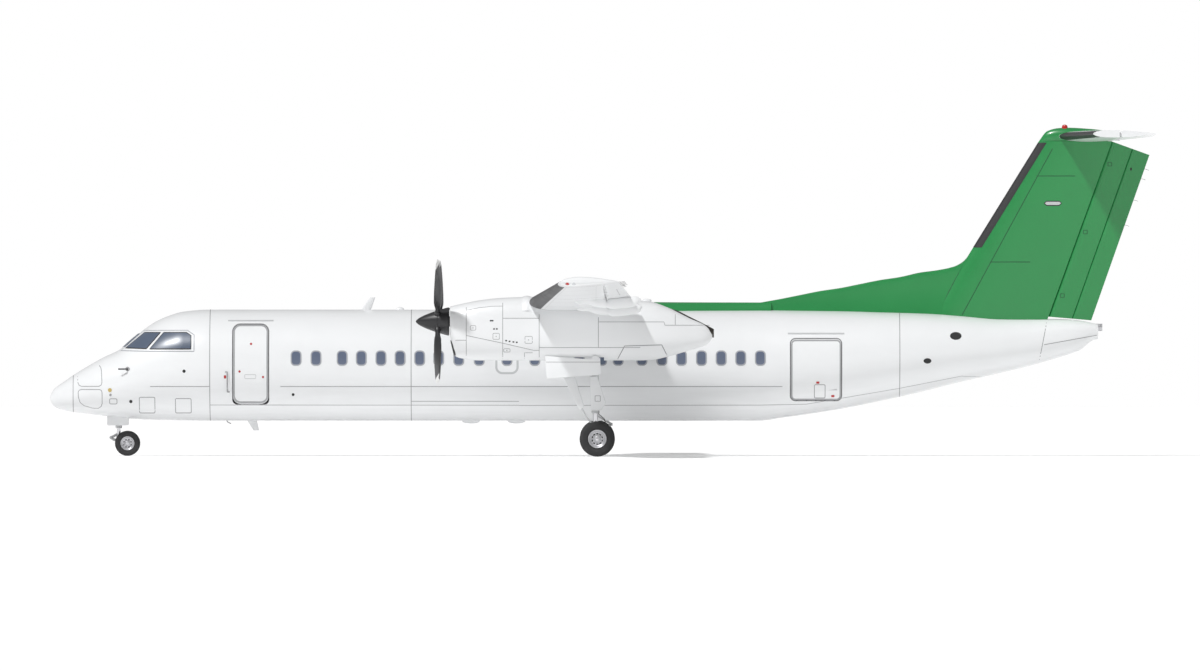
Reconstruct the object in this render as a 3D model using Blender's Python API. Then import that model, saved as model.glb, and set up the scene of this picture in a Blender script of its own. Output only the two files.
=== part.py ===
"""Twin-engined turboprop airliner, parked on its landing gear.

Metres, +Z up. The nose points to -X, the port side to -Y, the ground is z = 0
and the origin lies on the ground under the middle of the overall length.
The hull is solid apart from the entry behind the passenger door and the hold
behind the baggage door. "left" is the port side.
"""
import math

import bmesh
import bpy
import numpy as np
from mathutils import Vector

SEAT_GAP = 0.0003
SWING_GAP = 0.012
SIDES = (("left", -1.0), ("right", 1.0))

# Hull lines: station x, crown z, keel z, half width
HULL_LINES = np.array((
    (-12.840, 1.362, 1.330, 0.016),
    (-12.810, 1.455, 1.245, 0.100),
    (-12.747, 1.555, 1.160, 0.195),
    (-12.560, 1.695, 1.066, 0.345),
    (-12.293, 1.880, 1.016, 0.490),
    (-11.955, 2.091, 0.973, 0.650),
    (-11.583, 2.300, 0.927, 0.805),
    (-11.210, 2.480, 0.890, 0.945),
    (-11.024, 2.645, 0.870, 1.005),
    (-10.838, 2.800, 0.856, 1.060),
    (-10.651, 2.945, 0.845, 1.110),
    (-10.372, 3.130, 0.836, 1.175),
    (-10.093, 3.255, 0.830, 1.230),
    (-9.720, 3.360, 0.822, 1.290),
    (-9.103, 3.406, 0.817, 1.345),
    (3.690, 3.390, 0.817, 1.345),
    (3.950, 3.387, 0.845, 1.344),
    (4.156, 3.385, 0.880, 1.343),
    (4.621, 3.380, 0.945, 1.338),
    (5.553, 3.370, 1.090, 1.310),
    (6.484, 3.345, 1.276, 1.235),
    (7.415, 3.320, 1.485, 1.110),
    (8.346, 3.270, 1.718, 0.940),
    (9.278, 3.200, 1.928, 0.745),
    (10.209, 3.188, 2.161, 0.535),
    (10.675, 3.185, 2.300, 0.430),
    (11.140, 3.150, 2.463, 0.320),
    (11.466, 3.085, 2.700, 0.200),
    (11.560, 3.060, 2.715, 0.170),
))
HULL_SIDES = 32
RADOME_JOINT = -12.293
COCKPIT_JOINT = -9.103
FORWARD_JOINT = -4.423
CENTRE_JOINT = 3.950
TAIL_CONE_JOINT = 10.209
TAIL_OUTLET_RADIUS = 0.085
TAIL_OUTLET_Z = 2.99
TAIL_OUTLET_END = 11.660

# Crown fairing over the wing roots: station x, crown z, half width
CROWN_FAIRING = (
    (-2.080, 3.380, 0.45),
    (-1.900, 3.560, 0.62),
    (-1.625, 3.690, 0.75),
    (0.300, 3.680, 0.75),
    (0.900, 3.620, 0.55),
    (1.220, 3.580, 0.40),
    (3.949, 3.569, 0.20),
)
FAIRING_FOOT = 2.95

DOOR_WALL = 0.09
ENTRY_X = (-8.563, -7.743)
ENTRY_Z = (1.213, 3.059)
ENTRY_CORNER = 0.17
ENTRY_DEPTH_Y = 0.30
ENTRY_FOOT_CORNER = 0.11
ENTRY_CHAMFER = ((0.000, -0.002), (-0.040, 0.030), (-0.040, -0.002))
HOLD_X = (4.400, 5.571)
HOLD_Z = (1.294, 2.722)
HOLD_CORNER = 0.11
HOLD_DEPTH_Y = 0.30
# Draft of the baggage door's foot: distance inboard of the skin, rise of the outline's lower edge
HOLD_DRAFT = ((-0.80, 0.0), (0.0, 0.0), (0.30, 0.150))
ENTRY_FLOOR = 0.003
ENTRY_FLOOR_Y = (-0.90, 0.25)
DOOR_PIN = 0.012
ENTRY_PIN_INSET = 0.012
HOLD_PIN_INSET = 0.013

# Windscreen outline in side view: x, z
SCREEN_OUTLINE = (
    (-11.30, 2.456),
    (-11.30, 2.52),
    (-10.660, 2.913),
    (-9.628, 2.922),
    (-9.470, 2.815),
    (-9.470, 2.434),
    (-10.591, 2.434),
)
SCREEN_THICK = 0.03
SCREEN_POST = 0.03

# Wing: span y, leading edge x, leading edge z, chord, incidence in degrees, thickness ratio
WING_LINES = np.array((
    (0.000, -1.669, 3.572, 2.480, 1.5, 0.18),
    (4.550, -1.669, 3.572, 2.480, 1.5, 0.18),
    (13.715, -0.931, 4.009, 1.308, -1.0, 0.15),
))
WING_CAMBER = 0.02
CAMBER_PEAK = 0.40
WING_JOINT = 4.550
EDGE_HALF = 0.003
WING_TIP = 13.715
TIP_JOINT = 13.020
TIP_OVERLAP = 0.006
TIP_INSET = 0.0006
SPAR = 0.72
FLAP_HINGE = 0.750
FLAP_DROP = 0.28
FLAP_SPANS = {"inboard": (1.450, 3.330), "outboard": (4.590, 8.600)}
FLAP_ARMS = {"inboard": (1.95, 2.85), "outboard": (5.35, 7.75)}
AILERON_SPAN = (8.640, 13.000)
AILERON_ARMS = (9.60, 12.00)
AILERON_HINGE = 0.775
ARM_HALF = 0.030
PIVOT_RADIUS = 0.040

# Engine nacelle: station x, crown z, keel z, half width
NACELLE_Y = 3.940
NACELLE_LINES = np.array((
    (-3.505, 3.472, 2.786, 0.345),
    (-3.390, 3.500, 2.323, 0.430),
    (-3.131, 3.558, 2.254, 0.520),
    (-2.829, 3.616, 2.223, 0.560),
    (-2.282, 3.674, 2.223, 0.575),
    (-1.665, 3.695, 2.223, 0.575),
    (0.861, 3.604, 2.223, 0.550),
    (1.166, 3.574, 2.235, 0.515),
    (1.520, 3.455, 2.307, 0.450),
    (2.040, 3.208, 2.459, 0.330),
    (2.450, 3.003, 2.600, 0.190),
    (2.561, 2.880, 2.740, 0.100),
))
NACELLE_SIDES = 28
NACELLE_SQUARENESS = 2.6
COWL_JOINT = -1.750
INTAKE_Z = (2.375, 2.665)
INTAKE_HALF = 0.270
INTAKE_END = -3.120
ENGINE_X = (-3.050, -0.970)
ENGINE_HALF = 0.330
ENGINE_Z = (2.520, 3.300)
ENGINE_CLEAR = 0.010
# Exhaust duct along the nacelle's tail: station x, crown z, half height, half width
EXHAUST_LINES = (
    (1.480, 3.440, 0.06, 0.10),
    (1.700, 3.395, 0.11, 0.15),
    (2.040, 3.235, 0.12, 0.15),
    (2.450, 3.030, 0.12, 0.13),
    (2.600, 2.950, 0.10, 0.11),
)
EXHAUST_MOUTH = 0.065
EXHAUST_DEPTH = 0.25

# Propeller
SPINNER_NOSE = -4.298
SPINNER_BASE = -3.535
SPINNER_RADIUS = 0.332
SPINNER_WALL = 0.020
PROP_Z = 3.125
PROP_PLANE = -3.790
PROP_BLADES = 4
PROP_RADIUS = 1.980
HUB_RADIUS = 0.170
SHAFT_RADIUS = 0.120
BLADE_SHANK = 0.055
# Blade: radius, chord, thickness, pitch in degrees
BLADE_LINES = (
    (0.120, 0.110, 0.110, 60.0),
    (0.400, 0.120, 0.100, 55.0),
    (0.700, 0.250, 0.060, 42.0),
    (1.200, 0.300, 0.036, 30.0),
    (1.750, 0.250, 0.022, 22.0),
    (1.980, 0.120, 0.012, 19.0),
)

# Tail
FIN_FOOT_Z = 3.100
FIN_TOP_Z = 7.290
# Fin and rudder lines: height z, leading edge x, rudder hinge x, trailing rudder hinge x, trailing edge x
FIN_LINES = np.array((
    (3.100, 7.567, 10.440, 10.965, 11.383),
    (7.290, 10.163, 11.955, 12.455, 12.858),
))
FIN_THICKNESS = 0.115
FIN_GAP = 0.032
RUDDER_FOOT_X = 10.480
RUDDER_FOOT_Z = 3.232
RUDDER_FALL = 0.085
RUDDER_TOP_X = 11.960
RUDDER_TOP_Z = 7.290
RUDDER_TOP_FALL = 0.360
RUDDER_NOTCHES = (3.73, 5.21, 6.79)
DORSAL_LINES = (
    (3.960, 3.575, 0.035),
    (5.553, 3.907, 0.050),
    (7.415, 4.290, 0.060),
    (8.193, 4.403, 0.065),
    (8.433, 4.524, 0.065),
    (8.640, 4.830, 0.065),
)
DORSAL_FOOT_HALF = 0.16
DORSAL_FOOT_Z = 3.15
# Fin cap: station x, crown z, foot z, half width
CAP_LINES = (
    (10.165, 7.300, 7.255, 0.030),
    (10.376, 7.560, 7.230, 0.110),
    (10.640, 7.630, 7.225, 0.150),
    (10.860, 7.640, 7.225, 0.165),
    (11.400, 7.610, 7.225, 0.160),
    (11.790, 7.565, 7.240, 0.120),
)
BEACON_X = 10.785
BEACON_Z = (7.600, 7.712)
BEACON_RADIUS = 0.070
# Tailplane: span y, leading edge x, middle z, chord, thickness ratio
TAIL_LINES = np.array((
    (0.000, 10.620, 7.436, 2.220, 0.112),
    (3.960, 11.401, 7.468, 1.439, 0.119),
))
TAIL_HINGE_X = 12.080
ELEVATOR_SPAN = (0.190, 3.900)
ELEVATOR_ARMS = (0.90, 3.00)

# Landing gear
MAIN_AXLE = Vector((-0.098, NACELLE_Y, 0.409))
MAIN_TYRE_RADIUS = 0.409
MAIN_RIM_RADIUS = 0.212
MAIN_TYRE_WIDTH = 0.250
MAIN_TWIN = 0.230
MAIN_LEG_X = -0.139
MAIN_LEG_RADIUS = 0.0825
BAY_X = (-0.880, 0.060)
BAY_HALF = 0.330
BAY_TOP = 2.700
NOSE_AXLE = Vector((-11.033, 0.0, 0.292))
NOSE_TYRE_RADIUS = 0.292
NOSE_RIM_RADIUS = 0.161
NOSE_TYRE_WIDTH = 0.165
NOSE_TWIN = 0.150
NOSE_LEG_X = -11.240
NOSE_LEG_RADIUS = 0.055
NOSE_BAY_X = (-11.440, -11.040)
NOSE_BAY_HALF = 0.150
NOSE_BAY_TOP = 1.200
NOSE_TURN_Z = 0.640
AXLE_RADIUS = 0.040
BEARING_RADIUS = 0.0409
BORE_REACH = 0.2
# Main leg: foot height, axle housing, trunnion, and the side outlines of what it carries
MAIN_LEG_FOOT_Z = 0.46
MAIN_HOUSING_HALF = 0.075
MAIN_HOUSING_RADIUS = 0.095
TRUNNION_Z = 2.56
TRUNNION_HALF = 0.28
TRUNNION_RADIUS = 0.06
LEG_FAIRING_OUTLINE = ((-0.275, 1.862), (-0.095, 1.862), (-0.014, 1.062), (-0.242, 1.062))
LEG_FAIRING_HALF = 0.110
LEG_FAIRING_CLEAR = 0.115
LEG_FAIRING_MIDDLE = (-0.145, 1.4)
TORQUE_LINK_OUTLINE = ((-0.110, 0.930), (0.050, 0.915), (0.255, 0.790), (0.250, 0.710), (-0.110, 0.640))
TORQUE_LINK_HALF = 0.045
DRAG_STRUT_TOP_X = (-0.860, -0.700)
DRAG_STRUT_OUTLINE = (
    (-0.657, 1.820),
    (-0.396, 1.148),
    (-0.290, 0.860),
    (-0.180, 0.860),
    (-0.180, 0.760),
    (-0.340, 0.760),
    (-0.510, 1.060),
    (-0.950, 1.820),
    (-0.860, 2.180),
)
DRAG_STRUT_HALF = 0.050
GEAR_DOOR_OUTLINE = ((-1.304, 2.360), (-0.016, 2.360), (-0.016, 1.895), (-1.264, 1.802))
GEAR_DOOR_PLACES = (("port", -0.425, -0.395), ("starboard", 0.395, 0.425))
GEAR_DOOR_CLEAR_X = (-1.6, 0.4)
# Nose leg: its radius, brace, and the outlines of the steered arm and the doors
NOSE_COLLAR_RADIUS = 0.075
NOSE_BRACE_FOOT = ((-11.25, 0.98), (-11.25, 0.88), (-11.06, 1.02))
NOSE_BRACE_TOP_X = (-11.06, -11.10)
NOSE_BRACE_HALF = 0.03
NOSE_FORK_FOOT_Z = 0.40
NOSE_ARM_OUTLINE = (
    (-11.460, 0.500),
    (-11.240, 0.560),
    (-11.190, 0.420),
    (-11.000, 0.340),
    (-11.000, 0.245),
    (-11.420, 0.330),
)
NOSE_ARM_HALF = 0.040
NOSE_HOUSING_HALF = 0.055
NOSE_HOUSING_RADIUS = 0.070
NOSE_DOOR_OUTLINE = ((-11.508, 1.000), (-11.008, 1.000), (-11.008, 0.708), (-11.508, 0.708))
NOSE_DOOR_Y = (0.175, 0.200)
NOSE_DOOR_CLEAR_X = (-12.0, -10.5)
LEG_SIDES = 20
TYRE_SIDES = 28
WHEEL_SIDES = 20
SPINNER_SIDES = 24

PALETTE = {
    "white": ((0.86, 0.87, 0.88), 0.30, 0.0),
    "green": ((0.02, 0.25, 0.06), 0.32, 0.0),
    "black": ((0.02, 0.02, 0.022), 0.55, 0.0),
    "glass": ((0.10, 0.13, 0.19), 0.12, 0.0),
    "grey": ((0.40, 0.41, 0.42), 0.45, 0.2),
    "steel": ((0.60, 0.60, 0.62), 0.30, 0.9),
    "rubber": ((0.025, 0.025, 0.027), 0.85, 0.0),
}


def paint(name):
    """A Principled material from the palette, made once."""
    material = bpy.data.materials.get(name)
    if material is None:
        colour, roughness, metallic = PALETTE[name]
        material = bpy.data.materials.new(name)
        material.use_nodes = True
        shader = material.node_tree.nodes["Principled BSDF"]
        shader.inputs["Base Color"].default_value = (*colour, 1.0)
        shader.inputs["Roughness"].default_value = roughness
        shader.inputs["Metallic"].default_value = metallic
    return material


def place(name, bm, colour, origin=(0.0, 0.0, 0.0)):
    """Turn a bmesh in world coordinates into an object whose origin is at the given point."""
    bmesh.ops.recalc_face_normals(bm, faces=bm.faces)
    bmesh.ops.translate(bm, verts=bm.verts, vec=-Vector(origin))
    mesh = bpy.data.meshes.new(name)
    bm.to_mesh(mesh)
    bm.free()
    mesh.shade_smooth()
    mesh.set_sharp_from_angle(angle=math.radians(35.0))
    mesh.materials.append(paint(colour))
    piece = bpy.data.objects.new(name, mesh)
    piece.location = origin
    bpy.context.scene.collection.objects.link(piece)
    return piece


def join_with(piece, tool, operation):
    """Add a Boolean modifier and make its tool a hidden helper."""
    tool.hide_render = True
    tool.display_type = "WIRE"
    modifier = piece.modifiers.new(operation.title(), "BOOLEAN")
    modifier.operation = operation
    modifier.solver = "EXACT"
    modifier.object = tool


def carve(piece, *tools):
    """Cut the tools out of the piece."""
    for tool in tools:
        join_with(piece, tool, "DIFFERENCE")


def fuse(piece, *tools):
    """Weld the tools to the piece."""
    for tool in tools:
        join_with(piece, tool, "UNION")


def keep_inside(piece, tool):
    """Keep only what lies inside the tool."""
    join_with(piece, tool, "INTERSECT")


def loft(name, rings, colour, origin=(0.0, 0.0, 0.0)):
    """Skin closed rings of equal length with triangles, so that neighbours split alike, and flat ends."""
    bm = bmesh.new()
    rows = [[bm.verts.new(point) for point in ring] for ring in rings]
    for row, following in zip(rows, rows[1:]):
        for index in range(len(row)):
            after = (index + 1) % len(row)
            bm.faces.new((row[index], row[after], following[after]))
            bm.faces.new((row[index], following[after], following[index]))
    bm.faces.new(rows[0])
    bm.faces.new(rows[-1])
    return place(name, bm, colour, origin)


def frame_of(axis, forward):
    """Two unit vectors square to the axis, the first nearest to forward."""
    axis = Vector(axis).normalized()
    forward = Vector(forward)
    first = (forward - axis * forward.dot(axis)).normalized()
    return axis, first, axis.cross(first)


def circle(centre, axis, radius, sides, forward=(0.31, 0.17, 0.93)):
    """Points of a regular polygon about an axis."""
    axis, first, second = frame_of(axis, forward)
    angles = [math.tau * index / sides for index in range(sides)]
    return [Vector(centre) + radius * (first * math.cos(a) + second * math.sin(a)) for a in angles]


def rod(name, start, end, radius, colour, sides=16, end_radius=None, forward=(0.31, 0.17, 0.93)):
    """A round bar between two points."""
    start, end = Vector(start), Vector(end)
    end_radius = radius if end_radius is None else end_radius
    rings = [circle(start, end - start, radius, sides, forward), circle(end, end - start, end_radius, sides, forward)]
    return loft(name, rings, colour)


def turned(name, profile, centre, axis, colour, sides, forward, closed=False):
    """A turned solid. The profile holds (distance along the axis, radius) pairs."""
    centre = Vector(centre)
    direction = Vector(axis).normalized()
    bm = bmesh.new()
    rows = []
    for along, radius in profile:
        middle = centre + direction * along
        rows.append([bm.verts.new(point) for point in circle(middle, direction, radius, sides, forward)])
    pairs = list(zip(rows, rows[1:]))
    if closed:
        pairs.append((rows[-1], rows[0]))
    else:
        bm.faces.new(rows[0])
        bm.faces.new(rows[-1])
    for row, following in pairs:
        for index in range(sides):
            after = (index + 1) % sides
            bm.faces.new((row[index], row[after], following[after], following[index]))
    return place(name, bm, colour, centre)


def block(name, low, high, colour):
    """A box between two corners."""
    bm = bmesh.new()
    bmesh.ops.create_cube(bm, size=1.0)
    low, high = Vector(low), Vector(high)
    bmesh.ops.scale(bm, vec=high - low, verts=bm.verts)
    bmesh.ops.translate(bm, vec=(low + high) / 2.0, verts=bm.verts)
    return place(name, bm, colour)


def side_prism(name, outline, y_low, y_high, colour):
    """An outline of (x, z) points run along Y."""
    rings = [[Vector((x, y, z)) for x, z in outline] for y in (y_low, y_high)]
    return loft(name, rings, colour)


def plate(name, origin, axis, forward, outline, half, colour):
    """An outline of (forward, up) points about an origin, run both ways along the axis."""
    axis, first, second = frame_of(axis, forward)
    if second.z < 0.0:
        second = -second
    rings = []
    for offset in (-half, half):
        rings.append([Vector(origin) + axis * offset + first * u + second * v for u, v in outline])
    return loft(name, rings, colour)


def rounded_box(x_range, z_range, radius, steps=5, foot_radius=None):
    """Outline of a rectangle with round corners, in (x, z). Its lower corners may be tighter."""
    radii = (radius, radius, foot_radius or radius, foot_radius or radius)
    x_low, x_high = x_range
    z_low, z_high = z_range
    corners = ((x_high, z_high, 0), (x_low, z_high, 1), (x_low, z_low, 2), (x_high, z_low, 3))
    points = []
    for x, z, quarter in corners:
        bend = radii[quarter]
        cx = x - math.copysign(bend, x - (x_low + x_high) / 2.0)
        cz = z - math.copysign(bend, z - (z_low + z_high) / 2.0)
        for step in range(steps + 1):
            angle = math.pi / 2.0 * (quarter + step / steps)
            points.append((cx + bend * math.cos(angle), cz + bend * math.sin(angle)))
    return points


def hull_ring(x, grow=0.0):
    """Elliptic hull frame at a station."""
    crown, keel, half = (np.interp(x, HULL_LINES[:, 0], HULL_LINES[:, column]) for column in (1, 2, 3))
    centre = (crown + keel) / 2.0
    height = (crown - keel) / 2.0 + grow
    angles = [math.tau * index / HULL_SIDES for index in range(HULL_SIDES)]
    return [Vector((x, (half + grow) * math.cos(a), centre + height * math.sin(a))) for a in angles]


def hull_side(x, z):
    """Half width of the hull at a station and height."""
    crown, keel, half = (np.interp(x, HULL_LINES[:, 0], HULL_LINES[:, column]) for column in (1, 2, 3))
    share = (z - (crown + keel) / 2.0) / ((crown - keel) / 2.0)
    return half * math.sqrt(1.0 - share * share)


def hull_length(name, start, end, colour, grow=0.0):
    """The hull between two stations."""
    inner = [x for x in HULL_LINES[:, 0] if start + 1e-4 < x < end - 1e-4]
    return loft(name, [hull_ring(x, grow) for x in (start, *inner, end)], colour)


def drafted_outline(name, x_range, z_range, corner, draft):
    """Outline of a top-hinged door, its foot rising inboard so that it clears the sill as it swings."""
    flanks = [hull_side(x, z_range[0]) for x in x_range]
    rings = []
    for depth, rise in draft:
        outline = rounded_box(x_range, (z_range[0] + rise, z_range[1]), corner)
        rings.append([Vector((x, depth - np.interp(x, x_range, flanks), z)) for x, z in outline])
    return loft(name, rings, "white")


def door_panel(name, x_range, z_range, corner, outline=None):
    """A curved panel as thick as the hull's wall, filling its doorway."""
    margin = 0.2
    panel = hull_length(name, x_range[0] - margin, x_range[1] + margin, "white")
    carve(panel, hull_length(name + "_core", x_range[0] - margin - 0.1, x_range[1] + margin + 0.1, "white", -DOOR_WALL))
    if outline is None:
        outline = side_prism(name + "_outline", rounded_box(x_range, z_range, corner), -2.0, -0.2, "white")
    keep_inside(panel, outline)
    return panel


def doorway(hull, name, x_range, z_range, corner, depth_y, foot_corner=None):
    """Open the hull's wall and the space behind it."""
    mouth_x = (x_range[0] - SWING_GAP, x_range[1] + SWING_GAP)
    mouth_z = (z_range[0] - SWING_GAP, z_range[1] + SWING_GAP)
    outline = rounded_box(mouth_x, mouth_z, corner + SWING_GAP, foot_radius=foot_corner)
    carve(hull, side_prism(name + "_mouth", outline, -2.0, depth_y, "white"))


def door_pin(door, name, start, end):
    """Hinge barrel along a door's edge."""
    fuse(door, rod(name, start, end, DOOR_PIN, "grey", sides=12))


def entry_hinge():
    """Ends of the passenger door's hinge line on the outer skin, at the sill."""
    z = ENTRY_Z[0] - SWING_GAP + DOOR_PIN + SEAT_GAP
    y = ENTRY_PIN_INSET - hull_side(ENTRY_X[0], z)
    inset = ENTRY_CORNER + 0.02
    return Vector((ENTRY_X[0] + inset, y, z)), Vector((ENTRY_X[1] - inset, y, z))


def hold_hinge():
    """Ends of the baggage door's hinge line on the outer skin, at the top edge."""
    z = HOLD_Z[1] + SWING_GAP - DOOR_PIN - SEAT_GAP
    inset = HOLD_CORNER + 0.02
    ends = (HOLD_X[0] + inset, HOLD_X[1] - inset)
    return tuple(Vector((x, HOLD_PIN_INSET - hull_side(x, z), z)) for x in ends)


def make_fuselage(wing_bed):
    """The hull's sections, windscreens and hinged doors."""
    hull_length("radome", HULL_LINES[0, 0], RADOME_JOINT - SEAT_GAP, "white")
    cockpit = hull_length("cockpit_section", RADOME_JOINT, COCKPIT_JOINT - SEAT_GAP, "white")
    forward = hull_length("forward_fuselage", COCKPIT_JOINT, FORWARD_JOINT - SEAT_GAP, "white")
    centre = hull_length("centre_fuselage", FORWARD_JOINT, CENTRE_JOINT - SEAT_GAP, "white")
    aft = hull_length("aft_fuselage", CENTRE_JOINT, TAIL_CONE_JOINT - SEAT_GAP, "white")
    cone = hull_length("tail_cone", TAIL_CONE_JOINT, HULL_LINES[-1, 0], "white")

    for side, sign in SIDES:
        post, reach = sorted((sign * SCREEN_POST, sign * 2.0))
        screen = hull_length("windscreen_" + side, -11.5, -9.3, "glass")
        carve(screen, hull_length("screen_core_" + side, -11.6, -9.2, "glass", -SCREEN_THICK))
        keep_inside(screen, side_prism("screen_outline_" + side, SCREEN_OUTLINE, post, reach, "glass"))
        pocket = hull_length("screen_pocket_" + side, -11.5, -9.3, "glass", 0.05)
        carve(pocket, hull_length("screen_bed_" + side, -11.6, -9.2, "glass", -SCREEN_THICK - SEAT_GAP))
        middle = Vector((-10.4, 0.0, 2.65))
        grown = []
        for x, z in SCREEN_OUTLINE:
            outward = Vector((x, 0.0, z)) - middle
            outward = outward + Vector((math.copysign(SEAT_GAP, outward.x), 0.0, math.copysign(SEAT_GAP, outward.z)))
            grown.append((middle.x + outward.x, middle.z + outward.z))
        low, high = sorted((sign * (SCREEN_POST - SEAT_GAP), sign * 2.1))
        keep_inside(pocket, side_prism("screen_mouth_" + side, grown, low, high, "glass"))
        carve(cockpit, pocket)

    nose_bay_low = (NOSE_BAY_X[0], -NOSE_BAY_HALF, 0.5)
    nose_bay_high = (NOSE_BAY_X[1], NOSE_BAY_HALF, NOSE_BAY_TOP)
    carve(cockpit, block("nose_bay", nose_bay_low, nose_bay_high, "white"))

    rings = []
    for x, crown, half in CROWN_FAIRING:
        angles = [math.pi * index / 12 for index in range(13)]
        ring = [Vector((x, half * math.cos(a), FAIRING_FOOT + (crown - FAIRING_FOOT) * math.sin(a))) for a in angles]
        rings.append(ring)
    fuse(centre, loft("crown_fairing", rings, "white"))
    carve(centre, wing_bed)

    blades = (
        ("crown_antenna", forward, -5.50, 3.30, -5.33, 3.690),
        ("belly_antenna", forward, -8.14, 0.95, -8.03, 0.590),
    )
    for name, hull, foot_x, foot_z, tip_x, tip_z in blades:
        rings = []
        for x, z, length, half in ((foot_x, foot_z, 0.24, 0.022), (tip_x, tip_z, 0.13, 0.014)):
            port = [(-length / 2, 0.004), (-length / 6, half), (length / 4, half), (length / 2, 0.004)]
            starboard = [(u, -v) for u, v in reversed(port)]
            rings.append([Vector((x + u, v, z)) for u, v in port + starboard])
        fuse(hull, loft(name, rings, "white"))

    doorway(forward, "entry", ENTRY_X, ENTRY_Z, ENTRY_CORNER, ENTRY_DEPTH_Y, ENTRY_FOOT_CORNER)
    sill_z = ENTRY_Z[0] - SWING_GAP
    floor_low = (ENTRY_X[0] + ENTRY_CORNER, ENTRY_FLOOR_Y[0], sill_z - 0.05)
    floor_high = (ENTRY_X[1] - ENTRY_CORNER, ENTRY_FLOOR_Y[1], sill_z + ENTRY_FLOOR)
    fuse(forward, block("entry_floor", floor_low, floor_high, "white"))
    entry = door_panel("passenger_door", ENTRY_X, ENTRY_Z, ENTRY_CORNER)
    pin_start, pin_end = entry_hinge()
    edge = [Vector((0.0, pin_start.y + y, pin_start.z + z)) for y, z in ENTRY_CHAMFER]
    chamfer = [[point + Vector((x, 0.0, 0.0)) for point in edge] for x in (ENTRY_X[0] - 0.1, ENTRY_X[1] + 0.1)]
    carve(entry, loft("entry_chamfer", chamfer, "white"))
    door_pin(entry, "entry_pin", pin_start, pin_end)

    doorway(aft, "hold", HOLD_X, HOLD_Z, HOLD_CORNER, HOLD_DEPTH_Y)
    draft = drafted_outline("hold_draft", HOLD_X, HOLD_Z, HOLD_CORNER, HOLD_DRAFT)
    baggage = door_panel("baggage_door", HOLD_X, HOLD_Z, HOLD_CORNER, draft)
    door_pin(baggage, "hold_pin", *hold_hinge())

    outlet = rod("outlet", (11.50, 0.0, TAIL_OUTLET_Z), (TAIL_OUTLET_END, 0.0, TAIL_OUTLET_Z), TAIL_OUTLET_RADIUS,
                 "grey", sides=16)
    fuse(cone, outlet)


def half_thickness(share, ratio):
    """Half thickness of the wing section at a share of the chord, as a share of the chord."""
    terms = 0.2969 * math.sqrt(share) - 0.1260 * share - 0.3516 * share ** 2 + 0.2843 * share ** 3 - 0.1036 * share ** 4
    return 5.0 * ratio * terms


def camber(share):
    """Height of the wing section's middle line, as a share of the chord."""
    if share < CAMBER_PEAK:
        return WING_CAMBER / CAMBER_PEAK ** 2 * (2.0 * CAMBER_PEAK * share - share ** 2)
    rest = 1.0 - CAMBER_PEAK
    return WING_CAMBER / rest ** 2 * (1.0 - 2.0 * CAMBER_PEAK + 2.0 * CAMBER_PEAK * share - share ** 2)


def wing_point(y, share, above=0.0):
    """A point of the wing: share of the chord, and height over the middle line in metres."""
    values = [np.interp(abs(y), WING_LINES[:, 0], WING_LINES[:, column]) for column in range(1, 6)]
    edge_x, edge_z, chord, incidence, _ = values
    tilt = math.radians(incidence)
    along, up = share * chord, camber(share) * chord + above
    x = edge_x + along * math.cos(tilt) + up * math.sin(tilt)
    z = edge_z - along * math.sin(tilt) + up * math.cos(tilt)
    return Vector((x, y, z))


def wing_half(y, share):
    """Half thickness of the wing in metres."""
    chord, ratio = (np.interp(abs(y), WING_LINES[:, 0], WING_LINES[:, column]) for column in (3, 5))
    return chord * half_thickness(share, ratio) + EDGE_HALF * share


def wing_ring(y, front, rear, grow=0.0, steps=9):
    """Section of the wing between two shares of the chord."""
    shares = [front + (rear - front) * (1.0 - math.cos(math.pi / 2 * step / steps)) for step in range(steps + 1)]
    upper = [wing_point(y, share, wing_half(y, share) + grow) for share in shares]
    lower = [wing_point(y, share, -wing_half(y, share) - grow) for share in shares]
    if front == 0.0:
        upper[0] = upper[0] - Vector((grow, 0.0, 0.0))
        lower = lower[1:]
    upper[-1].x += grow
    lower[-1].x += grow
    return upper[::-1] + lower


def moving_ring(y, hinge, nose):
    """Section of a flap or aileron with a round nose about its hinge share."""
    radius = wing_half(y, hinge)
    centre = wing_point(y, hinge)
    arc = []
    for step in range(7):
        angle = math.pi / 2 + math.pi * step / 6
        arc.append(centre + Vector((nose * radius * math.cos(angle), 0.0, radius * math.sin(angle))))
    rear = (0.5 * (hinge + 1.0), 1.0)
    lower = [wing_point(y, share, -wing_half(y, share)) for share in rear]
    upper = [wing_point(y, share, wing_half(y, share)) for share in rear]
    return arc + lower + upper[::-1]


def flap_pivot(y):
    """Point of the flap's dropped hinge line."""
    chord = np.interp(abs(y), WING_LINES[:, 0], WING_LINES[:, 3])
    return wing_point(y, FLAP_HINGE) - Vector((0.0, 0.0, FLAP_DROP * chord / WING_LINES[0, 3]))


def flap_line(sign, which):
    """Ends of a flap's hinge line."""
    return tuple(flap_pivot(sign * y) for y in FLAP_SPANS[which])


def aileron_line(sign):
    """Ends of an aileron's hinge line."""
    return tuple(wing_point(sign * y, AILERON_HINGE) for y in AILERON_SPAN)


def pivot_outline(radius, reach, depth, steps=8):
    """A rounded lug that runs forward from its pivot: (forward, up) points."""
    arc = []
    for step in range(steps + 1):
        angle = -math.pi / 2 + math.pi * step / steps
        arc.append((-radius * math.cos(angle), radius * math.sin(angle)))
    return arc + [(reach, depth), (reach, -depth)]


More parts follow.
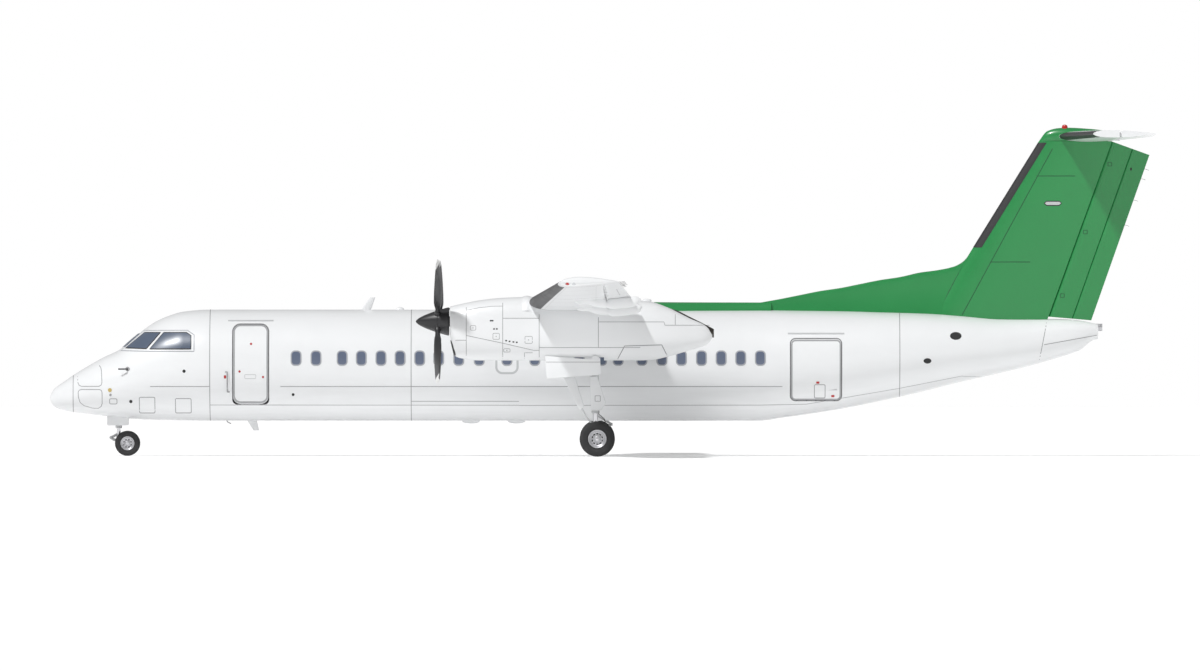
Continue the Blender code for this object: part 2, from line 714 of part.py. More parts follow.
def hinge_lugs(fixed, moving, name, line, places, radius, colour):
    """Lugs on the fixed surface in slots of the moving one, square to the hinge line."""
    start, end = line
    axis = end - start
    for index, share in enumerate(places):
        middle = start + axis * share
        lug = plate(f"{name}_lug_{index}", middle, axis, (-1.0, 0.0, 0.0),
                    pivot_outline(radius, 0.20, radius), ARM_HALF, colour)
        slot = plate(f"{name}_slot_{index}", middle, axis, (-1.0, 0.0, 0.0),
                     pivot_outline(radius + 0.010, 0.40, 0.40), ARM_HALF + SEAT_GAP, colour)
        carve(moving, slot)
        fuse(fixed, lug)


def flap_fairings(wing, flap, name, line, span, places):
    """Canoe fairings: the front half on the wing, the rear half on the flap, side by side at the pivot."""
    start, end = line
    axis = end - start
    for index, y in enumerate(places):
        share = (abs(y) - span[0]) / (span[1] - span[0])
        pivot = start + axis * share
        roof = wing_point(y, 0.5).z - pivot.z
        chord = np.interp(abs(y), WING_LINES[:, 0], WING_LINES[:, 3])
        spar = (FLAP_HINGE - SPAR) * chord + 0.004
        front = [(0.75, roof), (0.62, roof - 0.15), (0.30, 0.0), (0.0, -PIVOT_RADIUS), (-0.035, -0.02), (-0.035, 0.02)]
        front += [(0.0, PIVOT_RADIUS), (0.045, 0.08), (spar, 0.11), (spar, roof)]
        flap_roof = wing_point(y, 0.86).z - pivot.z
        rear = [(0.0, PIVOT_RADIUS), (0.035, 0.02), (0.035, -0.02), (0.0, -PIVOT_RADIUS), (-0.35, 0.03)]
        rear += [(-0.62, flap_roof - 0.04), (-0.40, flap_roof), (-0.12, flap_roof), (-0.05, 0.12)]
        beside = axis.normalized() * (ARM_HALF + SEAT_GAP / 2.0)
        fuse(wing, plate(f"{name}_front_{index}", pivot + beside, axis, (-1, 0, 0), front, ARM_HALF, "white"))
        fuse(flap, plate(f"{name}_rear_{index}", pivot - beside, axis, (-1, 0, 0), rear, ARM_HALF, "white"))


def make_wing():
    """Centre wing, outer wings, flaps and ailerons. Returns the bed for the hull and nacelles."""
    centre = loft("wing_centre", [wing_ring(y, 0.0, SPAR) for y in (-WING_JOINT, WING_JOINT)], "white")
    for side, sign in SIDES:
        root, joint = sign * (WING_JOINT + SEAT_GAP), sign * (TIP_JOINT - SEAT_GAP)
        outer = loft("wing_" + side, [wing_ring(y, 0.0, SPAR) for y in (root, joint)], "white")
        tip_y = (sign * (TIP_JOINT - TIP_OVERLAP), sign * (WING_TIP - 0.10), sign * WING_TIP)
        tip_rings = [wing_ring(tip_y[0], 0.0, 1.0, -TIP_INSET), wing_ring(tip_y[1], 0.0, 1.0)]
        last = wing_ring(tip_y[2], 0.0, 1.0)
        middle = sum(last, Vector()) / len(last)
        tip_rings.append([middle + Vector(((p.x - middle.x) * 0.93, 0.0, (p.z - middle.z) * 0.5)) for p in last])
        fuse(outer, loft("wing_tip_" + side, tip_rings, "white"))
        for which, wing in (("inboard", centre), ("outboard", outer)):
            span = FLAP_SPANS[which]
            flap_rings = [moving_ring(sign * y, FLAP_HINGE, 0.45) for y in span]
            flap = loft(f"flap_{which}_{side}", flap_rings, "white")
            arms = [sign * y for y in FLAP_ARMS[which]]
            flap_fairings(wing, flap, f"fairing_{which}_{side}", flap_line(sign, which), span, arms)
        aileron = loft("aileron_" + side, [moving_ring(sign * y, AILERON_HINGE, 1.0) for y in AILERON_SPAN], "white")
        places = [(y - AILERON_SPAN[0]) / (AILERON_SPAN[1] - AILERON_SPAN[0]) for y in AILERON_ARMS]
        hinge_lugs(outer, aileron, "aileron_" + side, aileron_line(sign), places, 0.035, "white")
    bed_rings = [wing_ring(y, 0.0, SPAR, SEAT_GAP) for y in (-WING_JOINT, WING_JOINT)]
    return loft("wing_bed", bed_rings, "white")


def nacelle_ring(x, y, grow=0.0):
    """Nacelle frame: a squared ellipse."""
    crown, keel, half = (np.interp(x, NACELLE_LINES[:, 0], NACELLE_LINES[:, column]) for column in (1, 2, 3))
    centre = (crown + keel) / 2.0
    height = (crown - keel) / 2.0 + grow
    power = 2.0 / NACELLE_SQUARENESS
    ring = []
    for index in range(NACELLE_SIDES):
        angle = math.tau * index / NACELLE_SIDES
        across = math.copysign(abs(math.cos(angle)) ** power, math.cos(angle))
        upward = math.copysign(abs(math.sin(angle)) ** power, math.sin(angle))
        ring.append(Vector((x, y + (half + grow) * across, centre + height * upward)))
    return ring


def nacelle_length(name, y, start, end, colour, grow=0.0):
    """The nacelle between two stations."""
    inner = [x for x in NACELLE_LINES[:, 0] if start + 1e-4 < x < end - 1e-4]
    return loft(name, [nacelle_ring(x, y, grow) for x in (start, *inner, end)], colour)


def exhaust_rings(y, grow=0.0):
    """Rings of the exhaust duct on the nacelle's tail."""
    rings = []
    for x, crown, height, half in EXHAUST_LINES:
        angles = [math.tau * index / 16 for index in range(16)]
        centre = crown - height
        ring = [Vector((x, y + (half + grow) * math.cos(a), centre + (height + grow) * math.sin(a))) for a in angles]
        rings.append(ring)
    return rings


def make_engine(side, y, wing_bed):
    """Cowl, nacelle, exhaust and the engine block."""
    cowl = nacelle_length("cowl_" + side, y, NACELLE_LINES[0, 0], COWL_JOINT - SEAT_GAP, "white")
    intake_rings = []
    for x in (-3.700, INTAKE_END):
        low_z, high_z = INTAKE_Z
        outline = rounded_box((y - INTAKE_HALF, y + INTAKE_HALF), (low_z, high_z), 0.13)
        intake_rings.append([Vector((x, u, v)) for u, v in outline])
    carve(cowl, loft("intake_" + side, intake_rings, "black"))
    room_low = (ENGINE_X[0] - ENGINE_CLEAR, y - ENGINE_HALF - ENGINE_CLEAR, ENGINE_Z[0] - SEAT_GAP)
    room_high = (ENGINE_X[1] + ENGINE_CLEAR, y + ENGINE_HALF + ENGINE_CLEAR, ENGINE_Z[1] + ENGINE_CLEAR)
    engine_room = block("engine_room_" + side, room_low, room_high, "grey")
    carve(cowl, engine_room)
    engine_low = (ENGINE_X[0], y - ENGINE_HALF, ENGINE_Z[0])
    block("engine_" + side, engine_low, (ENGINE_X[1], y + ENGINE_HALF, ENGINE_Z[1]), "grey")

    nacelle = nacelle_length("nacelle_" + side, y, COWL_JOINT, NACELLE_LINES[-1, 0], "white")
    bay_low = (BAY_X[0], y - BAY_HALF, 1.5)
    carve(nacelle, wing_bed, engine_room, block("gear_bay_" + side, bay_low, (BAY_X[1], y + BAY_HALF, BAY_TOP), "grey"))

    exhaust = loft("exhaust_" + side, exhaust_rings(y), "black")
    groove = exhaust_rings(y, SEAT_GAP)
    groove[0] = [point - Vector((SEAT_GAP, 0.0, 0.0)) for point in groove[0]]
    groove.append([point + Vector((0.2, 0.0, -0.1)) for point in groove[-1]])
    carve(nacelle, loft("exhaust_groove_" + side, groove, "black"))
    mouth = Vector((EXHAUST_LINES[-1][0], y, EXHAUST_LINES[-1][1] - EXHAUST_LINES[-1][2]))
    slope = Vector((1.0, 0.0, -0.5)).normalized()
    carve(exhaust, rod("exhaust_mouth_" + side, mouth - slope * EXHAUST_DEPTH, mouth + slope * 0.1, EXHAUST_MOUTH,
                       "black", sides=16))


def make_propeller(side, y):
    """Hub with its blades, and the spinner over it."""
    centre = Vector((0.0, y, PROP_Z))
    hub_profile = (
        (PROP_PLANE - 0.18, 0.06),
        (PROP_PLANE - 0.15, HUB_RADIUS),
        (SPINNER_BASE + SEAT_GAP, HUB_RADIUS),
        (SPINNER_BASE + SEAT_GAP, SPINNER_RADIUS - 0.004),
        (SPINNER_BASE + 0.015, SPINNER_RADIUS - 0.004),
        (SPINNER_BASE + 0.015, SHAFT_RADIUS),
        (NACELLE_LINES[0, 0] - SEAT_GAP, SHAFT_RADIUS),
    )
    hub = turned("propeller_" + side, hub_profile, centre, (1.0, 0.0, 0.0), "black", 24, (0.0, 0.0, 1.0))
    spinner_profile = []
    length = SPINNER_BASE - SPINNER_NOSE
    for step in range(9):
        share = step / 8.0
        spinner_profile.append((SPINNER_NOSE + length * share, max(0.006, SPINNER_RADIUS * share ** 0.62)))
    spinner_profile += [
        (SPINNER_BASE, SPINNER_RADIUS - SPINNER_WALL),
        (PROP_PLANE + 0.075, 0.262),
        (PROP_PLANE - 0.110, 0.200),
        (PROP_PLANE - 0.195, 0.172),
        (PROP_PLANE - 0.195, 0.020),
    ]
    spinner = turned("spinner_" + side, spinner_profile, centre, (1.0, 0.0, 0.0), "black", SPINNER_SIDES,
                     (0.0, 0.0, 1.0))
    for index in range(PROP_BLADES):
        angle = math.tau * (index + 0.5) / PROP_BLADES
        outward = Vector((0.0, math.cos(angle), math.sin(angle)))
        across = Vector((0.0, -math.sin(angle), math.cos(angle)))
        rings = []
        for radius, chord, thickness, pitch in BLADE_LINES:
            turn = math.radians(pitch)
            along = across * math.cos(turn) - Vector((1.0, 0.0, 0.0)) * math.sin(turn)
            face = across * math.sin(turn) + Vector((1.0, 0.0, 0.0)) * math.cos(turn)
            middle = centre + Vector((PROP_PLANE, 0.0, 0.0)) + outward * radius
            ring = []
            for point in range(10):
                a = math.tau * point / 10
                ring.append(middle + along * (chord / 2 * math.cos(a)) + face * (thickness / 2 * math.sin(a)))
            rings.append(ring)
        fuse(hub, loft(f"blade_{side}_{index}", rings, "black"))
        foot = centre + Vector((PROP_PLANE, 0.0, 0.0))
        hole = rod(f"blade_hole_{side}_{index}", foot + outward * 0.19, foot + outward * 0.60, 0.085, "black", sides=16)
        carve(spinner, hole)


def fin_values(z):
    """Leading edge, hinges and trailing edge of fin and rudder at a height."""
    slopes = (FIN_LINES[1, 1:] - FIN_LINES[0, 1:]) / (FIN_LINES[1, 0] - FIN_LINES[0, 0])
    return FIN_LINES[0, 1:] + slopes * (z - FIN_LINES[0, 0])


def fin_half(x, z):
    """Half thickness of fin and rudder."""
    edge, _, _, trail = fin_values(z)
    chord = trail - edge
    share = min(max((x - edge) / chord, 0.0), 1.0)
    return chord * half_thickness(share, FIN_THICKNESS) + 0.001


def fin_ring(z, grow=0.0, steps=8):
    """Fin section from its leading edge to just ahead of the rudder."""
    edge, hinge, _, _ = fin_values(z)
    rear = hinge - fin_half(hinge, z) - FIN_GAP
    xs = [edge + (rear - edge) * (1.0 - math.cos(math.pi / 2 * step / steps)) for step in range(steps + 1)]
    near = [Vector((x, -fin_half(x, z) - grow, z)) for x in xs]
    far = [Vector((x, fin_half(x, z) + grow, z)) for x in xs]
    for point in (near[0], far[0]):
        point.x -= grow
    return near[::-1] + far


def rudder_ring(edge_z, columns):
    """Rudder section along an edge line z(x), with a round nose about its hinge."""
    def station(column):
        """Where a line of the fin crosses the edge."""
        z = edge_z(0.0)
        for _ in range(6):
            z = edge_z(fin_values(z)[column])
        return fin_values(z)[column]

    hinge, rear = station(columns[0]), station(columns[1])
    if columns[1] == 2:
        rear -= fin_half(rear, edge_z(rear)) + SWING_GAP
    radius = fin_half(hinge, edge_z(hinge))
    outline = []
    for step in range(7):
        angle = math.pi / 2 + math.pi * step / 6
        outline.append((hinge + radius * math.cos(angle), radius * math.sin(angle)))
    middle = 0.5 * (hinge + rear)
    flank = [(middle, fin_half(middle, edge_z(middle))), (rear, fin_half(rear, edge_z(rear)))]
    outline += [(x, -half) for x, half in flank] + flank[::-1]
    return [Vector((x, y, edge_z(x))) for x, y in outline]


def rudder_line(column):
    """Ends of a rudder hinge line."""
    return tuple(Vector((fin_values(z)[column], 0.0, z)) for z in (RUDDER_FOOT_Z, RUDDER_TOP_Z))


def rudder_foot(x):
    """Lower edge of the rudder."""
    return RUDDER_FOOT_Z - RUDDER_FALL * (x - RUDDER_FOOT_X)


def rudder_top(x):
    """Upper edge of the rudder, square to its hinge."""
    return RUDDER_TOP_Z - RUDDER_TOP_FALL * (x - RUDDER_TOP_X)


def tail_values(y):
    """Leading edge x, middle z, chord and thickness ratio of the tailplane."""
    return [np.interp(abs(y), TAIL_LINES[:, 0], TAIL_LINES[:, column]) for column in range(1, 5)]


def tail_half(x, y):
    """Half thickness of the tailplane."""
    edge, _, chord, ratio = tail_values(y)
    share = min(max((x - edge) / chord, 0.0), 1.0)
    return chord * half_thickness(share, ratio) + 0.002


def tail_ring(y, grow=0.0, steps=7):
    """Tailplane section ahead of the elevator."""
    edge, middle, _, _ = tail_values(y)
    rear = TAIL_HINGE_X - tail_half(TAIL_HINGE_X, y) - SWING_GAP
    xs = [edge + (rear - edge) * (1.0 - math.cos(math.pi / 2 * step / steps)) for step in range(steps + 1)]
    upper = [Vector((x, y, middle + tail_half(x, y) + grow)) for x in xs]
    lower = [Vector((x, y, middle - tail_half(x, y) - grow)) for x in xs]
    for point in (upper[0], lower[0]):
        point.x -= grow
    for point in (upper[-1], lower[-1]):
        point.x += grow
    return upper[::-1] + lower


def elevator_ring(y):
    """Elevator section with a round nose about its hinge."""
    edge, middle, chord, _ = tail_values(y)
    radius = tail_half(TAIL_HINGE_X, y)
    points = []
    for step in range(7):
        angle = math.pi / 2 + math.pi * step / 6
        points.append((TAIL_HINGE_X + radius * math.cos(angle), radius * math.sin(angle)))
    rear = edge + chord
    waist = 0.5 * (TAIL_HINGE_X + rear)
    points += [(waist, -tail_half(waist, y)), (rear, -tail_half(rear, y))]
    points += [(rear, tail_half(rear, y)), (waist, tail_half(waist, y))]
    return [Vector((x, y, middle + z)) for x, z in points]


def elevator_line(sign):
    """Ends of an elevator's hinge line."""
    return tuple(Vector((TAIL_HINGE_X, sign * y, tail_values(y)[1])) for y in ELEVATOR_SPAN)


def make_tail():
    """Dorsal fin, fin with its cap, rudders, tailplane and elevators."""
    hull_bed = hull_length("tail_bed", 3.0, 11.4, "white", SEAT_GAP)
    fin = loft("fin", [fin_ring(z) for z in (FIN_FOOT_Z, FIN_TOP_Z)], "green")
    rings = []
    for x, crown, foot, half in CAP_LINES:
        centre, height = (crown + foot) / 2.0, (crown - foot) / 2.0
        angles = [math.tau * index / 16 for index in range(16)]
        rings.append([Vector((x, half * math.cos(a), centre + height * math.sin(a))) for a in angles])
    beacon = rod("beacon", (BEACON_X, 0.0, BEACON_Z[0]), (BEACON_X, 0.0, BEACON_Z[1]), BEACON_RADIUS, "glass")
    fuse(fin, loft("fin_cap", rings, "green"), beacon)
    carve(fin, hull_bed, loft("tailplane_bed", [tail_ring(y, SEAT_GAP) for y in (-1.0, 0.0, 1.0)], "white"))

    rings = []
    for x, crown, half in DORSAL_LINES:
        foot = DORSAL_FOOT_HALF
        ring = [(-foot, DORSAL_FOOT_Z), (-half, crown - 0.05), (-half * 0.5, crown), (half * 0.5, crown)]
        ring += [(half, crown - 0.05), (foot, DORSAL_FOOT_Z)]
        rings.append([Vector((x, y, z)) for y, z in ring])
    dorsal = loft("dorsal_fin", rings, "green")
    fin_bed_rings = [fin_ring(z, SEAT_GAP) for z in (FIN_FOOT_Z - 0.2, FIN_TOP_Z)]
    carve(dorsal, hull_bed, loft("fin_bed", fin_bed_rings, "green"))

    edges = (rudder_foot, rudder_top)
    rudder = loft("rudder", [rudder_ring(edge, (1, 2)) for edge in edges], "green")
    trailing = loft("trailing_rudder", [rudder_ring(edge, (2, 3)) for edge in edges], "green")
    places = [(z - RUDDER_FOOT_Z) / (RUDDER_TOP_Z - RUDDER_FOOT_Z) for z in RUDDER_NOTCHES]
    hinge_lugs(fin, rudder, "rudder", rudder_line(1), places, 0.045, "green")
    hinge_lugs(rudder, trailing, "trailing", rudder_line(2), places, 0.030, "green")

    tailplane = loft("tailplane", [tail_ring(y) for y in (-TAIL_LINES[1, 0], 0.0, TAIL_LINES[1, 0])], "white")
    for side, sign in SIDES:
        elevator = loft("elevator_" + side, [elevator_ring(sign * y) for y in ELEVATOR_SPAN], "white")
        places = [(y - ELEVATOR_SPAN[0]) / (ELEVATOR_SPAN[1] - ELEVATOR_SPAN[0]) for y in ELEVATOR_ARMS]
        hinge_lugs(tailplane, elevator, "elevator_" + side, elevator_line(sign), places, 0.030, "white")


def tyre(name, centre, radius, rim, width):
    """A tyre with rounded shoulders."""
    half = width / 2.0
    depth = radius - rim
    profile = (
        (-half * 0.55, rim + SEAT_GAP),
        (-half * 0.95, rim + depth * 0.35),
        (-half, rim + depth * 0.60),
        (-half * 0.80, radius - depth * 0.09),
        (-half * 0.45, radius),
        (half * 0.45, radius),
        (half * 0.80, radius - depth * 0.09),
        (half, rim + depth * 0.60),
        (half * 0.95, rim + depth * 0.35),
        (half * 0.55, rim + SEAT_GAP),
    )
    return turned(name, profile, centre, (0.0, 1.0, 0.0), "rubber", TYRE_SIDES, (0.0, 0.0, 1.0), closed=True)


def wheel_pair(name, centre, rim, width, twin):
    """Two wheels on one axle."""
    half = width * 0.42
    dish = half * 0.45
    profile = [
        (-twin - dish, 0.055),
        (-twin - dish, rim * 0.80),
        (-twin - half, rim * 0.90),
        (-twin - half, rim - 0.001),
        (-twin + half, rim - 0.001),
        (-twin + dish, rim * 0.80),
        (-twin + dish, AXLE_RADIUS),
    ]
    mirrored = [(-along, radius) for along, radius in reversed(profile)]
    rows = profile + mirrored
    return turned(name, rows, centre, (0.0, 1.0, 0.0), "steel", WHEEL_SIDES, (0.0, 0.0, 1.0))


def axle_housing(name, centre, half, radius):
    """Round housing across the foot of a leg, and the bore through it for the axle."""
    across = Vector((0.0, half, 0.0))
    reach = Vector((0.0, BORE_REACH, 0.0))
    housing = rod(name + "_housing", centre - across, centre + across, radius, "steel", sides=LEG_SIDES)
    bore = rod(name + "_bore", centre - reach, centre + reach, BEARING_RADIUS, "steel", sides=WHEEL_SIDES,
               forward=(0.0, 0.0, 1.0))
    return housing, bore


def make_main_leg(side, y):
    """Leg with its axle housing, fairing, torque link and trunnion."""
    centre = Vector((MAIN_AXLE.x, y, MAIN_AXLE.z))
    leg = rod("main_leg_" + side, (MAIN_LEG_X, y, MAIN_LEG_FOOT_Z), (MAIN_LEG_X, y, BAY_TOP - SEAT_GAP),
              MAIN_LEG_RADIUS, "steel", sides=LEG_SIDES)
    housing, bore = axle_housing("main_axle_" + side, centre, MAIN_HOUSING_HALF, MAIN_HOUSING_RADIUS)
    fairing = side_prism("leg_fairing_" + side, LEG_FAIRING_OUTLINE, y - LEG_FAIRING_HALF, y + LEG_FAIRING_HALF,
                         "white")
    link = side_prism("torque_link_" + side, TORQUE_LINK_OUTLINE, y - TORQUE_LINK_HALF, y + TORQUE_LINK_HALF,
                      "steel")
    trunnion = rod("trunnion_" + side, (MAIN_LEG_X, y - TRUNNION_HALF, TRUNNION_Z),
                   (MAIN_LEG_X, y + TRUNNION_HALF, TRUNNION_Z), TRUNNION_RADIUS, "steel")
    fuse(leg, housing, fairing, link, trunnion)
    carve(leg, bore)


def make_drag_strut(side, y):
    """Folding strut ahead of the leg, cut clear of the leg and its fairing."""
    top = BAY_TOP - SEAT_GAP
    outline = [(x, top) for x in DRAG_STRUT_TOP_X] + list(DRAG_STRUT_OUTLINE)
    brace = side_prism("drag_strut_" + side, outline, y - DRAG_STRUT_HALF, y + DRAG_STRUT_HALF, "white")
    leg_clear = rod("leg_clear_" + side, (MAIN_LEG_X, y, 0.5), (MAIN_LEG_X, y, 2.8), MAIN_LEG_RADIUS + SEAT_GAP,
                    "steel", sides=LEG_SIDES)
    middle_x, middle_z = LEG_FAIRING_MIDDLE
    grown = [(x + math.copysign(SEAT_GAP, x - middle_x), z + math.copysign(SEAT_GAP, z - middle_z))
             for x, z in LEG_FAIRING_OUTLINE]
    fairing_clear = side_prism("fairing_clear_" + side, grown, y - LEG_FAIRING_CLEAR, y + LEG_FAIRING_CLEAR,
                               "white")
    carve(brace, leg_clear, fairing_clear)


def make_main_gear(side, y):
    """Leg, drag strut, bay doors, wheels and tyres."""
    centre = Vector((MAIN_AXLE.x, y, MAIN_AXLE.z))
    make_main_leg(side, y)
    make_drag_strut(side, y)
    nacelle_clear = nacelle_length("door_clear_" + side, y, *GEAR_DOOR_CLEAR_X, "white", SEAT_GAP)
    for place_name, low, high in GEAR_DOOR_PLACES:
        door = side_prism(f"gear_door_{place_name}_{side}", GEAR_DOOR_OUTLINE, y + low, y + high, "white")
        carve(door, nacelle_clear)
    wheel_pair("main_wheels_" + side, centre, MAIN_RIM_RADIUS, MAIN_TYRE_WIDTH, MAIN_TWIN)
    for place_name, offset in (("port", -MAIN_TWIN), ("starboard", MAIN_TWIN)):
        tyre(f"main_tyre_{place_name}_{side}", centre + Vector((0, offset, 0)), MAIN_TYRE_RADIUS, MAIN_RIM_RADIUS,
             MAIN_TYRE_WIDTH)


def make_nose_gear():
    """Fixed leg, steered fork, bay doors, wheels and tyres."""
    top = NOSE_BAY_TOP - SEAT_GAP
    leg = rod("nose_leg", (NOSE_LEG_X, 0, NOSE_TURN_Z + SEAT_GAP), (NOSE_LEG_X, 0, top), NOSE_COLLAR_RADIUS,
              "steel", sides=LEG_SIDES)
    brace_outline = list(NOSE_BRACE_FOOT) + [(x, top) for x in NOSE_BRACE_TOP_X]
    fuse(leg, side_prism("nose_brace", brace_outline, -NOSE_BRACE_HALF, NOSE_BRACE_HALF, "steel"))
    fork = rod("nose_fork", (NOSE_LEG_X, 0, NOSE_FORK_FOOT_Z), (NOSE_LEG_X, 0, NOSE_TURN_Z), NOSE_LEG_RADIUS,
               "steel", sides=LEG_SIDES)
    arm = side_prism("nose_arm", NOSE_ARM_OUTLINE, -NOSE_ARM_HALF, NOSE_ARM_HALF, "steel")
    housing, bore = axle_housing("nose_axle", NOSE_AXLE, NOSE_HOUSING_HALF, NOSE_HOUSING_RADIUS)
    fuse(fork, arm, housing)
    carve(fork, bore)

    hull_clear = hull_length("nose_door_clear", *NOSE_DOOR_CLEAR_X, "white", SEAT_GAP)
    for side, sign in SIDES:
        low, high = sorted(sign * edge for edge in NOSE_DOOR_Y)
        carve(side_prism("nose_door_" + side, NOSE_DOOR_OUTLINE, low, high, "white"), hull_clear)

    wheel_pair("nose_wheels", NOSE_AXLE, NOSE_RIM_RADIUS, NOSE_TYRE_WIDTH, NOSE_TWIN)
    for side, sign in SIDES:
        tyre("nose_tyre_" + side, NOSE_AXLE + Vector((0, sign * NOSE_TWIN, 0)), NOSE_TYRE_RADIUS, NOSE_RIM_RADIUS,
             NOSE_TYRE_WIDTH)


def main():
    """Build the airliner."""
    for old in list(bpy.data.objects):
        bpy.data.objects.remove(old)
    wing_bed = make_wing()
    make_fuselage(wing_bed)
    make_tail()
    for side, sign in SIDES:
        make_engine(side, sign * NACELLE_Y, wing_bed)
        make_propeller(side, sign * NACELLE_Y)
        make_main_gear(side, sign * NACELLE_Y)
    make_nose_gear()


main()
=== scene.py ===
"""Looks of a parked twin-turboprop airliner: skins, glazing, doors, engines, propellers and landing gear.

Metres, +Z up, nose towards -X, port side towards -Y, ground at z = 0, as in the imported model.
"""
from __future__ import annotations

import logging
import math
from dataclasses import dataclass
from enum import Enum
from typing import Callable, Iterable, Sequence

import bmesh
import bpy
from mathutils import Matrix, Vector


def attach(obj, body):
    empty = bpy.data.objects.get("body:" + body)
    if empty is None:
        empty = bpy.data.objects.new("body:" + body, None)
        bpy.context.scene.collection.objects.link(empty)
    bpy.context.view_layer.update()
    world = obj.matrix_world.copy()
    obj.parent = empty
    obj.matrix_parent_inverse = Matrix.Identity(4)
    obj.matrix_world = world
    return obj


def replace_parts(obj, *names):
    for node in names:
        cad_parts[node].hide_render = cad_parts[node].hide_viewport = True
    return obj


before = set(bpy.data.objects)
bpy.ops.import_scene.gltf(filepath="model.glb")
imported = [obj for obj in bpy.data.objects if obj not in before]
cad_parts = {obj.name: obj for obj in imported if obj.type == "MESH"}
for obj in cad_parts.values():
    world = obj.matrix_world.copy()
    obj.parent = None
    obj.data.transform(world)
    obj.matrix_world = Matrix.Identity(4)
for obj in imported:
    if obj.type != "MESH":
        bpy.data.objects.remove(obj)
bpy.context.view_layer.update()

LOG = logging.getLogger("airliner")
Outline = list[tuple[float, float]]
Ring = list[Vector]


class Side(Enum):
    """The two sides of the airliner, with the sign of Y."""

    PORT = ("left", -1.0)
    STARBOARD = ("right", 1.0)

    @property
    def word(self) -> str:
        """The side's word in the names of nodes and bodies."""
        return self.value[0]

    @property
    def sign(self) -> float:
        """The sign of Y on this side."""
        return self.value[1]


@dataclass(frozen=True)
class Finish:
    """A surface finish: colour, gloss and how much it varies."""

    name: str
    slot: str
    colour: tuple[float, float, float]
    roughness: float
    metallic: float = 0.0
    coat: float = 0.0
    mottle: float = 0.04
    mottle_scale: float = 1.4
    grime: float = 0.0
    bump: float = 0.0
    bump_scale: float = 60.0

    def material(self) -> bpy.types.Material:
        """Make the material once and return it."""
        found = bpy.data.materials.get(self.name)
        if found is not None:
            return found
        material = bpy.data.materials.new(self.name)
        material.use_nodes = True
        tree = material.node_tree
        shader = tree.nodes["Principled BSDF"]
        shader.inputs["Metallic"].default_value = self.metallic
        shader.inputs["Coat Weight"].default_value = self.coat
        shader.inputs["Coat Roughness"].default_value = 0.08
        wear = tree.nodes.new("ShaderNodeGroup")
        wear.node_tree = weathering_group()
        wear.inputs["Colour"].default_value = (*self.colour, 1.0)
        wear.inputs["Roughness"].default_value = self.roughness
        wear.inputs["Mottle"].default_value = self.mottle
        wear.inputs["Mottle Scale"].default_value = self.mottle_scale
        wear.inputs["Grime"].default_value = self.grime
        wear.inputs["Bump Scale"].default_value = self.bump_scale
        tree.links.new(wear.outputs["Colour"], shader.inputs["Base Color"])
        tree.links.new(wear.outputs["Roughness"], shader.inputs["Roughness"])
        if self.bump > 0.0:
            bump = tree.nodes.new("ShaderNodeBump")
            bump.inputs["Strength"].default_value = self.bump
            bump.inputs["Distance"].default_value = 0.002
            tree.links.new(wear.outputs["Height"], bump.inputs["Height"])
            tree.links.new(bump.outputs["Normal"], shader.inputs["Normal"])
        return material


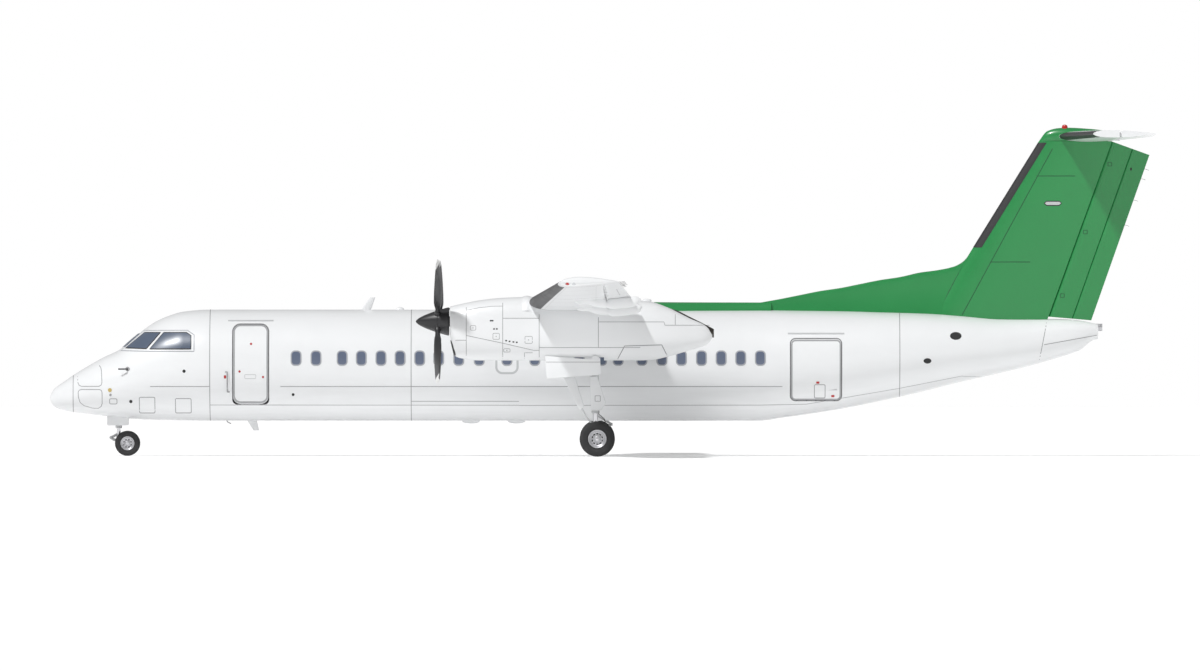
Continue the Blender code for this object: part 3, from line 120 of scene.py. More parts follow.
def weathering_group() -> bpy.types.ShaderNodeTree:
    """The shared node group for uneven paint, dust on low surfaces and fine grain.

    Returns:
        The group, with Colour, Roughness and Height outputs.
    """
    found = bpy.data.node_groups.get("Weathering")
    if found is not None:
        return found
    group = bpy.data.node_groups.new("Weathering", "ShaderNodeTree")
    face = group.interface
    face.new_socket("Colour", in_out="INPUT", socket_type="NodeSocketColor")
    for name, value in (("Roughness", 0.4), ("Mottle", 0.04), ("Mottle Scale", 1.4), ("Grime", 0.0),
                        ("Bump Scale", 60.0)):
        face.new_socket(name, in_out="INPUT", socket_type="NodeSocketFloat").default_value = value
    face.new_socket("Colour", in_out="OUTPUT", socket_type="NodeSocketColor")
    face.new_socket("Roughness", in_out="OUTPUT", socket_type="NodeSocketFloat")
    face.new_socket("Height", in_out="OUTPUT", socket_type="NodeSocketFloat")
    nodes, links = group.nodes, group.links
    given = nodes.new("NodeGroupInput")
    result = nodes.new("NodeGroupOutput")
    place = nodes.new("ShaderNodeTexCoord")

    def math_node(operation: str, first: bpy.types.NodeSocket | float, second: bpy.types.NodeSocket | float
                  ) -> bpy.types.NodeSocket:
        """A Math node fed by sockets or numbers.

        Args:
            operation: Name of the Math node's operation.
            first: A socket or a number.
            second: A socket or a number.

        Returns:
            The node's value.
        """
        node = nodes.new("ShaderNodeMath")
        node.operation = operation
        for index, value in enumerate((first, second)):
            if isinstance(value, (int, float)):
                node.inputs[index].default_value = value
            else:
                links.new(value, node.inputs[index])
        return node.outputs["Value"]

    patches = nodes.new("ShaderNodeTexNoise")
    patches.inputs["Detail"].default_value = 5.0
    links.new(place.outputs["Object"], patches.inputs["Vector"])
    links.new(given.outputs["Mottle Scale"], patches.inputs["Scale"])
    grain = nodes.new("ShaderNodeTexNoise")
    grain.inputs["Detail"].default_value = 2.0
    links.new(place.outputs["Object"], grain.inputs["Vector"])
    links.new(given.outputs["Bump Scale"], grain.inputs["Scale"])
    stretch = nodes.new("ShaderNodeMapping")
    stretch.inputs["Scale"].default_value = (0.35, 3.0, 3.0)
    links.new(place.outputs["Object"], stretch.inputs["Vector"])
    streaks = nodes.new("ShaderNodeTexNoise")
    streaks.inputs["Scale"].default_value = 2.2
    streaks.inputs["Detail"].default_value = 6.0
    links.new(stretch.outputs["Vector"], streaks.inputs["Vector"])

    uneven = math_node("SUBTRACT", patches.outputs["Fac"], 0.5)
    lift = math_node("ADD", math_node("MULTIPLY", uneven, given.outputs["Mottle"]), 1.0)
    split = nodes.new("ShaderNodeSeparateXYZ")
    links.new(place.outputs["Object"], split.inputs["Vector"])
    low = nodes.new("ShaderNodeMapRange")
    low.inputs["From Min"].default_value = 2.4
    low.inputs["From Max"].default_value = 0.5
    links.new(split.outputs["Z"], low.inputs["Value"])
    dust = math_node("MULTIPLY", low.outputs["Result"], streaks.outputs["Fac"])
    dirt = math_node("MULTIPLY", dust, given.outputs["Grime"])
    clean = math_node("SUBTRACT", 1.0, dirt)
    tone = math_node("MULTIPLY", lift, clean)
    shade = nodes.new("ShaderNodeVectorMath")
    shade.operation = "SCALE"
    links.new(given.outputs["Colour"], shade.inputs[0])
    links.new(tone, shade.inputs["Scale"])
    links.new(shade.outputs["Vector"], result.inputs["Colour"])
    rough = math_node("ADD", given.outputs["Roughness"], math_node("MULTIPLY", uneven, 0.18))
    links.new(math_node("ADD", rough, math_node("MULTIPLY", dirt, 0.3)), result.inputs["Roughness"])
    links.new(grain.outputs["Fac"], result.inputs["Height"])
    return group


class Finishes:
    """The airliner's finishes."""

    WHITE = Finish("white enamel", "white_paint", (0.80, 0.81, 0.82), 0.34, coat=0.35, grime=0.16)
    GREEN = Finish("green enamel", "green_paint", (0.014, 0.236, 0.058), 0.32, coat=0.35, mottle=0.10)
    BOOT = Finish("black de-icing rubber", "propeller_black", (0.022, 0.022, 0.024), 0.50, bump=0.15)
    PROPELLER = Finish("satin black propeller", "propeller_black", (0.020, 0.020, 0.022), 0.36, mottle=0.2)
    TIP_WHITE = Finish("white blade tip", "white_paint", (0.75, 0.75, 0.74), 0.45)
    WINDOW = Finish("cabin window", "windscreen_glass", (0.115, 0.140, 0.205), 0.22, coat=0.3, mottle=0.25)
    SCREEN = Finish("windscreen", "windscreen_glass", (0.080, 0.105, 0.155), 0.30, coat=0.15, mottle=0.25)
    RIM = Finish("grey window rim", "engine_metal", (0.34, 0.35, 0.38), 0.45)
    SEAM = Finish("panel seam", "engine_metal", (0.30, 0.30, 0.31), 0.60)
    FAINT_SEAM = Finish("faint panel seam", "engine_metal", (0.50, 0.51, 0.52), 0.55)
    SEAL = Finish("door seal", "engine_metal", (0.33, 0.335, 0.345), 0.60)
    GREEN_SEAM = Finish("seam in green paint", "green_paint", (0.008, 0.085, 0.030), 0.60)
    # Painted shade: a near-black that stands for the shade inside vents, slots, holes, wheel hubs and the
    # intake's throat.
    DARK = Finish("dark cavity", "heat_blackened_metal", (0.018, 0.018, 0.019), 0.70)
    BURNT = Finish("heat-stained exhaust", "heat_blackened_metal", (0.045, 0.040, 0.036), 0.48, metallic=0.5,
                   mottle=0.7, mottle_scale=7.0)
    GEAR = Finish("gear enamel", "gear_metal", (0.62, 0.63, 0.64), 0.40, grime=0.30, mottle=0.10,
                  mottle_scale=9.0)
    STEEL = Finish("bright steel", "gear_metal", (0.66, 0.66, 0.68), 0.16, metallic=1.0, mottle=0.08)
    ALLOY = Finish("cast alloy", "wheel_metal", (0.58, 0.58, 0.60), 0.36, metallic=0.7, mottle=0.12,
                   mottle_scale=14.0, bump=0.12)
    RUBBER = Finish("tyre rubber", "tyre_rubber", (0.026, 0.026, 0.027), 0.82, mottle=0.35, mottle_scale=11.0,
                    bump=0.25, bump_scale=140.0)
    HOSE = Finish("black hose", "tyre_rubber", (0.020, 0.020, 0.021), 0.55)
    RED = Finish("red mark", "engine_metal", (0.42, 0.020, 0.020), 0.45)
    RED_LENS = Finish("red lens", "windscreen_glass", (0.50, 0.012, 0.010), 0.12, coat=1.0)
    CLEAR_LENS = Finish("clear lens", "windscreen_glass", (0.62, 0.64, 0.66), 0.10, coat=1.0)
    GOLD = Finish("bare brass sensor", "gear_metal", (0.55, 0.42, 0.16), 0.28, metallic=0.9)
    LINING = Finish("cabin lining", "white_paint", (0.62, 0.61, 0.58), 0.70)
    CARPET = Finish("carpet", "tyre_rubber", (0.055, 0.062, 0.075), 0.95, mottle=0.5, mottle_scale=30.0,
                    bump=0.6,
                    bump_scale=400.0)
    TREAD = Finish("stair tread", "engine_metal", (0.20, 0.20, 0.21), 0.80, bump=0.5, bump_scale=200.0)


def monotone(xs: Sequence[float], ys: Sequence[float]) -> Callable[[float], float]:
    """A smooth curve through points that never overshoots them.

    Args:
        xs: Rising places.
        ys: Values at those places.

    Returns:
        The curve as a function.
    """
    steps = [b - a for a, b in zip(xs, xs[1:])]
    rises = [(b - a) / step for a, b, step in zip(ys, ys[1:], steps)]
    slopes = [rises[0]]
    for index in range(1, len(rises)):
        before, after = rises[index - 1], rises[index]
        if before * after <= 0.0:
            slopes.append(0.0)
        else:
            heavy = 2.0 * steps[index] + steps[index - 1]
            light = steps[index] + 2.0 * steps[index - 1]
            slopes.append((heavy + light) / (heavy / before + light / after))
    slopes.append(rises[-1])

    def value(x: float) -> float:
        """The curve's value at a place."""
        if x <= xs[0]:
            return ys[0]
        if x >= xs[-1]:
            return ys[-1]
        index = max(i for i in range(len(xs) - 1) if xs[i] <= x)
        width = steps[index]
        t = (x - xs[index]) / width
        return (ys[index] * (1 + 2 * t) * (1 - t) ** 2 + slopes[index] * width * t * (1 - t) ** 2
                + ys[index + 1] * t * t * (3 - 2 * t) + slopes[index + 1] * width * t * t * (t - 1))

    return value


def spread(start: float, end: float, count: int) -> list[float]:
    """Evenly spaced values, both ends included."""
    return [start + (end - start) * index / (count - 1) for index in range(count)]


def finish_piece(name: str, bm: bmesh.types.BMesh, finish: Finish, angle: float = 35.0) -> bpy.types.Object:
    """Turn a bmesh into a smooth piece with one finish.

    Args:
        name: The piece's name.
        bm: Its mesh in world coordinates, which is freed.
        finish: What it is made of.
        angle: Edges sharper than this many degrees stay sharp.

    Returns:
        The new object, at the origin.
    """
    bmesh.ops.recalc_face_normals(bm, faces=bm.faces)
    mesh = bpy.data.meshes.new(name)
    bm.to_mesh(mesh)
    bm.free()
    mesh.shade_smooth()
    mesh.set_sharp_from_angle(angle=math.radians(angle))
    mesh.materials.append(finish.material())
    piece = bpy.data.objects.new(name, mesh)
    bpy.context.scene.collection.objects.link(piece)
    return piece


def add_skin(bm: bmesh.types.BMesh, rings: Sequence[Ring], capped: bool = True, looped: bool = False) -> None:
    """Add a skin over closed rings of equal length to a bmesh.

    Args:
        bm: The mesh that takes it.
        rings: Closed rings of equal length, in order.
        capped: Whether flat faces close both ends.
        looped: Whether the last ring joins the first.
    """
    rows = [[bm.verts.new(point) for point in ring] for ring in rings]
    pairs = list(zip(rows, rows[1:]))
    if looped:
        pairs.append((rows[-1], rows[0]))
    for row, following in pairs:
        for index in range(len(row)):
            after = (index + 1) % len(row)
            bm.faces.new((row[index], row[after], following[after], following[index]))
    if capped and not looped:
        bm.faces.new(rows[0][::-1])
        bm.faces.new(rows[-1])


def skin(name: str, rings: Sequence[Ring], finish: Finish, angle: float = 35.0, looped: bool = False
         ) -> bpy.types.Object:
    """A piece skinned over closed rings, with flat ends unless it is looped.

    Args:
        name: The piece's name.
        rings: Closed rings of equal length, in order.
        finish: What it is made of.
        angle: Edges sharper than this many degrees stay sharp.
        looped: Whether the last ring joins the first.

    Returns:
        The new object, at the origin.
    """
    bm = bmesh.new()
    add_skin(bm, rings, looped=looped)
    return finish_piece(name, bm, finish, angle)


def cut(piece: bpy.types.Object, *tools: bpy.types.Object) -> None:
    """Cut closed tools out of a piece and delete them.

    Args:
        piece: What is cut.
        tools: Closed objects to take away.
    """
    for tool in tools:
        modifier = piece.modifiers.new("cut", "BOOLEAN")
        modifier.operation = "DIFFERENCE"
        modifier.solver = "EXACT"
        modifier.object = tool
    settle(piece)
    for tool in tools:
        bpy.data.objects.remove(tool)


def settle(piece: bpy.types.Object) -> None:
    """Replace a piece's mesh by the mesh its modifiers give.

    Args:
        piece: An object with modifiers, which are removed.
    """
    view = bpy.context.evaluated_depsgraph_get()
    mesh = bpy.data.meshes.new_from_object(piece.evaluated_get(view))
    piece.modifiers.clear()
    piece.data = mesh
    mesh.set_sharp_from_angle(angle=math.radians(35.0))


def dress(piece: bpy.types.Object, body: str, finish: Finish, *nodes: str) -> bpy.types.Object:
    """Fasten a piece to a body and hide the CAD nodes it stands for.

    Args:
        piece: The finished piece.
        body: The body that carries it.
        finish: Not used.
        nodes: CAD nodes that the piece stands for.

    Returns:
        The same piece.
    """
    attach(piece, body)
    if nodes:
        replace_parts(piece, *nodes)
    LOG.info("%s rides on %s", piece.name, body)
    return piece


def frame_of(axis: Vector, hint: Vector) -> tuple[Vector, Vector, Vector]:
    """Three unit vectors: the axis, one square to it nearest to the hint, and their cross product.

    Args:
        axis: The first direction, of any length.
        hint: Rough second direction.

    Returns:
        The axis, the second direction and their cross product.
    """
    axis = axis.normalized()
    first = (hint - axis * hint.dot(axis)).normalized()
    return axis, first, axis.cross(first)


def circle(centre: Vector, axis: Vector, radius: float, sides: int) -> Ring:
    """A round ring about an axis.

    Args:
        centre: Middle of the ring.
        axis: Direction it faces.
        radius: Its radius.
        sides: How many corners it has.

    Returns:
        The ring's corners.
    """
    hint = Vector((0.0, 0.0, 1.0)) if abs(axis.normalized().z) < 0.9 else Vector((1.0, 0.0, 0.0))
    _, first, second = frame_of(axis, hint)
    turns = [math.tau * index / sides for index in range(sides)]
    return [centre + radius * (first * math.cos(a) + second * math.sin(a)) for a in turns]


def add_turned(bm: bmesh.types.BMesh, profile: Sequence[tuple[float, float]], centre: Vector, axis: Vector,
               sides: int, looped: bool = False) -> None:
    """Add a turned solid to a bmesh. The profile holds (distance along the axis, radius) pairs.

    Args:
        bm: The mesh that takes it.
        profile: Distance along the axis and radius of each step.
        centre: Where the distance is zero.
        axis: Direction of the axis.
        sides: How many sides a turn has.
        looped: Whether the profile closes on itself.
    """
    axis = axis.normalized()
    rings = [circle(centre + axis * along, axis, radius, sides) for along, radius in profile]
    add_skin(bm, rings, looped=looped)


def turned(name: str, profile: Sequence[tuple[float, float]], centre: Vector, axis: Vector, finish: Finish,
           sides: int = 48, looped: bool = False, angle: float = 32.0) -> bpy.types.Object:
    """A turned piece.

    Args:
        name: The piece's name.
        profile: Distance along the axis and radius of each step.
        centre: Where the distance is zero.
        axis: Direction of the axis.
        finish: What it is made of.
        sides: How many sides a turn has.
        looped: Whether the profile closes on itself.
        angle: Edges sharper than this many degrees stay sharp.

    Returns:
        The new object, at the origin.
    """
    bm = bmesh.new()
    add_turned(bm, profile, centre, axis, sides, looped)
    return finish_piece(name, bm, finish, angle)


def add_tube(bm: bmesh.types.BMesh, path: Sequence[Vector], radius: float, sides: int = 12) -> None:
    """Add a round bar along a path to a bmesh.

    Args:
        bm: The mesh that takes it.
        path: The bar's middle line.
        radius: The bar's radius.
        sides: How many sides it has.
    """
    rings = []
    for index, point in enumerate(path):
        before = path[max(index - 1, 0)]
        after = path[min(index + 1, len(path) - 1)]
        rings.append(circle(point, after - before, radius, sides))
    add_skin(bm, rings)


def add_box(bm: bmesh.types.BMesh, low: Sequence[float], high: Sequence[float],
            round_off: float = 0.0) -> None:
    """Add a box, with its edges rounded off, to a bmesh.

    Args:
        bm: The mesh that takes it.
        low: Its lowest corner.
        high: Its highest corner.
        round_off: How far its edges are rounded.
    """
    made = bmesh.ops.create_cube(bm, size=1.0)["verts"]
    low, high = Vector(low), Vector(high)
    bmesh.ops.scale(bm, vec=high - low, verts=made)
    bmesh.ops.translate(bm, vec=(low + high) / 2.0, verts=made)
    if round_off > 0.0:
        edges = list({edge for vert in made for edge in vert.link_edges})
        bmesh.ops.bevel(bm, geom=edges, offset=round_off, segments=2, affect="EDGES", profile=0.5)


def add_prism(bm: bmesh.types.BMesh, outline: Outline, y_low: float, y_high: float) -> None:
    """Add an (x, z) outline run along Y to a bmesh."""
    add_skin(bm, [[Vector((x, y, z)) for x, z in outline] for y in (y_low, y_high)])


def rounded(x_range: tuple[float, float], z_range: tuple[float, float], radius: float,
            steps: int = 8) -> Outline:
    """Outline of a rectangle with round corners.

    Args:
        x_range: Its ends along the first number.
        z_range: Its ends along the second.
        radius: Radius of its corners.
        steps: Steps in each corner.

    Returns:
        The outline, from the upper corner at the high end.
    """
    (x_low, x_high), (z_low, z_high) = x_range, z_range
    points = []
    corners = ((x_high, z_high), (x_low, z_high), (x_low, z_low), (x_high, z_low))
    for quarter, (x, z) in enumerate(corners):
        centre_x = x - math.copysign(radius, x - (x_low + x_high) / 2.0)
        centre_z = z - math.copysign(radius, z - (z_low + z_high) / 2.0)
        for step in range(steps + 1):
            turn = math.pi / 2.0 * (quarter + step / steps)
            points.append((centre_x + radius * math.cos(turn), centre_z + radius * math.sin(turn)))
    return points


def dense(points: Sequence[tuple[float, float]], step: float) -> Outline:
    """Add points so that none lie further apart than a step.

    Args:
        points: Corners of a line.
        step: Longest straight run.

    Returns:
        The line with its added points.
    """
    result = [points[0]]
    for (x0, z0), (x1, z1) in zip(points, points[1:]):
        count = max(1, math.ceil(math.hypot(x1 - x0, z1 - z0) / step))
        result += [(x0 + (x1 - x0) * i / count, z0 + (z1 - z0) * i / count) for i in range(1, count + 1)]
    return result


Surface = Callable[[float, float], Vector]


def normal_at(surface: Surface, u: float, v: float, outward: Vector) -> Vector:
    """Unit normal of a surface, turned to the side of a rough outward direction.

    Args:
        surface: Point of the surface for two numbers.
        u: First number.
        v: Second number.
        outward: Rough direction out of the surface.

    Returns:
        The unit normal.
    """
    step = 0.004
    along = surface(u + step, v) - surface(u - step, v)
    across = surface(u, v + step) - surface(u, v - step)
    normal = along.cross(across).normalized()
    return normal if normal.dot(outward) > 0.0 else -normal


def add_ribbon(bm: bmesh.types.BMesh, surface: Surface, line: Sequence[tuple[float, float]], width: float,
               outward: Vector, lift: float = 0.0015, step: float = 0.12) -> None:
    """Add a thin flat strip that lies on a surface along a line to a bmesh.

    Args:
        bm: The mesh that takes it.
        surface: Point of the surface for two numbers.
        line: The line's corners, in the surface's two numbers.
        width: How wide the strip is.
        outward: Rough direction out of the surface.
        lift: How far it stands proud.
        step: Longest straight run.
    """
    places = dense(line, step)
    points = [surface(u, v) for u, v in places]
    rings = []
    for index, (u, v) in enumerate(places):
        normal = normal_at(surface, u, v, outward)
        before = points[max(index - 1, 0)]
        after = points[min(index + 1, len(points) - 1)]
        across = (after - before).cross(normal).normalized() * (width / 2.0)
        top, base = points[index] + normal * lift, points[index] - normal * 0.004
        rings.append([top - across, top + across, base + across, base - across])
    add_skin(bm, rings)


def add_patch(bm: bmesh.types.BMesh, surface: Surface, outline: Outline, outward: Vector, lift: float,
              sink: float = 0.004, rings: int = 4) -> None:
    """Add a thin closed plate that follows a surface inside an outline to a bmesh.

    Args:
        bm: The mesh that takes it.
        surface: Point of the surface for two numbers.
        outline: Its outline, in the surface's two numbers.
        outward: Rough direction out of the surface.
        lift: How far it stands proud.
        sink: How far it reaches below the surface.
        rings: Rings of faces inside the outline.
    """
    middle = (sum(u for u, _ in outline) / len(outline), sum(v for _, v in outline) / len(outline))
    shells = []
    for share in [index / rings for index in range(rings, 0, -1)]:
        ring = [(middle[0] + (u - middle[0]) * share, middle[1] + (v - middle[1]) * share)
                for u, v in outline]
        shells.append(ring)
    for sign in (1.0, -1.0):
        offset = lift if sign > 0 else -sink
        rows = []
        for ring in shells:
            row = []
            for u, v in ring:
                row.append(bm.verts.new(surface(u, v) + normal_at(surface, u, v, outward) * offset))
            rows.append(row)
        centre = bm.verts.new(surface(*middle) + normal_at(surface, *middle, outward) * offset)
        for row, following in zip(rows, rows[1:]):
            for index in range(len(row)):
                after = (index + 1) % len(row)
                bm.faces.new((row[index], row[after], following[after], following[index]))
        for index in range(len(rows[-1])):
            bm.faces.new((rows[-1][index], rows[-1][(index + 1) % len(rows[-1])], centre))
        if sign > 0:
            outer = rows[0]
        else:
            for index in range(len(outer)):
                after = (index + 1) % len(outer)
                bm.faces.new((outer[index], outer[after], rows[0][after], rows[0][index]))


def add_band(bm: bmesh.types.BMesh, surface: Surface, outline: Outline, width: float, outward: Vector,
             lift: float, sink: float = 0.004) -> None:
    """Add a closed raised band round an outline on a surface to a bmesh.

    Args:
        bm: The mesh that takes it.
        surface: Point of the surface for two numbers.
        outline: Its outline, in the surface's two numbers.
        width: How wide the band is.
        outward: Rough direction out of the surface.
        lift: How far it stands proud.
        sink: How far it reaches below the surface.
    """
    middle = (sum(u for u, _ in outline) / len(outline), sum(v for _, v in outline) / len(outline))
    rings = []
    count = len(outline)
    for index in range(count):
        u, v = outline[index]
        (u0, v0), (u1, v1) = outline[index - 1], outline[(index + 1) % count]
        along = Vector((u1 - u0, v1 - v0)).normalized()
        out = Vector((along.y, -along.x))
        if out.dot(Vector((u - middle[0], v - middle[1]))) < 0.0:
            out = -out
        ring = []
        for offset, height in ((width / 2, -sink), (width / 2, lift * 0.6), (width * 0.3, lift),
                               (-width * 0.3, lift), (-width / 2, lift * 0.6), (-width / 2, -sink)):
            place = (u + out.x * offset, v + out.y * offset)
            ring.append(surface(*place) + normal_at(surface, *place, outward) * height)
        rings.append(ring)
    add_skin(bm, rings, looped=True)


class PieceSet:
    """Meshes that gather many small forms of one body, one mesh for each finish."""

    def __init__(self, name: str, body: str) -> None:
        """Start with nothing, for one body.

        Args:
            name: First part of the pieces' names.
            body: The body that carries them.
        """
        self.name = name
        self.body = body
        self.meshes: dict[Finish, bmesh.types.BMesh] = {}

    def __getitem__(self, finish: Finish) -> bmesh.types.BMesh:
        """The mesh that takes the forms of a finish."""
        if finish not in self.meshes:
            self.meshes[finish] = bmesh.new()
        return self.meshes[finish]

    def build(self, angle: float = 35.0) -> None:
        """Make a piece of each mesh and fasten it."""
        for finish, bm in self.meshes.items():
            piece = finish_piece(f"{self.name}_{finish.name.replace(' ', '_')}", bm, finish, angle)
            dress(piece, self.body, finish)


class Studio:
    """Pale floor, soft light and the camera at the drawing's side view."""

    METRES_PER_PIXEL = 0.023282
    IMAGE_WIDTH = 1200
    LENS = 800.0
    SENSOR = 36.0
    CENTRE = Vector((-0.035, 0.0, 2.8125))

    def build(self) -> None:
        """Make the floor, lights and camera."""
        self.make_camera()
        self.make_floor()
        self.make_lights()

    def make_camera(self) -> None:
        """A very long lens from the port side, level with the image's middle."""
        data = bpy.data.cameras.new("side_camera")
        data.lens = self.LENS
        data.sensor_width = self.SENSOR
        data.sensor_fit = "HORIZONTAL"
        data.clip_start = 10.0
        data.clip_end = 4000.0
        camera = bpy.data.objects.new("side_camera", data)
        distance = self.METRES_PER_PIXEL * self.IMAGE_WIDTH * self.LENS / self.SENSOR
        camera.location = self.CENTRE + Vector((0.0, -distance, 0.0))
        camera.rotation_euler = (math.pi / 2.0, 0.0, 0.0)
        bpy.context.scene.collection.objects.link(camera)
        bpy.context.scene.camera = camera

    def make_floor(self) -> None:
        """A large pale disc under the wheels."""
        bm = bmesh.new()
        bmesh.ops.create_circle(bm, cap_ends=True, radius=420.0, segments=128)
        mesh = bpy.data.meshes.new("floor")
        bm.to_mesh(mesh)
        bm.free()
        material = bpy.data.materials.new("pale floor")
        material.use_nodes = True
        shader = material.node_tree.nodes["Principled BSDF"]
        shader.inputs["Base Color"].default_value = (0.94, 0.94, 0.94, 1.0)
        shader.inputs["Roughness"].default_value = 0.9
        shader.inputs["Emission Color"].default_value = (1.0, 1.0, 1.0, 1.0)
        shader.inputs["Emission Strength"].default_value = 0.17
        mesh.materials.append(material)
        floor = bpy.data.objects.new("floor", mesh)
        floor.location.z = -0.001
        bpy.context.scene.collection.objects.link(floor)

    def make_lights(self) -> None:
        """A sky that is white at the horizon, and one key light from above, ahead and to port."""
        world = bpy.data.worlds.new("studio")
        world.use_nodes = True
        sky = world.node_tree.nodes["Background"]
        sky.inputs["Color"].default_value = (1.0, 1.0, 1.0, 1.0)
        nodes, links = world.node_tree.nodes, world.node_tree.links
        direction, height, fade = (nodes.new(f"ShaderNode{kind}")
                                   for kind in ("TexCoord", "SeparateXYZ", "MapRange"))
        fade.interpolation_type = "SMOOTHSTEP"
        for socket, value in (("From Min", 0.02), ("From Max", 0.30), ("To Min", 1.0), ("To Max", 0.30)):
            fade.inputs[socket].default_value = value
        links.new(direction.outputs["Generated"], height.inputs["Vector"])
        links.new(height.outputs["Z"], fade.inputs["Value"])
        links.new(fade.outputs["Result"], sky.inputs["Strength"])
        bpy.context.scene.world = world
        data = bpy.data.lights.new("key", "SUN")
        data.energy = 2.5
        data.angle = math.radians(4.0)
        key = bpy.data.objects.new("key", data)
        key.rotation_euler = Vector((0.50, 0.55, -1.0)).to_track_quat("-Z", "Y").to_euler()
        bpy.context.scene.collection.objects.link(key)
        bpy.context.scene.view_settings.view_transform = "Standard"


@dataclass(frozen=True)
class HullFrames:
    """The hull's lines: station, crown, keel and half width."""

    rows: tuple[tuple[float, float, float, float], ...] = (
        (-12.840, 1.362, 1.330, 0.016),
        (-12.810, 1.455, 1.245, 0.100),
        (-12.747, 1.555, 1.160, 0.195),
        (-12.560, 1.695, 1.066, 0.345),
        (-12.293, 1.880, 1.016, 0.490),
        (-11.955, 2.091, 0.973, 0.650),
        (-11.583, 2.300, 0.927, 0.805),
        (-11.210, 2.480, 0.890, 0.945),
        (-11.024, 2.645, 0.870, 1.005),
        (-10.838, 2.800, 0.856, 1.060),
        (-10.651, 2.945, 0.845, 1.110),
        (-10.372, 3.130, 0.836, 1.175),
        (-10.093, 3.255, 0.830, 1.230),
        (-9.720, 3.360, 0.822, 1.290),
        (-9.103, 3.406, 0.817, 1.345),
        (3.690, 3.390, 0.817, 1.345),
        (3.950, 3.387, 0.845, 1.344),
        (4.156, 3.385, 0.880, 1.343),
        (4.621, 3.380, 0.945, 1.338),
        (5.553, 3.370, 1.090, 1.310),
        (6.484, 3.345, 1.276, 1.235),
        (7.415, 3.320, 1.485, 1.110),
        (8.346, 3.270, 1.718, 0.940),
        (9.278, 3.200, 1.928, 0.745),
        (10.209, 3.188, 2.161, 0.535),
        (10.675, 3.185, 2.300, 0.430),
        (11.140, 3.150, 2.463, 0.320),
        (11.466, 3.085, 2.700, 0.200),
        (11.560, 3.060, 2.715, 0.170),
    )
    sides: int = 96

    def curves(self) -> tuple[Callable[[float], float], ...]:
        """Smooth crown, keel and half width, rounded off at the nose."""
        roots = [self.root(row[0]) for row in self.rows]
        return tuple(monotone(roots, [row[column] for row in self.rows]) for column in (1, 2, 3))

    def root(self, x: float) -> float:
        """Square root of the distance from the nose, which keeps the nose round."""
        return math.sqrt(max(0.0, x - self.rows[0][0]))


HULL = HullFrames()
CROWN_CURVE, KEEL_CURVE, HALF_CURVE = HULL.curves()


def hull_values(x: float) -> tuple[float, float, float]:
    """Middle height, half height and half width of the hull at a station.

    Args:
        x: The station.

    Returns:
        Middle height, half height and half width.
    """
    root = HULL.root(x)
    crown, keel = CROWN_CURVE(root), KEEL_CURVE(root)
    return (crown + keel) / 2.0, (crown - keel) / 2.0, HALF_CURVE(root)


def hull_point(x: float, angle: float, grow: float = 0.0) -> Vector:
    """A point of the hull's frame at a station, by its angle from starboard through the crown."""
    middle, height, half = hull_values(x)
    return Vector((x, (half + grow) * math.cos(angle), middle + (height + grow) * math.sin(angle)))


def hull_side(x: float, z: float, inset: float = 0.0) -> float:
    """Half width of the hull at a station and height.

    Args:
        x: The station.
        z: The height.
        inset: How far inside the skin it is taken.

    Returns:
        The half width, or zero above the crown and below the keel.
    """
    middle, height, half = hull_values(x)
    share = (z - middle) / (height - inset)
    return (half - inset) * math.sqrt(max(0.0, 1.0 - share * share))


def hull_flank(side: Side) -> Surface:
    """One flank of the hull as a surface of x and z."""
    return lambda x, z: Vector((x, side.sign * hull_side(x, z), z))


def hull_wrap(side: Side) -> Surface:
    """One half of the hull as a surface of x and the angle from the flank up to the crown."""
    def point(x: float, angle: float) -> Vector:
        """Point at a station and angle."""
        place = hull_point(x, angle)
        place.y *= side.sign
        return place

    return point


def flank_angle(x: float, z: float) -> float:
    """The wrap angle of a side-view point."""
    middle, height, _ = hull_values(x)
    return math.asin(max(-1.0, min(1.0, (z - middle) / height)))


def hull_rings(start: float, end: float, step: float, grow: float = 0.0) -> list[Ring]:
    """Frames of the hull between two stations, closer together at the nose.

    Args:
        start: First station.
        end: Last station.
        step: Longest step between frames.
        grow: How far outside the skin they lie.

    Returns:
        The frames, from front to rear.
    """
    stations = [start]
    while stations[-1] < end - 1e-6:
        from_nose = stations[-1] - HULL.rows[0][0]
        stations.append(min(end, stations[-1] + min(step, 0.004 + 0.12 * from_nose)))
    turns = [math.tau * index / HULL.sides for index in range(HULL.sides)]
    return [[hull_point(x, turn, grow) for turn in turns] for x in stations]


def keep_inside(piece: bpy.types.Object, tool: bpy.types.Object) -> None:
    """Keep only what lies inside a closed tool, and delete the tool.

    Args:
        piece: What is kept in part.
        tool: The closed tool.
    """
    modifier = piece.modifiers.new("keep", "BOOLEAN")
    modifier.operation = "INTERSECT"
    modifier.solver = "EXACT"
    modifier.object = tool
    settle(piece)
    bpy.data.objects.remove(tool)


def prism(outline: Outline, y_low: float, y_high: float) -> bpy.types.Object:
    """A cutting tool: an (x, z) outline run along Y.

    Args:
        outline: Its (x, z) outline.
        y_low: Its port end.
        y_high: Its starboard end.

    Returns:
        The closed tool.
    """
    bm = bmesh.new()
    add_prism(bm, outline, y_low, y_high)
    return finish_piece("tool", bm, Finishes.WHITE)


def photo_x(pixel: float) -> float:
    """Station of a column of the drawing."""
    return (pixel - 601.5) * Studio.METRES_PER_PIXEL


def photo_z(pixel: float) -> float:
    """Height of a row of the drawing."""
    return (455.8 - pixel) * Studio.METRES_PER_PIXEL


def side_view(*pixels: tuple[float, float]) -> Outline:
    """Stations and heights of points of the drawing."""
    return [(photo_x(px), photo_z(py)) for px, py in pixels]


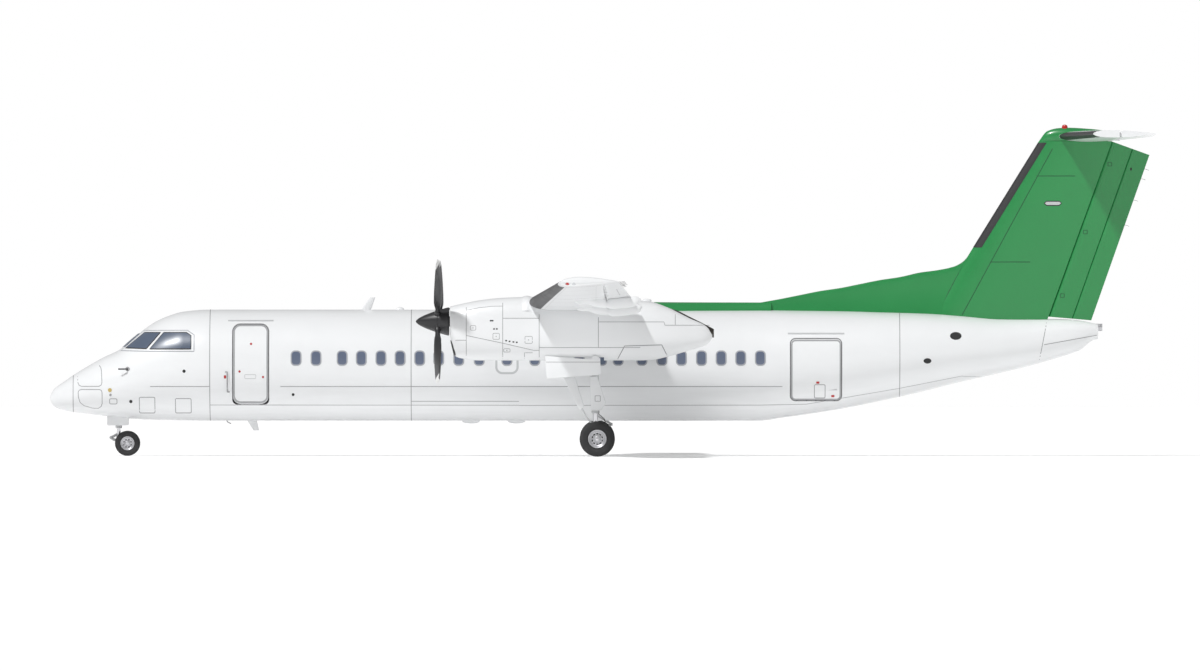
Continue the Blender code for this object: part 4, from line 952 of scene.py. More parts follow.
class RepeatTree:
    """Geometry Nodes that set copies of a shape on points and give them a finish."""

    NAME = "Copies on points"

    def tree(self) -> bpy.types.GeometryNodeTree:
        """Make the node tree once and return it."""
        found = bpy.data.node_groups.get(self.NAME)
        if found is not None:
            return found
        tree = bpy.data.node_groups.new(self.NAME, "GeometryNodeTree")
        face = tree.interface
        face.new_socket("Points", in_out="INPUT", socket_type="NodeSocketGeometry")
        face.new_socket("Shape", in_out="INPUT", socket_type="NodeSocketObject")
        face.new_socket("Size", in_out="INPUT", socket_type="NodeSocketFloat").default_value = 1.0
        face.new_socket("Finish", in_out="INPUT", socket_type="NodeSocketMaterial")
        face.new_socket("Copies", in_out="OUTPUT", socket_type="NodeSocketGeometry")
        nodes, links = tree.nodes, tree.links
        given, result = nodes.new("NodeGroupInput"), nodes.new("NodeGroupOutput")
        shape = nodes.new("GeometryNodeObjectInfo")
        spin = nodes.new("FunctionNodeAlignRotationToVector")
        spin.axis = "Z"
        facing = nodes.new("GeometryNodeInputNamedAttribute")
        facing.data_type = "FLOAT_VECTOR"
        facing.inputs["Name"].default_value = "facing"
        copies = nodes.new("GeometryNodeInstanceOnPoints")
        whole = nodes.new("GeometryNodeRealizeInstances")
        painted = nodes.new("GeometryNodeSetMaterial")
        links.new(given.outputs["Points"], copies.inputs["Points"])
        links.new(given.outputs["Shape"], shape.inputs["Object"])
        links.new(shape.outputs["Geometry"], copies.inputs["Instance"])
        links.new(facing.outputs["Attribute"], spin.inputs["Vector"])
        links.new(spin.outputs["Rotation"], copies.inputs["Rotation"])
        links.new(given.outputs["Size"], copies.inputs["Scale"])
        links.new(copies.outputs["Instances"], whole.inputs["Geometry"])
        links.new(whole.outputs["Geometry"], painted.inputs["Geometry"])
        links.new(given.outputs["Finish"], painted.inputs["Material"])
        links.new(painted.outputs["Geometry"], result.inputs["Copies"])
        return tree

    def build(self, name: str, bm: bmesh.types.BMesh, places: Iterable[tuple[Vector, Vector]], finish: Finish,
              size: float = 1.0) -> bpy.types.Object:
        """Set copies of a shape, whose outward axis is Z, on points.

        Args:
            name: The piece's name.
            bm: The shape about the origin, which is freed.
            places: Each copy's place and the direction of its Z.
            finish: What the copies are made of.
            size: Scale of the copies.

        Returns:
            The copies as one plain mesh.
        """
        shape = finish_piece("shape", bm, finish, 40.0)
        mesh = bpy.data.meshes.new(name)
        places = list(places)
        mesh.from_pydata([place for place, _ in places], [], [])
        facing = mesh.attributes.new("facing", "FLOAT_VECTOR", "POINT")
        for index, (_, direction) in enumerate(places):
            facing.data[index].vector = direction
        piece = bpy.data.objects.new(name, mesh)
        bpy.context.scene.collection.objects.link(piece)
        modifier = piece.modifiers.new("copies", "NODES")
        modifier.node_group = self.tree()
        sockets = {item.name: item.identifier for item in modifier.node_group.interface.items_tree
                   if item.in_out == "INPUT"}
        modifier[sockets["Shape"]] = shape
        modifier[sockets["Size"]] = size
        modifier[sockets["Finish"]] = finish.material()
        view = bpy.context.evaluated_depsgraph_get()
        plain = bpy.data.meshes.new_from_object(piece.evaluated_get(view))
        piece.modifiers.clear()
        piece.data = plain
        bpy.data.objects.remove(shape)
        return piece


COPIES = RepeatTree()


@dataclass(frozen=True)
class Doorway:
    """A doorway in the port flank: where it is and how deep the space behind it reaches."""

    x_range: tuple[float, float]
    z_range: tuple[float, float]
    corner: float
    foot_corner: float | None = None
    draft: tuple[tuple[float, float], ...] = ((-1.0, 0.0), (0.6, 0.0))
    gap: float = 0.012
    depth_y: float = 0.30
    wall: float = 0.09

    def mouth(self, grow: float = 0.0) -> Outline:
        """The opening's outline, with tighter corners at its foot where the door's hinge needs them.

        Args:
            grow: How far it lies outside the opening's edge.

        Returns:
            The (x, z) outline.
        """
        grow += self.gap
        (x_low, x_high), (z_low, z_high) = self.x_range, self.z_range
        spans = ((x_low - grow, x_high + grow), (z_low - grow, z_high + grow))
        upper = rounded(*spans, self.corner + grow)
        if self.foot_corner is None:
            return upper
        middle = (z_low + z_high) / 2.0
        lower = rounded(*spans, self.foot_corner + grow - self.gap)
        return [high if high[1] > middle else low for high, low in zip(upper, lower)]

    def tool(self) -> bpy.types.Object:
        """The space to cut out of the hull."""
        return prism(self.mouth(), -2.0, self.depth_y)

    def panel(self, name: str) -> bpy.types.Object:
        """The curved door panel, as thick as the hull's wall.

        Args:
            name: The panel's name.

        Returns:
            The panel, not yet fastened to its body.
        """
        start, end = self.x_range[0] - 0.2, self.x_range[1] + 0.2
        panel = skin(name, hull_rings(start, end, 0.08), Finishes.WHITE)
        cut(panel, skin("core", hull_rings(start - 0.1, end + 0.1, 0.08, -self.wall), Finishes.WHITE))
        flanks = [hull_side(x, self.z_range[0]) for x in self.x_range]
        slope = (flanks[1] - flanks[0]) / (self.x_range[1] - self.x_range[0])
        rings = []
        for depth, rise in self.draft:
            outline = rounded(self.x_range, (self.z_range[0] + rise, self.z_range[1]), self.corner)
            rings.append([Vector((x, depth - flanks[0] - slope * (x - self.x_range[0]), z))
                          for x, z in outline])
        keep_inside(panel, skin("outline", rings, Finishes.WHITE))
        return panel


class Doorways:
    """The two doorways of the port side."""

    ENTRY = Doorway((-8.563, -7.743), (1.213, 3.059), 0.17, foot_corner=0.11)
    HOLD = Doorway((4.400, 5.571), (1.294, 2.722), 0.11, draft=((-0.80, 0.0), (0.0, 0.0), (0.30, 0.150)))


@dataclass(frozen=True)
class HullSkin:
    """The hull's smooth skin with its openings, and the fairing over the wing roots."""

    radome_joint: float = -12.293
    pace: float = 0.09
    bay_x: tuple[float, float] = (-11.440, -11.040)
    bay_half: float = 0.150
    bay_top: float = 1.200
    fairing_foot: float = 2.95
    fairing_green_from: float = 1.222
    fairing: tuple[tuple[float, float, float], ...] = (
        (-2.080, 3.380, 0.45),
        (-1.900, 3.560, 0.62),
        (-1.625, 3.690, 0.75),
        (0.300, 3.680, 0.75),
        (0.900, 3.620, 0.55),
        (1.220, 3.580, 0.40),
        (3.949, 3.569, 0.20),
    )
    outlet_z: float = 2.99
    outlet_end: float = 11.660

    def build(self) -> None:
        """Make the radome, the hull, its fairing and the tail outlet."""
        nose = HULL.rows[0][0]
        radome = skin("radome_skin", hull_rings(nose, self.radome_joint, self.pace), Finishes.WHITE)
        dress(radome, "airframe", Finishes.WHITE, "radome")
        hull = skin("hull_skin", hull_rings(self.radome_joint, HULL.rows[-1][0], self.pace), Finishes.WHITE)
        bay = rounded(self.bay_x, (0.5, self.bay_top), 0.02)
        cut(hull, Doorways.ENTRY.tool(), Doorways.HOLD.tool(), prism(bay, -self.bay_half, self.bay_half))
        dress(hull, "airframe", Finishes.WHITE, "cockpit_section", "forward_fuselage", "centre_fuselage",
              "aft_fuselage", "tail_cone")
        self.build_fairing()
        self.build_outlet()

    def fairing_ring(self, x: float) -> Ring:
        """Arch of the crown fairing at a station.

        Args:
            x: The station.

        Returns:
            The arch's corners.
        """
        stations = [row[0] for row in self.fairing]
        crown = monotone(stations, [row[1] for row in self.fairing])(x)
        half = monotone(stations, [row[2] for row in self.fairing])(x)
        rise = crown - self.fairing_foot
        turns = [math.pi * index / 40 for index in range(41)]
        return [Vector((x, half * math.cos(a), self.fairing_foot + rise * math.sin(a) ** 0.9)) for a in turns]

    def build_fairing(self) -> None:
        """The white front of the crown fairing and its green spine."""
        ends = (self.fairing[0][0], self.fairing_green_from, self.fairing[-1][0])
        for name, start, end, finish in (("crown_fairing", ends[0], ends[1], Finishes.WHITE),
                                         ("green_spine", ends[1], ends[2], Finishes.GREEN)):
            rings = [self.fairing_ring(x) for x in spread(start, end, 40)]
            dress(skin(name, rings, finish), "airframe", finish)

    def build_outlet(self) -> None:
        """Turned outlet pipe at the end of the tail cone."""
        profile = ((0.0, 0.060), (0.0, 0.085), (0.150, 0.085), (0.158, 0.080), (0.160, 0.070), (0.040, 0.066))
        centre = Vector((self.outlet_end - 0.160, 0.0, self.outlet_z))
        pipe = turned("tail_outlet", profile, centre, Vector((1, 0, 0)), Finishes.ALLOY, sides=40)
        dress(pipe, "airframe", Finishes.ALLOY)


@dataclass(frozen=True)
class CabinWindows:
    """The row of cabin windows on both flanks."""

    columns: tuple[float, ...] = (
        296.7, 316.6, 342.7, 361.8, 381.4, 400.5, 420.0, 439.0, 459.0, 479.4, 507.1, 534.9, 557.0, 579.2,
                                  601.6,
        618.1, 641.8, 661.7, 681.2, 701.2, 720.9, 740.4, 760.0)
    row: float = 358.1
    width: float = 0.223
    height: float = 0.326
    corner: float = 0.085

    def build(self) -> None:
        """Set a rim and a pane at each window."""
        z = photo_z(self.row)
        opening = rounded((-self.width / 2, self.width / 2), (z - self.height / 2, z + self.height / 2),
                          self.corner)
        opening = dense([*opening, opening[0]], 0.025)[:-1]
        glass, rims = bmesh.new(), bmesh.new()
        for side in Side:
            flank = hull_flank(side)
            outward = Vector((0.0, side.sign, 0.0))
            add_patch(glass, flank, opening, outward, 0.004, rings=6)
            add_band(rims, flank, opening, 0.030, outward, 0.007)
        places = [(Vector((photo_x(column), 0.0, 0.0)), Vector((0, 0, 1))) for column in self.columns]
        dress(COPIES.build("cabin_window_panes", glass, places, Finishes.WINDOW), "airframe", Finishes.WINDOW)
        dress(COPIES.build("cabin_window_rims", rims, places, Finishes.RIM), "airframe", Finishes.RIM)


@dataclass(frozen=True)
class CockpitGlazing:
    """The cockpit's dark surround, its panes and their frames, on both sides of the centre post."""

    surround: Outline = tuple(side_view((144.5, 330.4), (188.0, 330.3), (194.8, 334.9), (194.8, 351.3),
                                        (146.6, 351.3), (121.2, 350.6)))
    front_pane: Outline = tuple(side_view((126.3, 347.9), (144.9, 332.6), (161.0, 332.6), (147.1, 348.7)))
    side_pane: Outline = tuple(side_view((150.6, 348.9), (164.4, 332.6), (187.1, 332.6), (191.6, 335.6),
                                         (191.6, 348.9)))
    shield: Outline = ((-11.150, 0.075), (-10.790, 0.075), (-10.745, 0.270), (-11.085, 0.360))

    def build(self) -> None:
        """Make the surround, the panes and their frames."""
        pieces = PieceSet("cockpit", "airframe")
        for side in Side:
            wrap = hull_wrap(side)
            outward = Vector((-0.4, side.sign, 0.5))
            add_band(pieces[Finishes.RIM], wrap, self.unrolled(self.surround), 0.018, outward, 0.004)
            for pane in (self.front_pane, self.side_pane):
                outline = self.unrolled(pane)
                add_patch(pieces[Finishes.SCREEN], wrap, outline, outward, 0.010, 0.0, rings=14)
                add_band(pieces[Finishes.BOOT], wrap, outline, 0.022, outward, 0.012)
            shield = [(x, math.acos(y / hull_values(x)[2]))
                      for x, y in dense([*self.shield, self.shield[0]], 0.05)]
            add_patch(pieces[Finishes.SCREEN], wrap, shield[:-1], outward, 0.008, 0.0, rings=8)
        pieces.build()
        for side in Side:
            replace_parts(bpy.data.objects["cockpit_windscreen"], "windscreen_" + side.word)

    def unrolled(self, outline: Outline) -> Outline:
        """A side-view outline in stations and wrap angles."""
        points = dense([*outline, outline[0]], 0.04)[:-1]
        return [(x, flank_angle(x, z)) for x, z in points]


@dataclass(frozen=True)
class HullSeams:
    """Panel joints drawn on the hull: round its frames and along its flanks."""

    width: float = 0.017
    frames: tuple[float, ...] = (73.5, 210.5, 411.5, 899.3)
    lines: tuple[tuple[tuple[float, float], ...], ...] = (
        ((151.0, 386.4), (210.0, 386.4)),
        ((281.0, 386.4), (782.0, 386.4)),
        ((210.5, 404.9), (519.0, 405.1)),
        ((412.0, 401.2), (519.0, 401.2)),
        ((519.0, 405.3), (760.0, 405.0), (806.0, 404.1), (899.0, 388.3), (961.0, 376.1), (981.5, 376.8)),
        ((1047.0, 319.4), (1038.5, 363.0)),
        ((1043.8, 344.7), (1096.8, 335.2)),
        ((77.8, 376.2), (78.4, 382.8), (79.6, 385.3), (82.0, 386.3), (99.6, 386.3), (101.8, 385.0),
         (102.6, 382.3),
         (102.0, 371.0), (101.2, 367.4), (99.6, 365.4)),
        ((82.0, 389.4), (100.0, 389.4), (102.0, 390.4), (102.7, 392.6), (102.7, 403.4), (101.6, 406.4),
         (98.6, 408.3),
         (93.0, 408.1), (84.6, 405.7), (80.6, 402.4), (78.9, 397.4), (78.6, 392.4), (79.6, 390.2),
         (82.0, 389.4)),
    )
    exit: tuple[float, float, float, float] = (496.5, 336.0, 517.7, 373.0)
    panels: tuple[tuple[float, float, float, float, float], ...] = (
        (140.0, 397.2, 155.5, 412.9, 0.03),
        (176.1, 398.5, 191.8, 412.9, 0.03),
        (110.2, 398.7, 117.6, 403.9, 0.03),
        (814.0, 384.6, 824.7, 397.9, 0.03),
    )

    def build(self) -> None:
        """Draw the frames, the lines and the access panels on both flanks."""
        bm = bmesh.new()
        for column in self.frames:
            ring = [(photo_x(column), math.tau * index / 96) for index in range(97)]
            add_ribbon(bm, hull_point, ring, self.width, Vector((0, 0, 0)), step=0.07)
        for side in Side:
            flank = hull_flank(side)
            outward = Vector((0.0, side.sign, 0.0))
            for line in self.lines:
                add_ribbon(bm, flank, side_view(*line), self.width, outward, step=0.08)
            for left, top, right, bottom, corner in self.panels:
                outline = rounded((photo_x(left), photo_x(right)), (photo_z(bottom), photo_z(top)), corner)
                add_band(bm, flank, dense([*outline, outline[0]], 0.08)[:-1], self.width, outward, 0.0015)
        dress(finish_piece("hull_seams", bm, Finishes.SEAM), "airframe", Finishes.SEAM)
        bands = bmesh.new()
        left, top, right, bottom = self.exit
        outline = rounded((photo_x(left), photo_x(right)), (photo_z(bottom), photo_z(top)), 0.14)
        for side in Side:
            add_band(bands, hull_flank(side), dense([*outline, outline[0]], 0.06)[:-1], 0.050,
                     Vector((0.0, side.sign, 0.0)), 0.003)
        dress(finish_piece("emergency_exit_outlines", bands, Finishes.FAINT_SEAM), "airframe",
              Finishes.FAINT_SEAM)


@dataclass(frozen=True)
class HullFittings:
    """Aerials, probes and the small marks of the hull."""

    def build(self) -> None:
        """Make every fitting of the hull."""
        pieces = PieceSet("hull_fittings", "airframe")
        self.aerials(pieces[Finishes.WHITE])
        self.ovals(pieces[Finishes.DARK])
        self.probes(pieces)
        pieces.build()

    def blade(self, bm: bmesh.types.BMesh, foot: tuple[float, float, float], tip: tuple[float, float, float],
              half: float) -> None:
        """A swept blade aerial: foot and tip as (front x, rear x, z).

        Args:
            bm: The mesh that takes it.
            foot: Front x, rear x and z of its foot.
            tip: Front x, rear x and z of its tip.
            half: Half its thickness at the foot.
        """
        rings = []
        for share in spread(0.0, 1.0, 7):
            front, rear, z = (a + (b - a) * share for a, b in zip(foot, tip))
            width = half * (1.0 - 0.45 * share)
            ring = []
            for index in range(20):
                turn = math.tau * index / 20
                ring.append(Vector(((front + rear) / 2 + (rear - front) / 2 * math.cos(turn),
                                    width * math.sin(turn), z)))
            rings.append(ring)
        add_skin(bm, rings)

    def bump(self, bm: bmesh.types.BMesh, low: float, high: float, foot: float, crown: float,
             half: float) -> None:
        """A low streamlined blister on the centre line, between two stations.

        Args:
            bm: The mesh that takes it.
            low: Its front station.
            high: Its rear station.
            foot: Height of its middle.
            crown: Height of its far side.
            half: Half its width.
        """
        rings = []
        for index in range(1, 16):
            share = index / 16
            swell = math.sin(math.pi * share) ** 0.6
            x = low + (high - low) * (1.0 - math.cos(math.pi * share)) / 2.0
            turns = [math.tau * step / 20 for step in range(20)]
            rings.append([Vector((x, half * swell * math.cos(a), foot + (crown - foot) * swell * math.sin(a)))
                          for a in turns])
        add_skin(bm, rings)

    def aerials(self, bm: bmesh.types.BMesh) -> None:
        """The blades and blisters of the crown and belly.

        Args:
            bm: The mesh that takes it.
        """
        self.blade(bm, (photo_x(360.4), photo_x(370.7), 3.38), (photo_x(369.9), photo_x(375.3), 3.690), 0.022)
        self.blade(bm, (photo_x(246.7), photo_x(256.6), 0.84), (photo_x(253.6), photo_x(259.2), 0.592), 0.022)
        self.bump(bm, photo_x(396.0), photo_x(404.0), 3.39, photo_z(307.1), 0.06)
        self.bump(bm, photo_x(642.0), photo_x(651.5), 3.60, photo_z(298.7), 0.07)
        self.bump(bm, photo_x(461.8), photo_x(480.2), 0.84, photo_z(423.5), 0.10)
        self.bump(bm, photo_x(507.3), photo_x(525.3), 0.84, photo_z(423.5), 0.10)

    def ovals(self, bm: bmesh.types.BMesh) -> None:
        """Flat near-black ovals on the rear flank and round ones on the nose: painted shade standing for the
        openings of vents and ports.
        """
        spots = ((949.5, 961.0, 332.1, 339.8), (923.0, 930.8, 358.2, 363.5), (129.9, 133.1, 399.8, 403.0),
                 (183.3, 186.5, 369.5, 372.7), (292.3, 295.1, 393.1, 395.9))
        for side in Side:
            for left, right, top, bottom in spots:
                middle_x, middle_z = photo_x((left + right) / 2), photo_z((top + bottom) / 2)
                wide, high = (photo_x(right) - photo_x(left)) / 2, (photo_z(top) - photo_z(bottom)) / 2
                turns = [math.tau * index / 32 for index in range(32)]
                outline = [(middle_x + wide * math.cos(a), middle_z + high * math.sin(a)) for a in turns]
                add_patch(bm, hull_flank(side), outline, Vector((0, side.sign, 0)), 0.003)

    def probes(self, pieces: PieceSet) -> None:
        """Pitot tubes, angle vanes and the belly probe.

        Args:
            pieces: Where the forms go, by finish.
        """
        for side in Side:
            root_x, z = photo_x(128.4), photo_z(369.0)
            root = Vector((root_x, side.sign * hull_side(root_x, z), z))
            knee = root + Vector((-0.05, side.sign * 0.07, 0.0))
            tip = knee + Vector((-0.17, 0.0, 0.0))
            add_tube(pieces[Finishes.BOOT], [root, root + (knee - root) * 0.7, knee, tip], 0.016)
            turns = [math.tau * index / 28 for index in range(28)]
            base = [(root_x + 0.05 * math.cos(a), z + 0.05 * math.sin(a)) for a in turns]
            add_patch(pieces[Finishes.SEAM], hull_flank(side), base, Vector((0, side.sign, 0)), 0.006)
            for column, row, radius in ((110.6, 390.0, 0.045), (111.1, 394.8, 0.028)):
                x, z = photo_x(column), photo_z(row)
                turns = [math.tau * index / 28 for index in range(28)]
                outline = [(x + radius * math.cos(a), z + radius * math.sin(a)) for a in turns]
                finish = Finishes.GOLD if radius > 0.03 else Finishes.SEAM
                add_patch(pieces[finish], hull_flank(side), outline, Vector((0, side.sign, 0)), 0.008)
        x = photo_x(228.5)
        add_tube(pieces[Finishes.SEAM], [Vector((x - 0.05, 0, 0.83)), Vector((x - 0.01, 0, 0.78)),
                                         Vector((x + 0.06, 0, 0.75))], 0.012)


@dataclass(frozen=True)
class EntryDoor:
    """The passenger door with its seal, marks, hinge and folding stair."""

    doorway: Doorway = Doorways.ENTRY
    seal_width: float = 0.040
    seal_foot: float = 0.036
    open_angle: float = 120.0
    chamfer: tuple[tuple[float, float], ...] = ((0.0, -0.002), (-0.040, 0.030), (-0.040, -0.002))
    treads: int = 5
    tread_depth: float = 0.22

    @property
    def pin(self) -> Vector:
        """Where the hinge line starts, just inside the skin at the sill."""
        z = self.doorway.z_range[0] + 0.0003
        return Vector((self.doorway.x_range[0] + 0.19, 0.012 - hull_side(self.doorway.x_range[0], z), z))

    def build(self) -> None:
        """Make the door, what rides on it and the lining behind it."""
        panel = self.doorway.panel("entry_door_panel")
        edge = [self.pin + Vector((0.0, y, z)) for y, z in self.chamfer]
        cut(panel, skin("chamfer", [[p + Vector((x, 0, 0)) for p in edge] for x in (-0.3, 0.9)],
                        Finishes.WHITE))
        dress(panel, "entry_door", Finishes.WHITE, "passenger_door")
        pieces = PieceSet("entry_door_trim", "entry_door")
        flank = hull_flank(Side.PORT)
        outward = Vector((0, -1, 0))
        inner = rounded((self.doorway.x_range[0] + 0.022, self.doorway.x_range[1] - 0.022),
                        (self.doorway.z_range[0] + self.seal_foot, self.doorway.z_range[1] - 0.022),
                        self.doorway.corner - 0.02)
        outline = dense([*inner, inner[0]], 0.07)[:-1]
        add_band(pieces[Finishes.SEAL], flank, outline, self.seal_width, outward, 0.003)
        self.marks(pieces, flank, outward)
        self.hinge(pieces)
        self.stair(pieces)
        pieces.build()
        self.surroundings()

    def marks(self, pieces: PieceSet, flank: Surface, outward: Vector) -> None:
        """The flush handle plates and small round marks.

        Args:
            pieces: Where the forms go, by finish.
            flank: The hull's port surface.
            outward: Rough direction out of the surface.
        """
        for column, row in ((251.7, 343.9), (240.3, 371.4), (263.7, 377.0)):
            turns = [math.tau * index / 20 for index in range(20)]
            outline = [(photo_x(column) + 0.026 * math.cos(a), photo_z(row) + 0.026 * math.sin(a))
                       for a in turns]
            add_patch(pieces[Finishes.RED], flank, outline, outward, 0.003)
        handle = rounded((photo_x(245.5), photo_x(256.5)), (photo_z(378.5), photo_z(374.5)), 0.02)
        add_band(pieces[Finishes.FAINT_SEAM], flank, handle, 0.012, outward, 0.002)

    def hinge(self, pieces: PieceSet) -> None:
        """The knuckles of the hinge along the sill.

        Args:
            pieces: Where the forms go, by finish.
        """
        pitch = (self.doorway.x_range[1] - self.doorway.x_range[0] - 0.38) / 6
        profile = ((0.0, 0.010), (0.0, 0.0118), (pitch - 0.01, 0.0118), (pitch - 0.01, 0.010))
        for index in range(6):
            start = self.pin + Vector((pitch * index, 0.0, 0.0))
            add_turned(pieces[Finishes.STEEL], profile, start, Vector((1, 0, 0)), 16)

    def stair(self, pieces: PieceSet) -> None:
        """Treads and stringers on the door's inner face, level when the door is down.

        Args:
            pieces: Where the forms go, by finish.
        """
        (x_low, x_high), (z_low, z_high) = self.doorway.x_range, self.doorway.z_range
        turn = math.radians(self.open_angle)
        rise = Vector((0.0, -math.cos(turn), math.sin(turn)))
        thick = Vector((0.0, math.sin(turn), math.cos(turn))) * 0.014
        middle_x = (x_low + x_high) / 2.0
        for z in spread(z_low + 0.22, z_high - 0.42, self.treads):
            y = -hull_side(middle_x, z, self.doorway.wall)
            foot = Vector((0.0, y + 0.015, z))
            corners = (foot, foot + rise * self.tread_depth)
            ring = [corners[0] - thick, corners[1] - thick, corners[1] + thick, corners[0] + thick]
            rings = [[point + Vector((x, 0, 0)) for point in ring] for x in (x_low + 0.10, x_high - 0.10)]
            add_skin(pieces[Finishes.TREAD], rings)
        for x in (x_low + 0.085, x_high - 0.085):
            outline = []
            for z in spread(z_low + 0.12, z_high - 0.22, 14):
                outline.append(Vector((0.0, -hull_side(middle_x, z, self.doorway.wall) - 0.01, z)))
            inner = [point + Vector((0.0, 0.075, 0.0)) for point in reversed(outline)]
            ring = outline + inner
            add_skin(pieces[Finishes.ALLOY], [[p + Vector((x - 0.008, 0, 0)) for p in ring],
                                              [p + Vector((x + 0.008, 0, 0)) for p in ring]])
            rail = [Vector((x, -hull_side(middle_x, z, self.doorway.wall) + 0.10, z))
                    for z in spread(z_low + 0.30, z_high - 0.40, 9)]
            ends = [rail[0] - Vector((0, 0.10, 0.04)), rail[-1] - Vector((0, 0.10, -0.04))]
            add_tube(pieces[Finishes.STEEL], [ends[0], *rail, ends[1]], 0.012)

    def surroundings(self) -> None:
        """What stays on the hull: drip rail, grab rail, door frame and the lobby behind the door."""
        pieces = PieceSet("entry_surround", "airframe")
        flank = hull_flank(Side.PORT)
        outward = Vector((0, -1, 0))
        add_ribbon(pieces[Finishes.FAINT_SEAM], flank, side_view((228.6, 320.8), (273.8, 320.8)), 0.035,
                   outward,
                   0.012, 0.08)
        add_band(pieces[Finishes.SEAM], flank,
                 dense([*self.doorway.mouth(0.006), self.doorway.mouth(0.006)[0]],
                                                     0.07)[:-1], 0.010, outward, 0.0015)
        rail = side_view((226.4, 371.9), (228.0, 371.9), (228.0, 391.9), (229.8, 391.9))
        points = [flank(x, z) + outward * 0.03 for x, z in dense(rail, 0.06)]
        add_tube(pieces[Finishes.SEAM], [flank(*rail[0]), *points, flank(*rail[-1])], 0.013)
        mark = rounded((photo_x(224.6), photo_x(226.9)), (photo_z(378.4), photo_z(375.2)), 0.012)
        add_patch(pieces[Finishes.RED], flank, mark, outward, 0.003)
        (x_low, x_high), (z_low, z_high) = self.doorway.x_range, self.doorway.z_range
        depth = self.doorway.depth_y
        gap = self.doorway.gap
        add_box(pieces[Finishes.CARPET], (x_low + 0.17, -0.88, z_low - gap - 0.002),
                (x_high - 0.17, depth - 0.002, z_low - gap + 0.004), 0.001)
        add_box(pieces[Finishes.LINING], (x_low - gap, depth - 0.02, z_low + 0.05),
                (x_high + gap, depth - 0.002, z_high - 0.05), 0.004)
        for x in (x_low + 0.005, x_high - 0.005):
            add_tube(pieces[Finishes.STEEL],
                     [Vector((x, -1.05, z_low + 0.55)), Vector((x, -1.02, z_low + 0.60)),
                                              Vector((x, -1.02, z_low + 1.15)),
                      Vector((x, -1.05, z_low + 1.20))],
                     0.011)
        pieces.build()


@dataclass(frozen=True)
class HoldDoor:
    """The baggage door with its seal, latches and stiffeners, and the hold behind it."""

    doorway: Doorway = Doorways.HOLD
    seal_width: float = 0.036
    seal_head: float = 0.036
    pin_inset: float = 0.013
    chamfer: tuple[tuple[float, float], ...] = ((0.0, 0.002), (-0.040, 0.002), (-0.040, -0.043))

    def build(self) -> None:
        """Make the door, what rides on it and what stays on the hull."""
        panel = self.doorway.panel("hold_door_panel")
        pin_z = self.doorway.z_range[1] - 0.0003
        wedge = []
        for x in (self.doorway.x_range[0] - 0.1, self.doorway.x_range[1] + 0.1):
            pin_y = self.pin_inset - hull_side(x, pin_z)
            wedge.append([Vector((x, pin_y + y, pin_z + z)) for y, z in self.chamfer])
        cut(panel, skin("chamfer", wedge, Finishes.WHITE))
        dress(panel, "hold_door", Finishes.WHITE, "baggage_door")
        pieces = PieceSet("hold_door_trim", "hold_door")
        flank = hull_flank(Side.PORT)
        outward = Vector((0, -1, 0))
        (x_low, x_high), (z_low, z_high) = self.doorway.x_range, self.doorway.z_range
        inner = rounded((x_low + 0.020, x_high - 0.020), (z_low + 0.020, z_high - self.seal_head),
                        self.doorway.corner - 0.02)
        add_band(pieces[Finishes.SEAL], flank, dense([*inner, inner[0]], 0.07)[:-1], self.seal_width, outward,
                 0.003)
        for column, row in ((817.4, 382.5), (832.5, 396.0)):
            mark = rounded((photo_x(column - 1.6), photo_x(column + 1.6)),
                           (photo_z(row + 1.1), photo_z(row - 1.1)),
                           0.012)
            add_patch(pieces[Finishes.RED], flank, mark, outward, 0.003)
        for z in spread(z_low + 0.25, z_high - 0.25, 4):
            add_box(pieces[Finishes.ALLOY], (x_low + 0.10, -hull_side(x_low, z, 0.09) - 0.01, z - 0.02),
                    (x_high - 0.10, -hull_side(x_high, z, 0.09) + 0.035, z + 0.02), 0.006)
        for x in (x_low + 0.3, x_high - 0.3):
            ring = [Vector((x, -hull_side(x, z, 0.09) + 0.010, z))
                    for z in spread(z_low + 0.10, z_high - 0.10, 12)]
            add_tube(pieces[Finishes.ALLOY], ring, 0.018, 10)
        pieces.build()
        fixed = PieceSet("hold_surround", "airframe")
        add_ribbon(fixed[Finishes.FAINT_SEAM], flank, side_view((787.5, 333.6), (843.8, 333.6)), 0.032,
                   outward,
                   0.012, 0.08)
        mouth = self.doorway.mouth(0.006)
        add_band(fixed[Finishes.SEAM], flank, dense([*mouth, mouth[0]], 0.07)[:-1], 0.010, outward, 0.0015)
        floor = z_low - self.doorway.gap

        def strip(x: float, low: float, high: float) -> Ring:
            """Section of the hold's floor from well inside the sill to the back."""
            edge = 0.26 - hull_side(x, floor)
            return [Vector((x, y, z)) for y, z in ((edge, low), (edge, high), (0.298, high), (0.298, low))]

        xs = spread(x_low + 0.02, x_high - 0.02, 8)
        add_skin(fixed[Finishes.ALLOY], [strip(x, floor - 0.002, floor + 0.008) for x in xs])
        for x in spread(x_low + 0.15, x_high - 0.15, 5):
            add_skin(fixed[Finishes.TREAD], [strip(x + step, floor, floor + 0.014) for step in (-0.02, 0.02)])
        fixed.build()


Table = tuple[tuple[float, ...], ...]


def between(rows: Table, place: float) -> list[float]:
    """Straight-line values of a table's columns at a place in its first column.

    Args:
        rows: Rows in rising order of their first column.
        place: Where to read them.

    Returns:
        The other columns at that place.
    """
    place = min(max(place, rows[0][0]), rows[-1][0])
    index = max(i for i in range(len(rows) - 1) if rows[i][0] <= place)
    low, high = rows[index], rows[index + 1]
    share = (place - low[0]) / (high[0] - low[0])
    return [a + (b - a) * share for a, b in zip(low[1:], high[1:])]


def section_half(share: float, ratio: float) -> float:
    """Half thickness of a symmetrical wing section, as a share of its chord."""
    return 5.0 * ratio * (0.2969 * math.sqrt(share) - 0.1260 * share - 0.3516 * share ** 2 + 0.2843
                          * share ** 3
                          - 0.1036 * share ** 4)


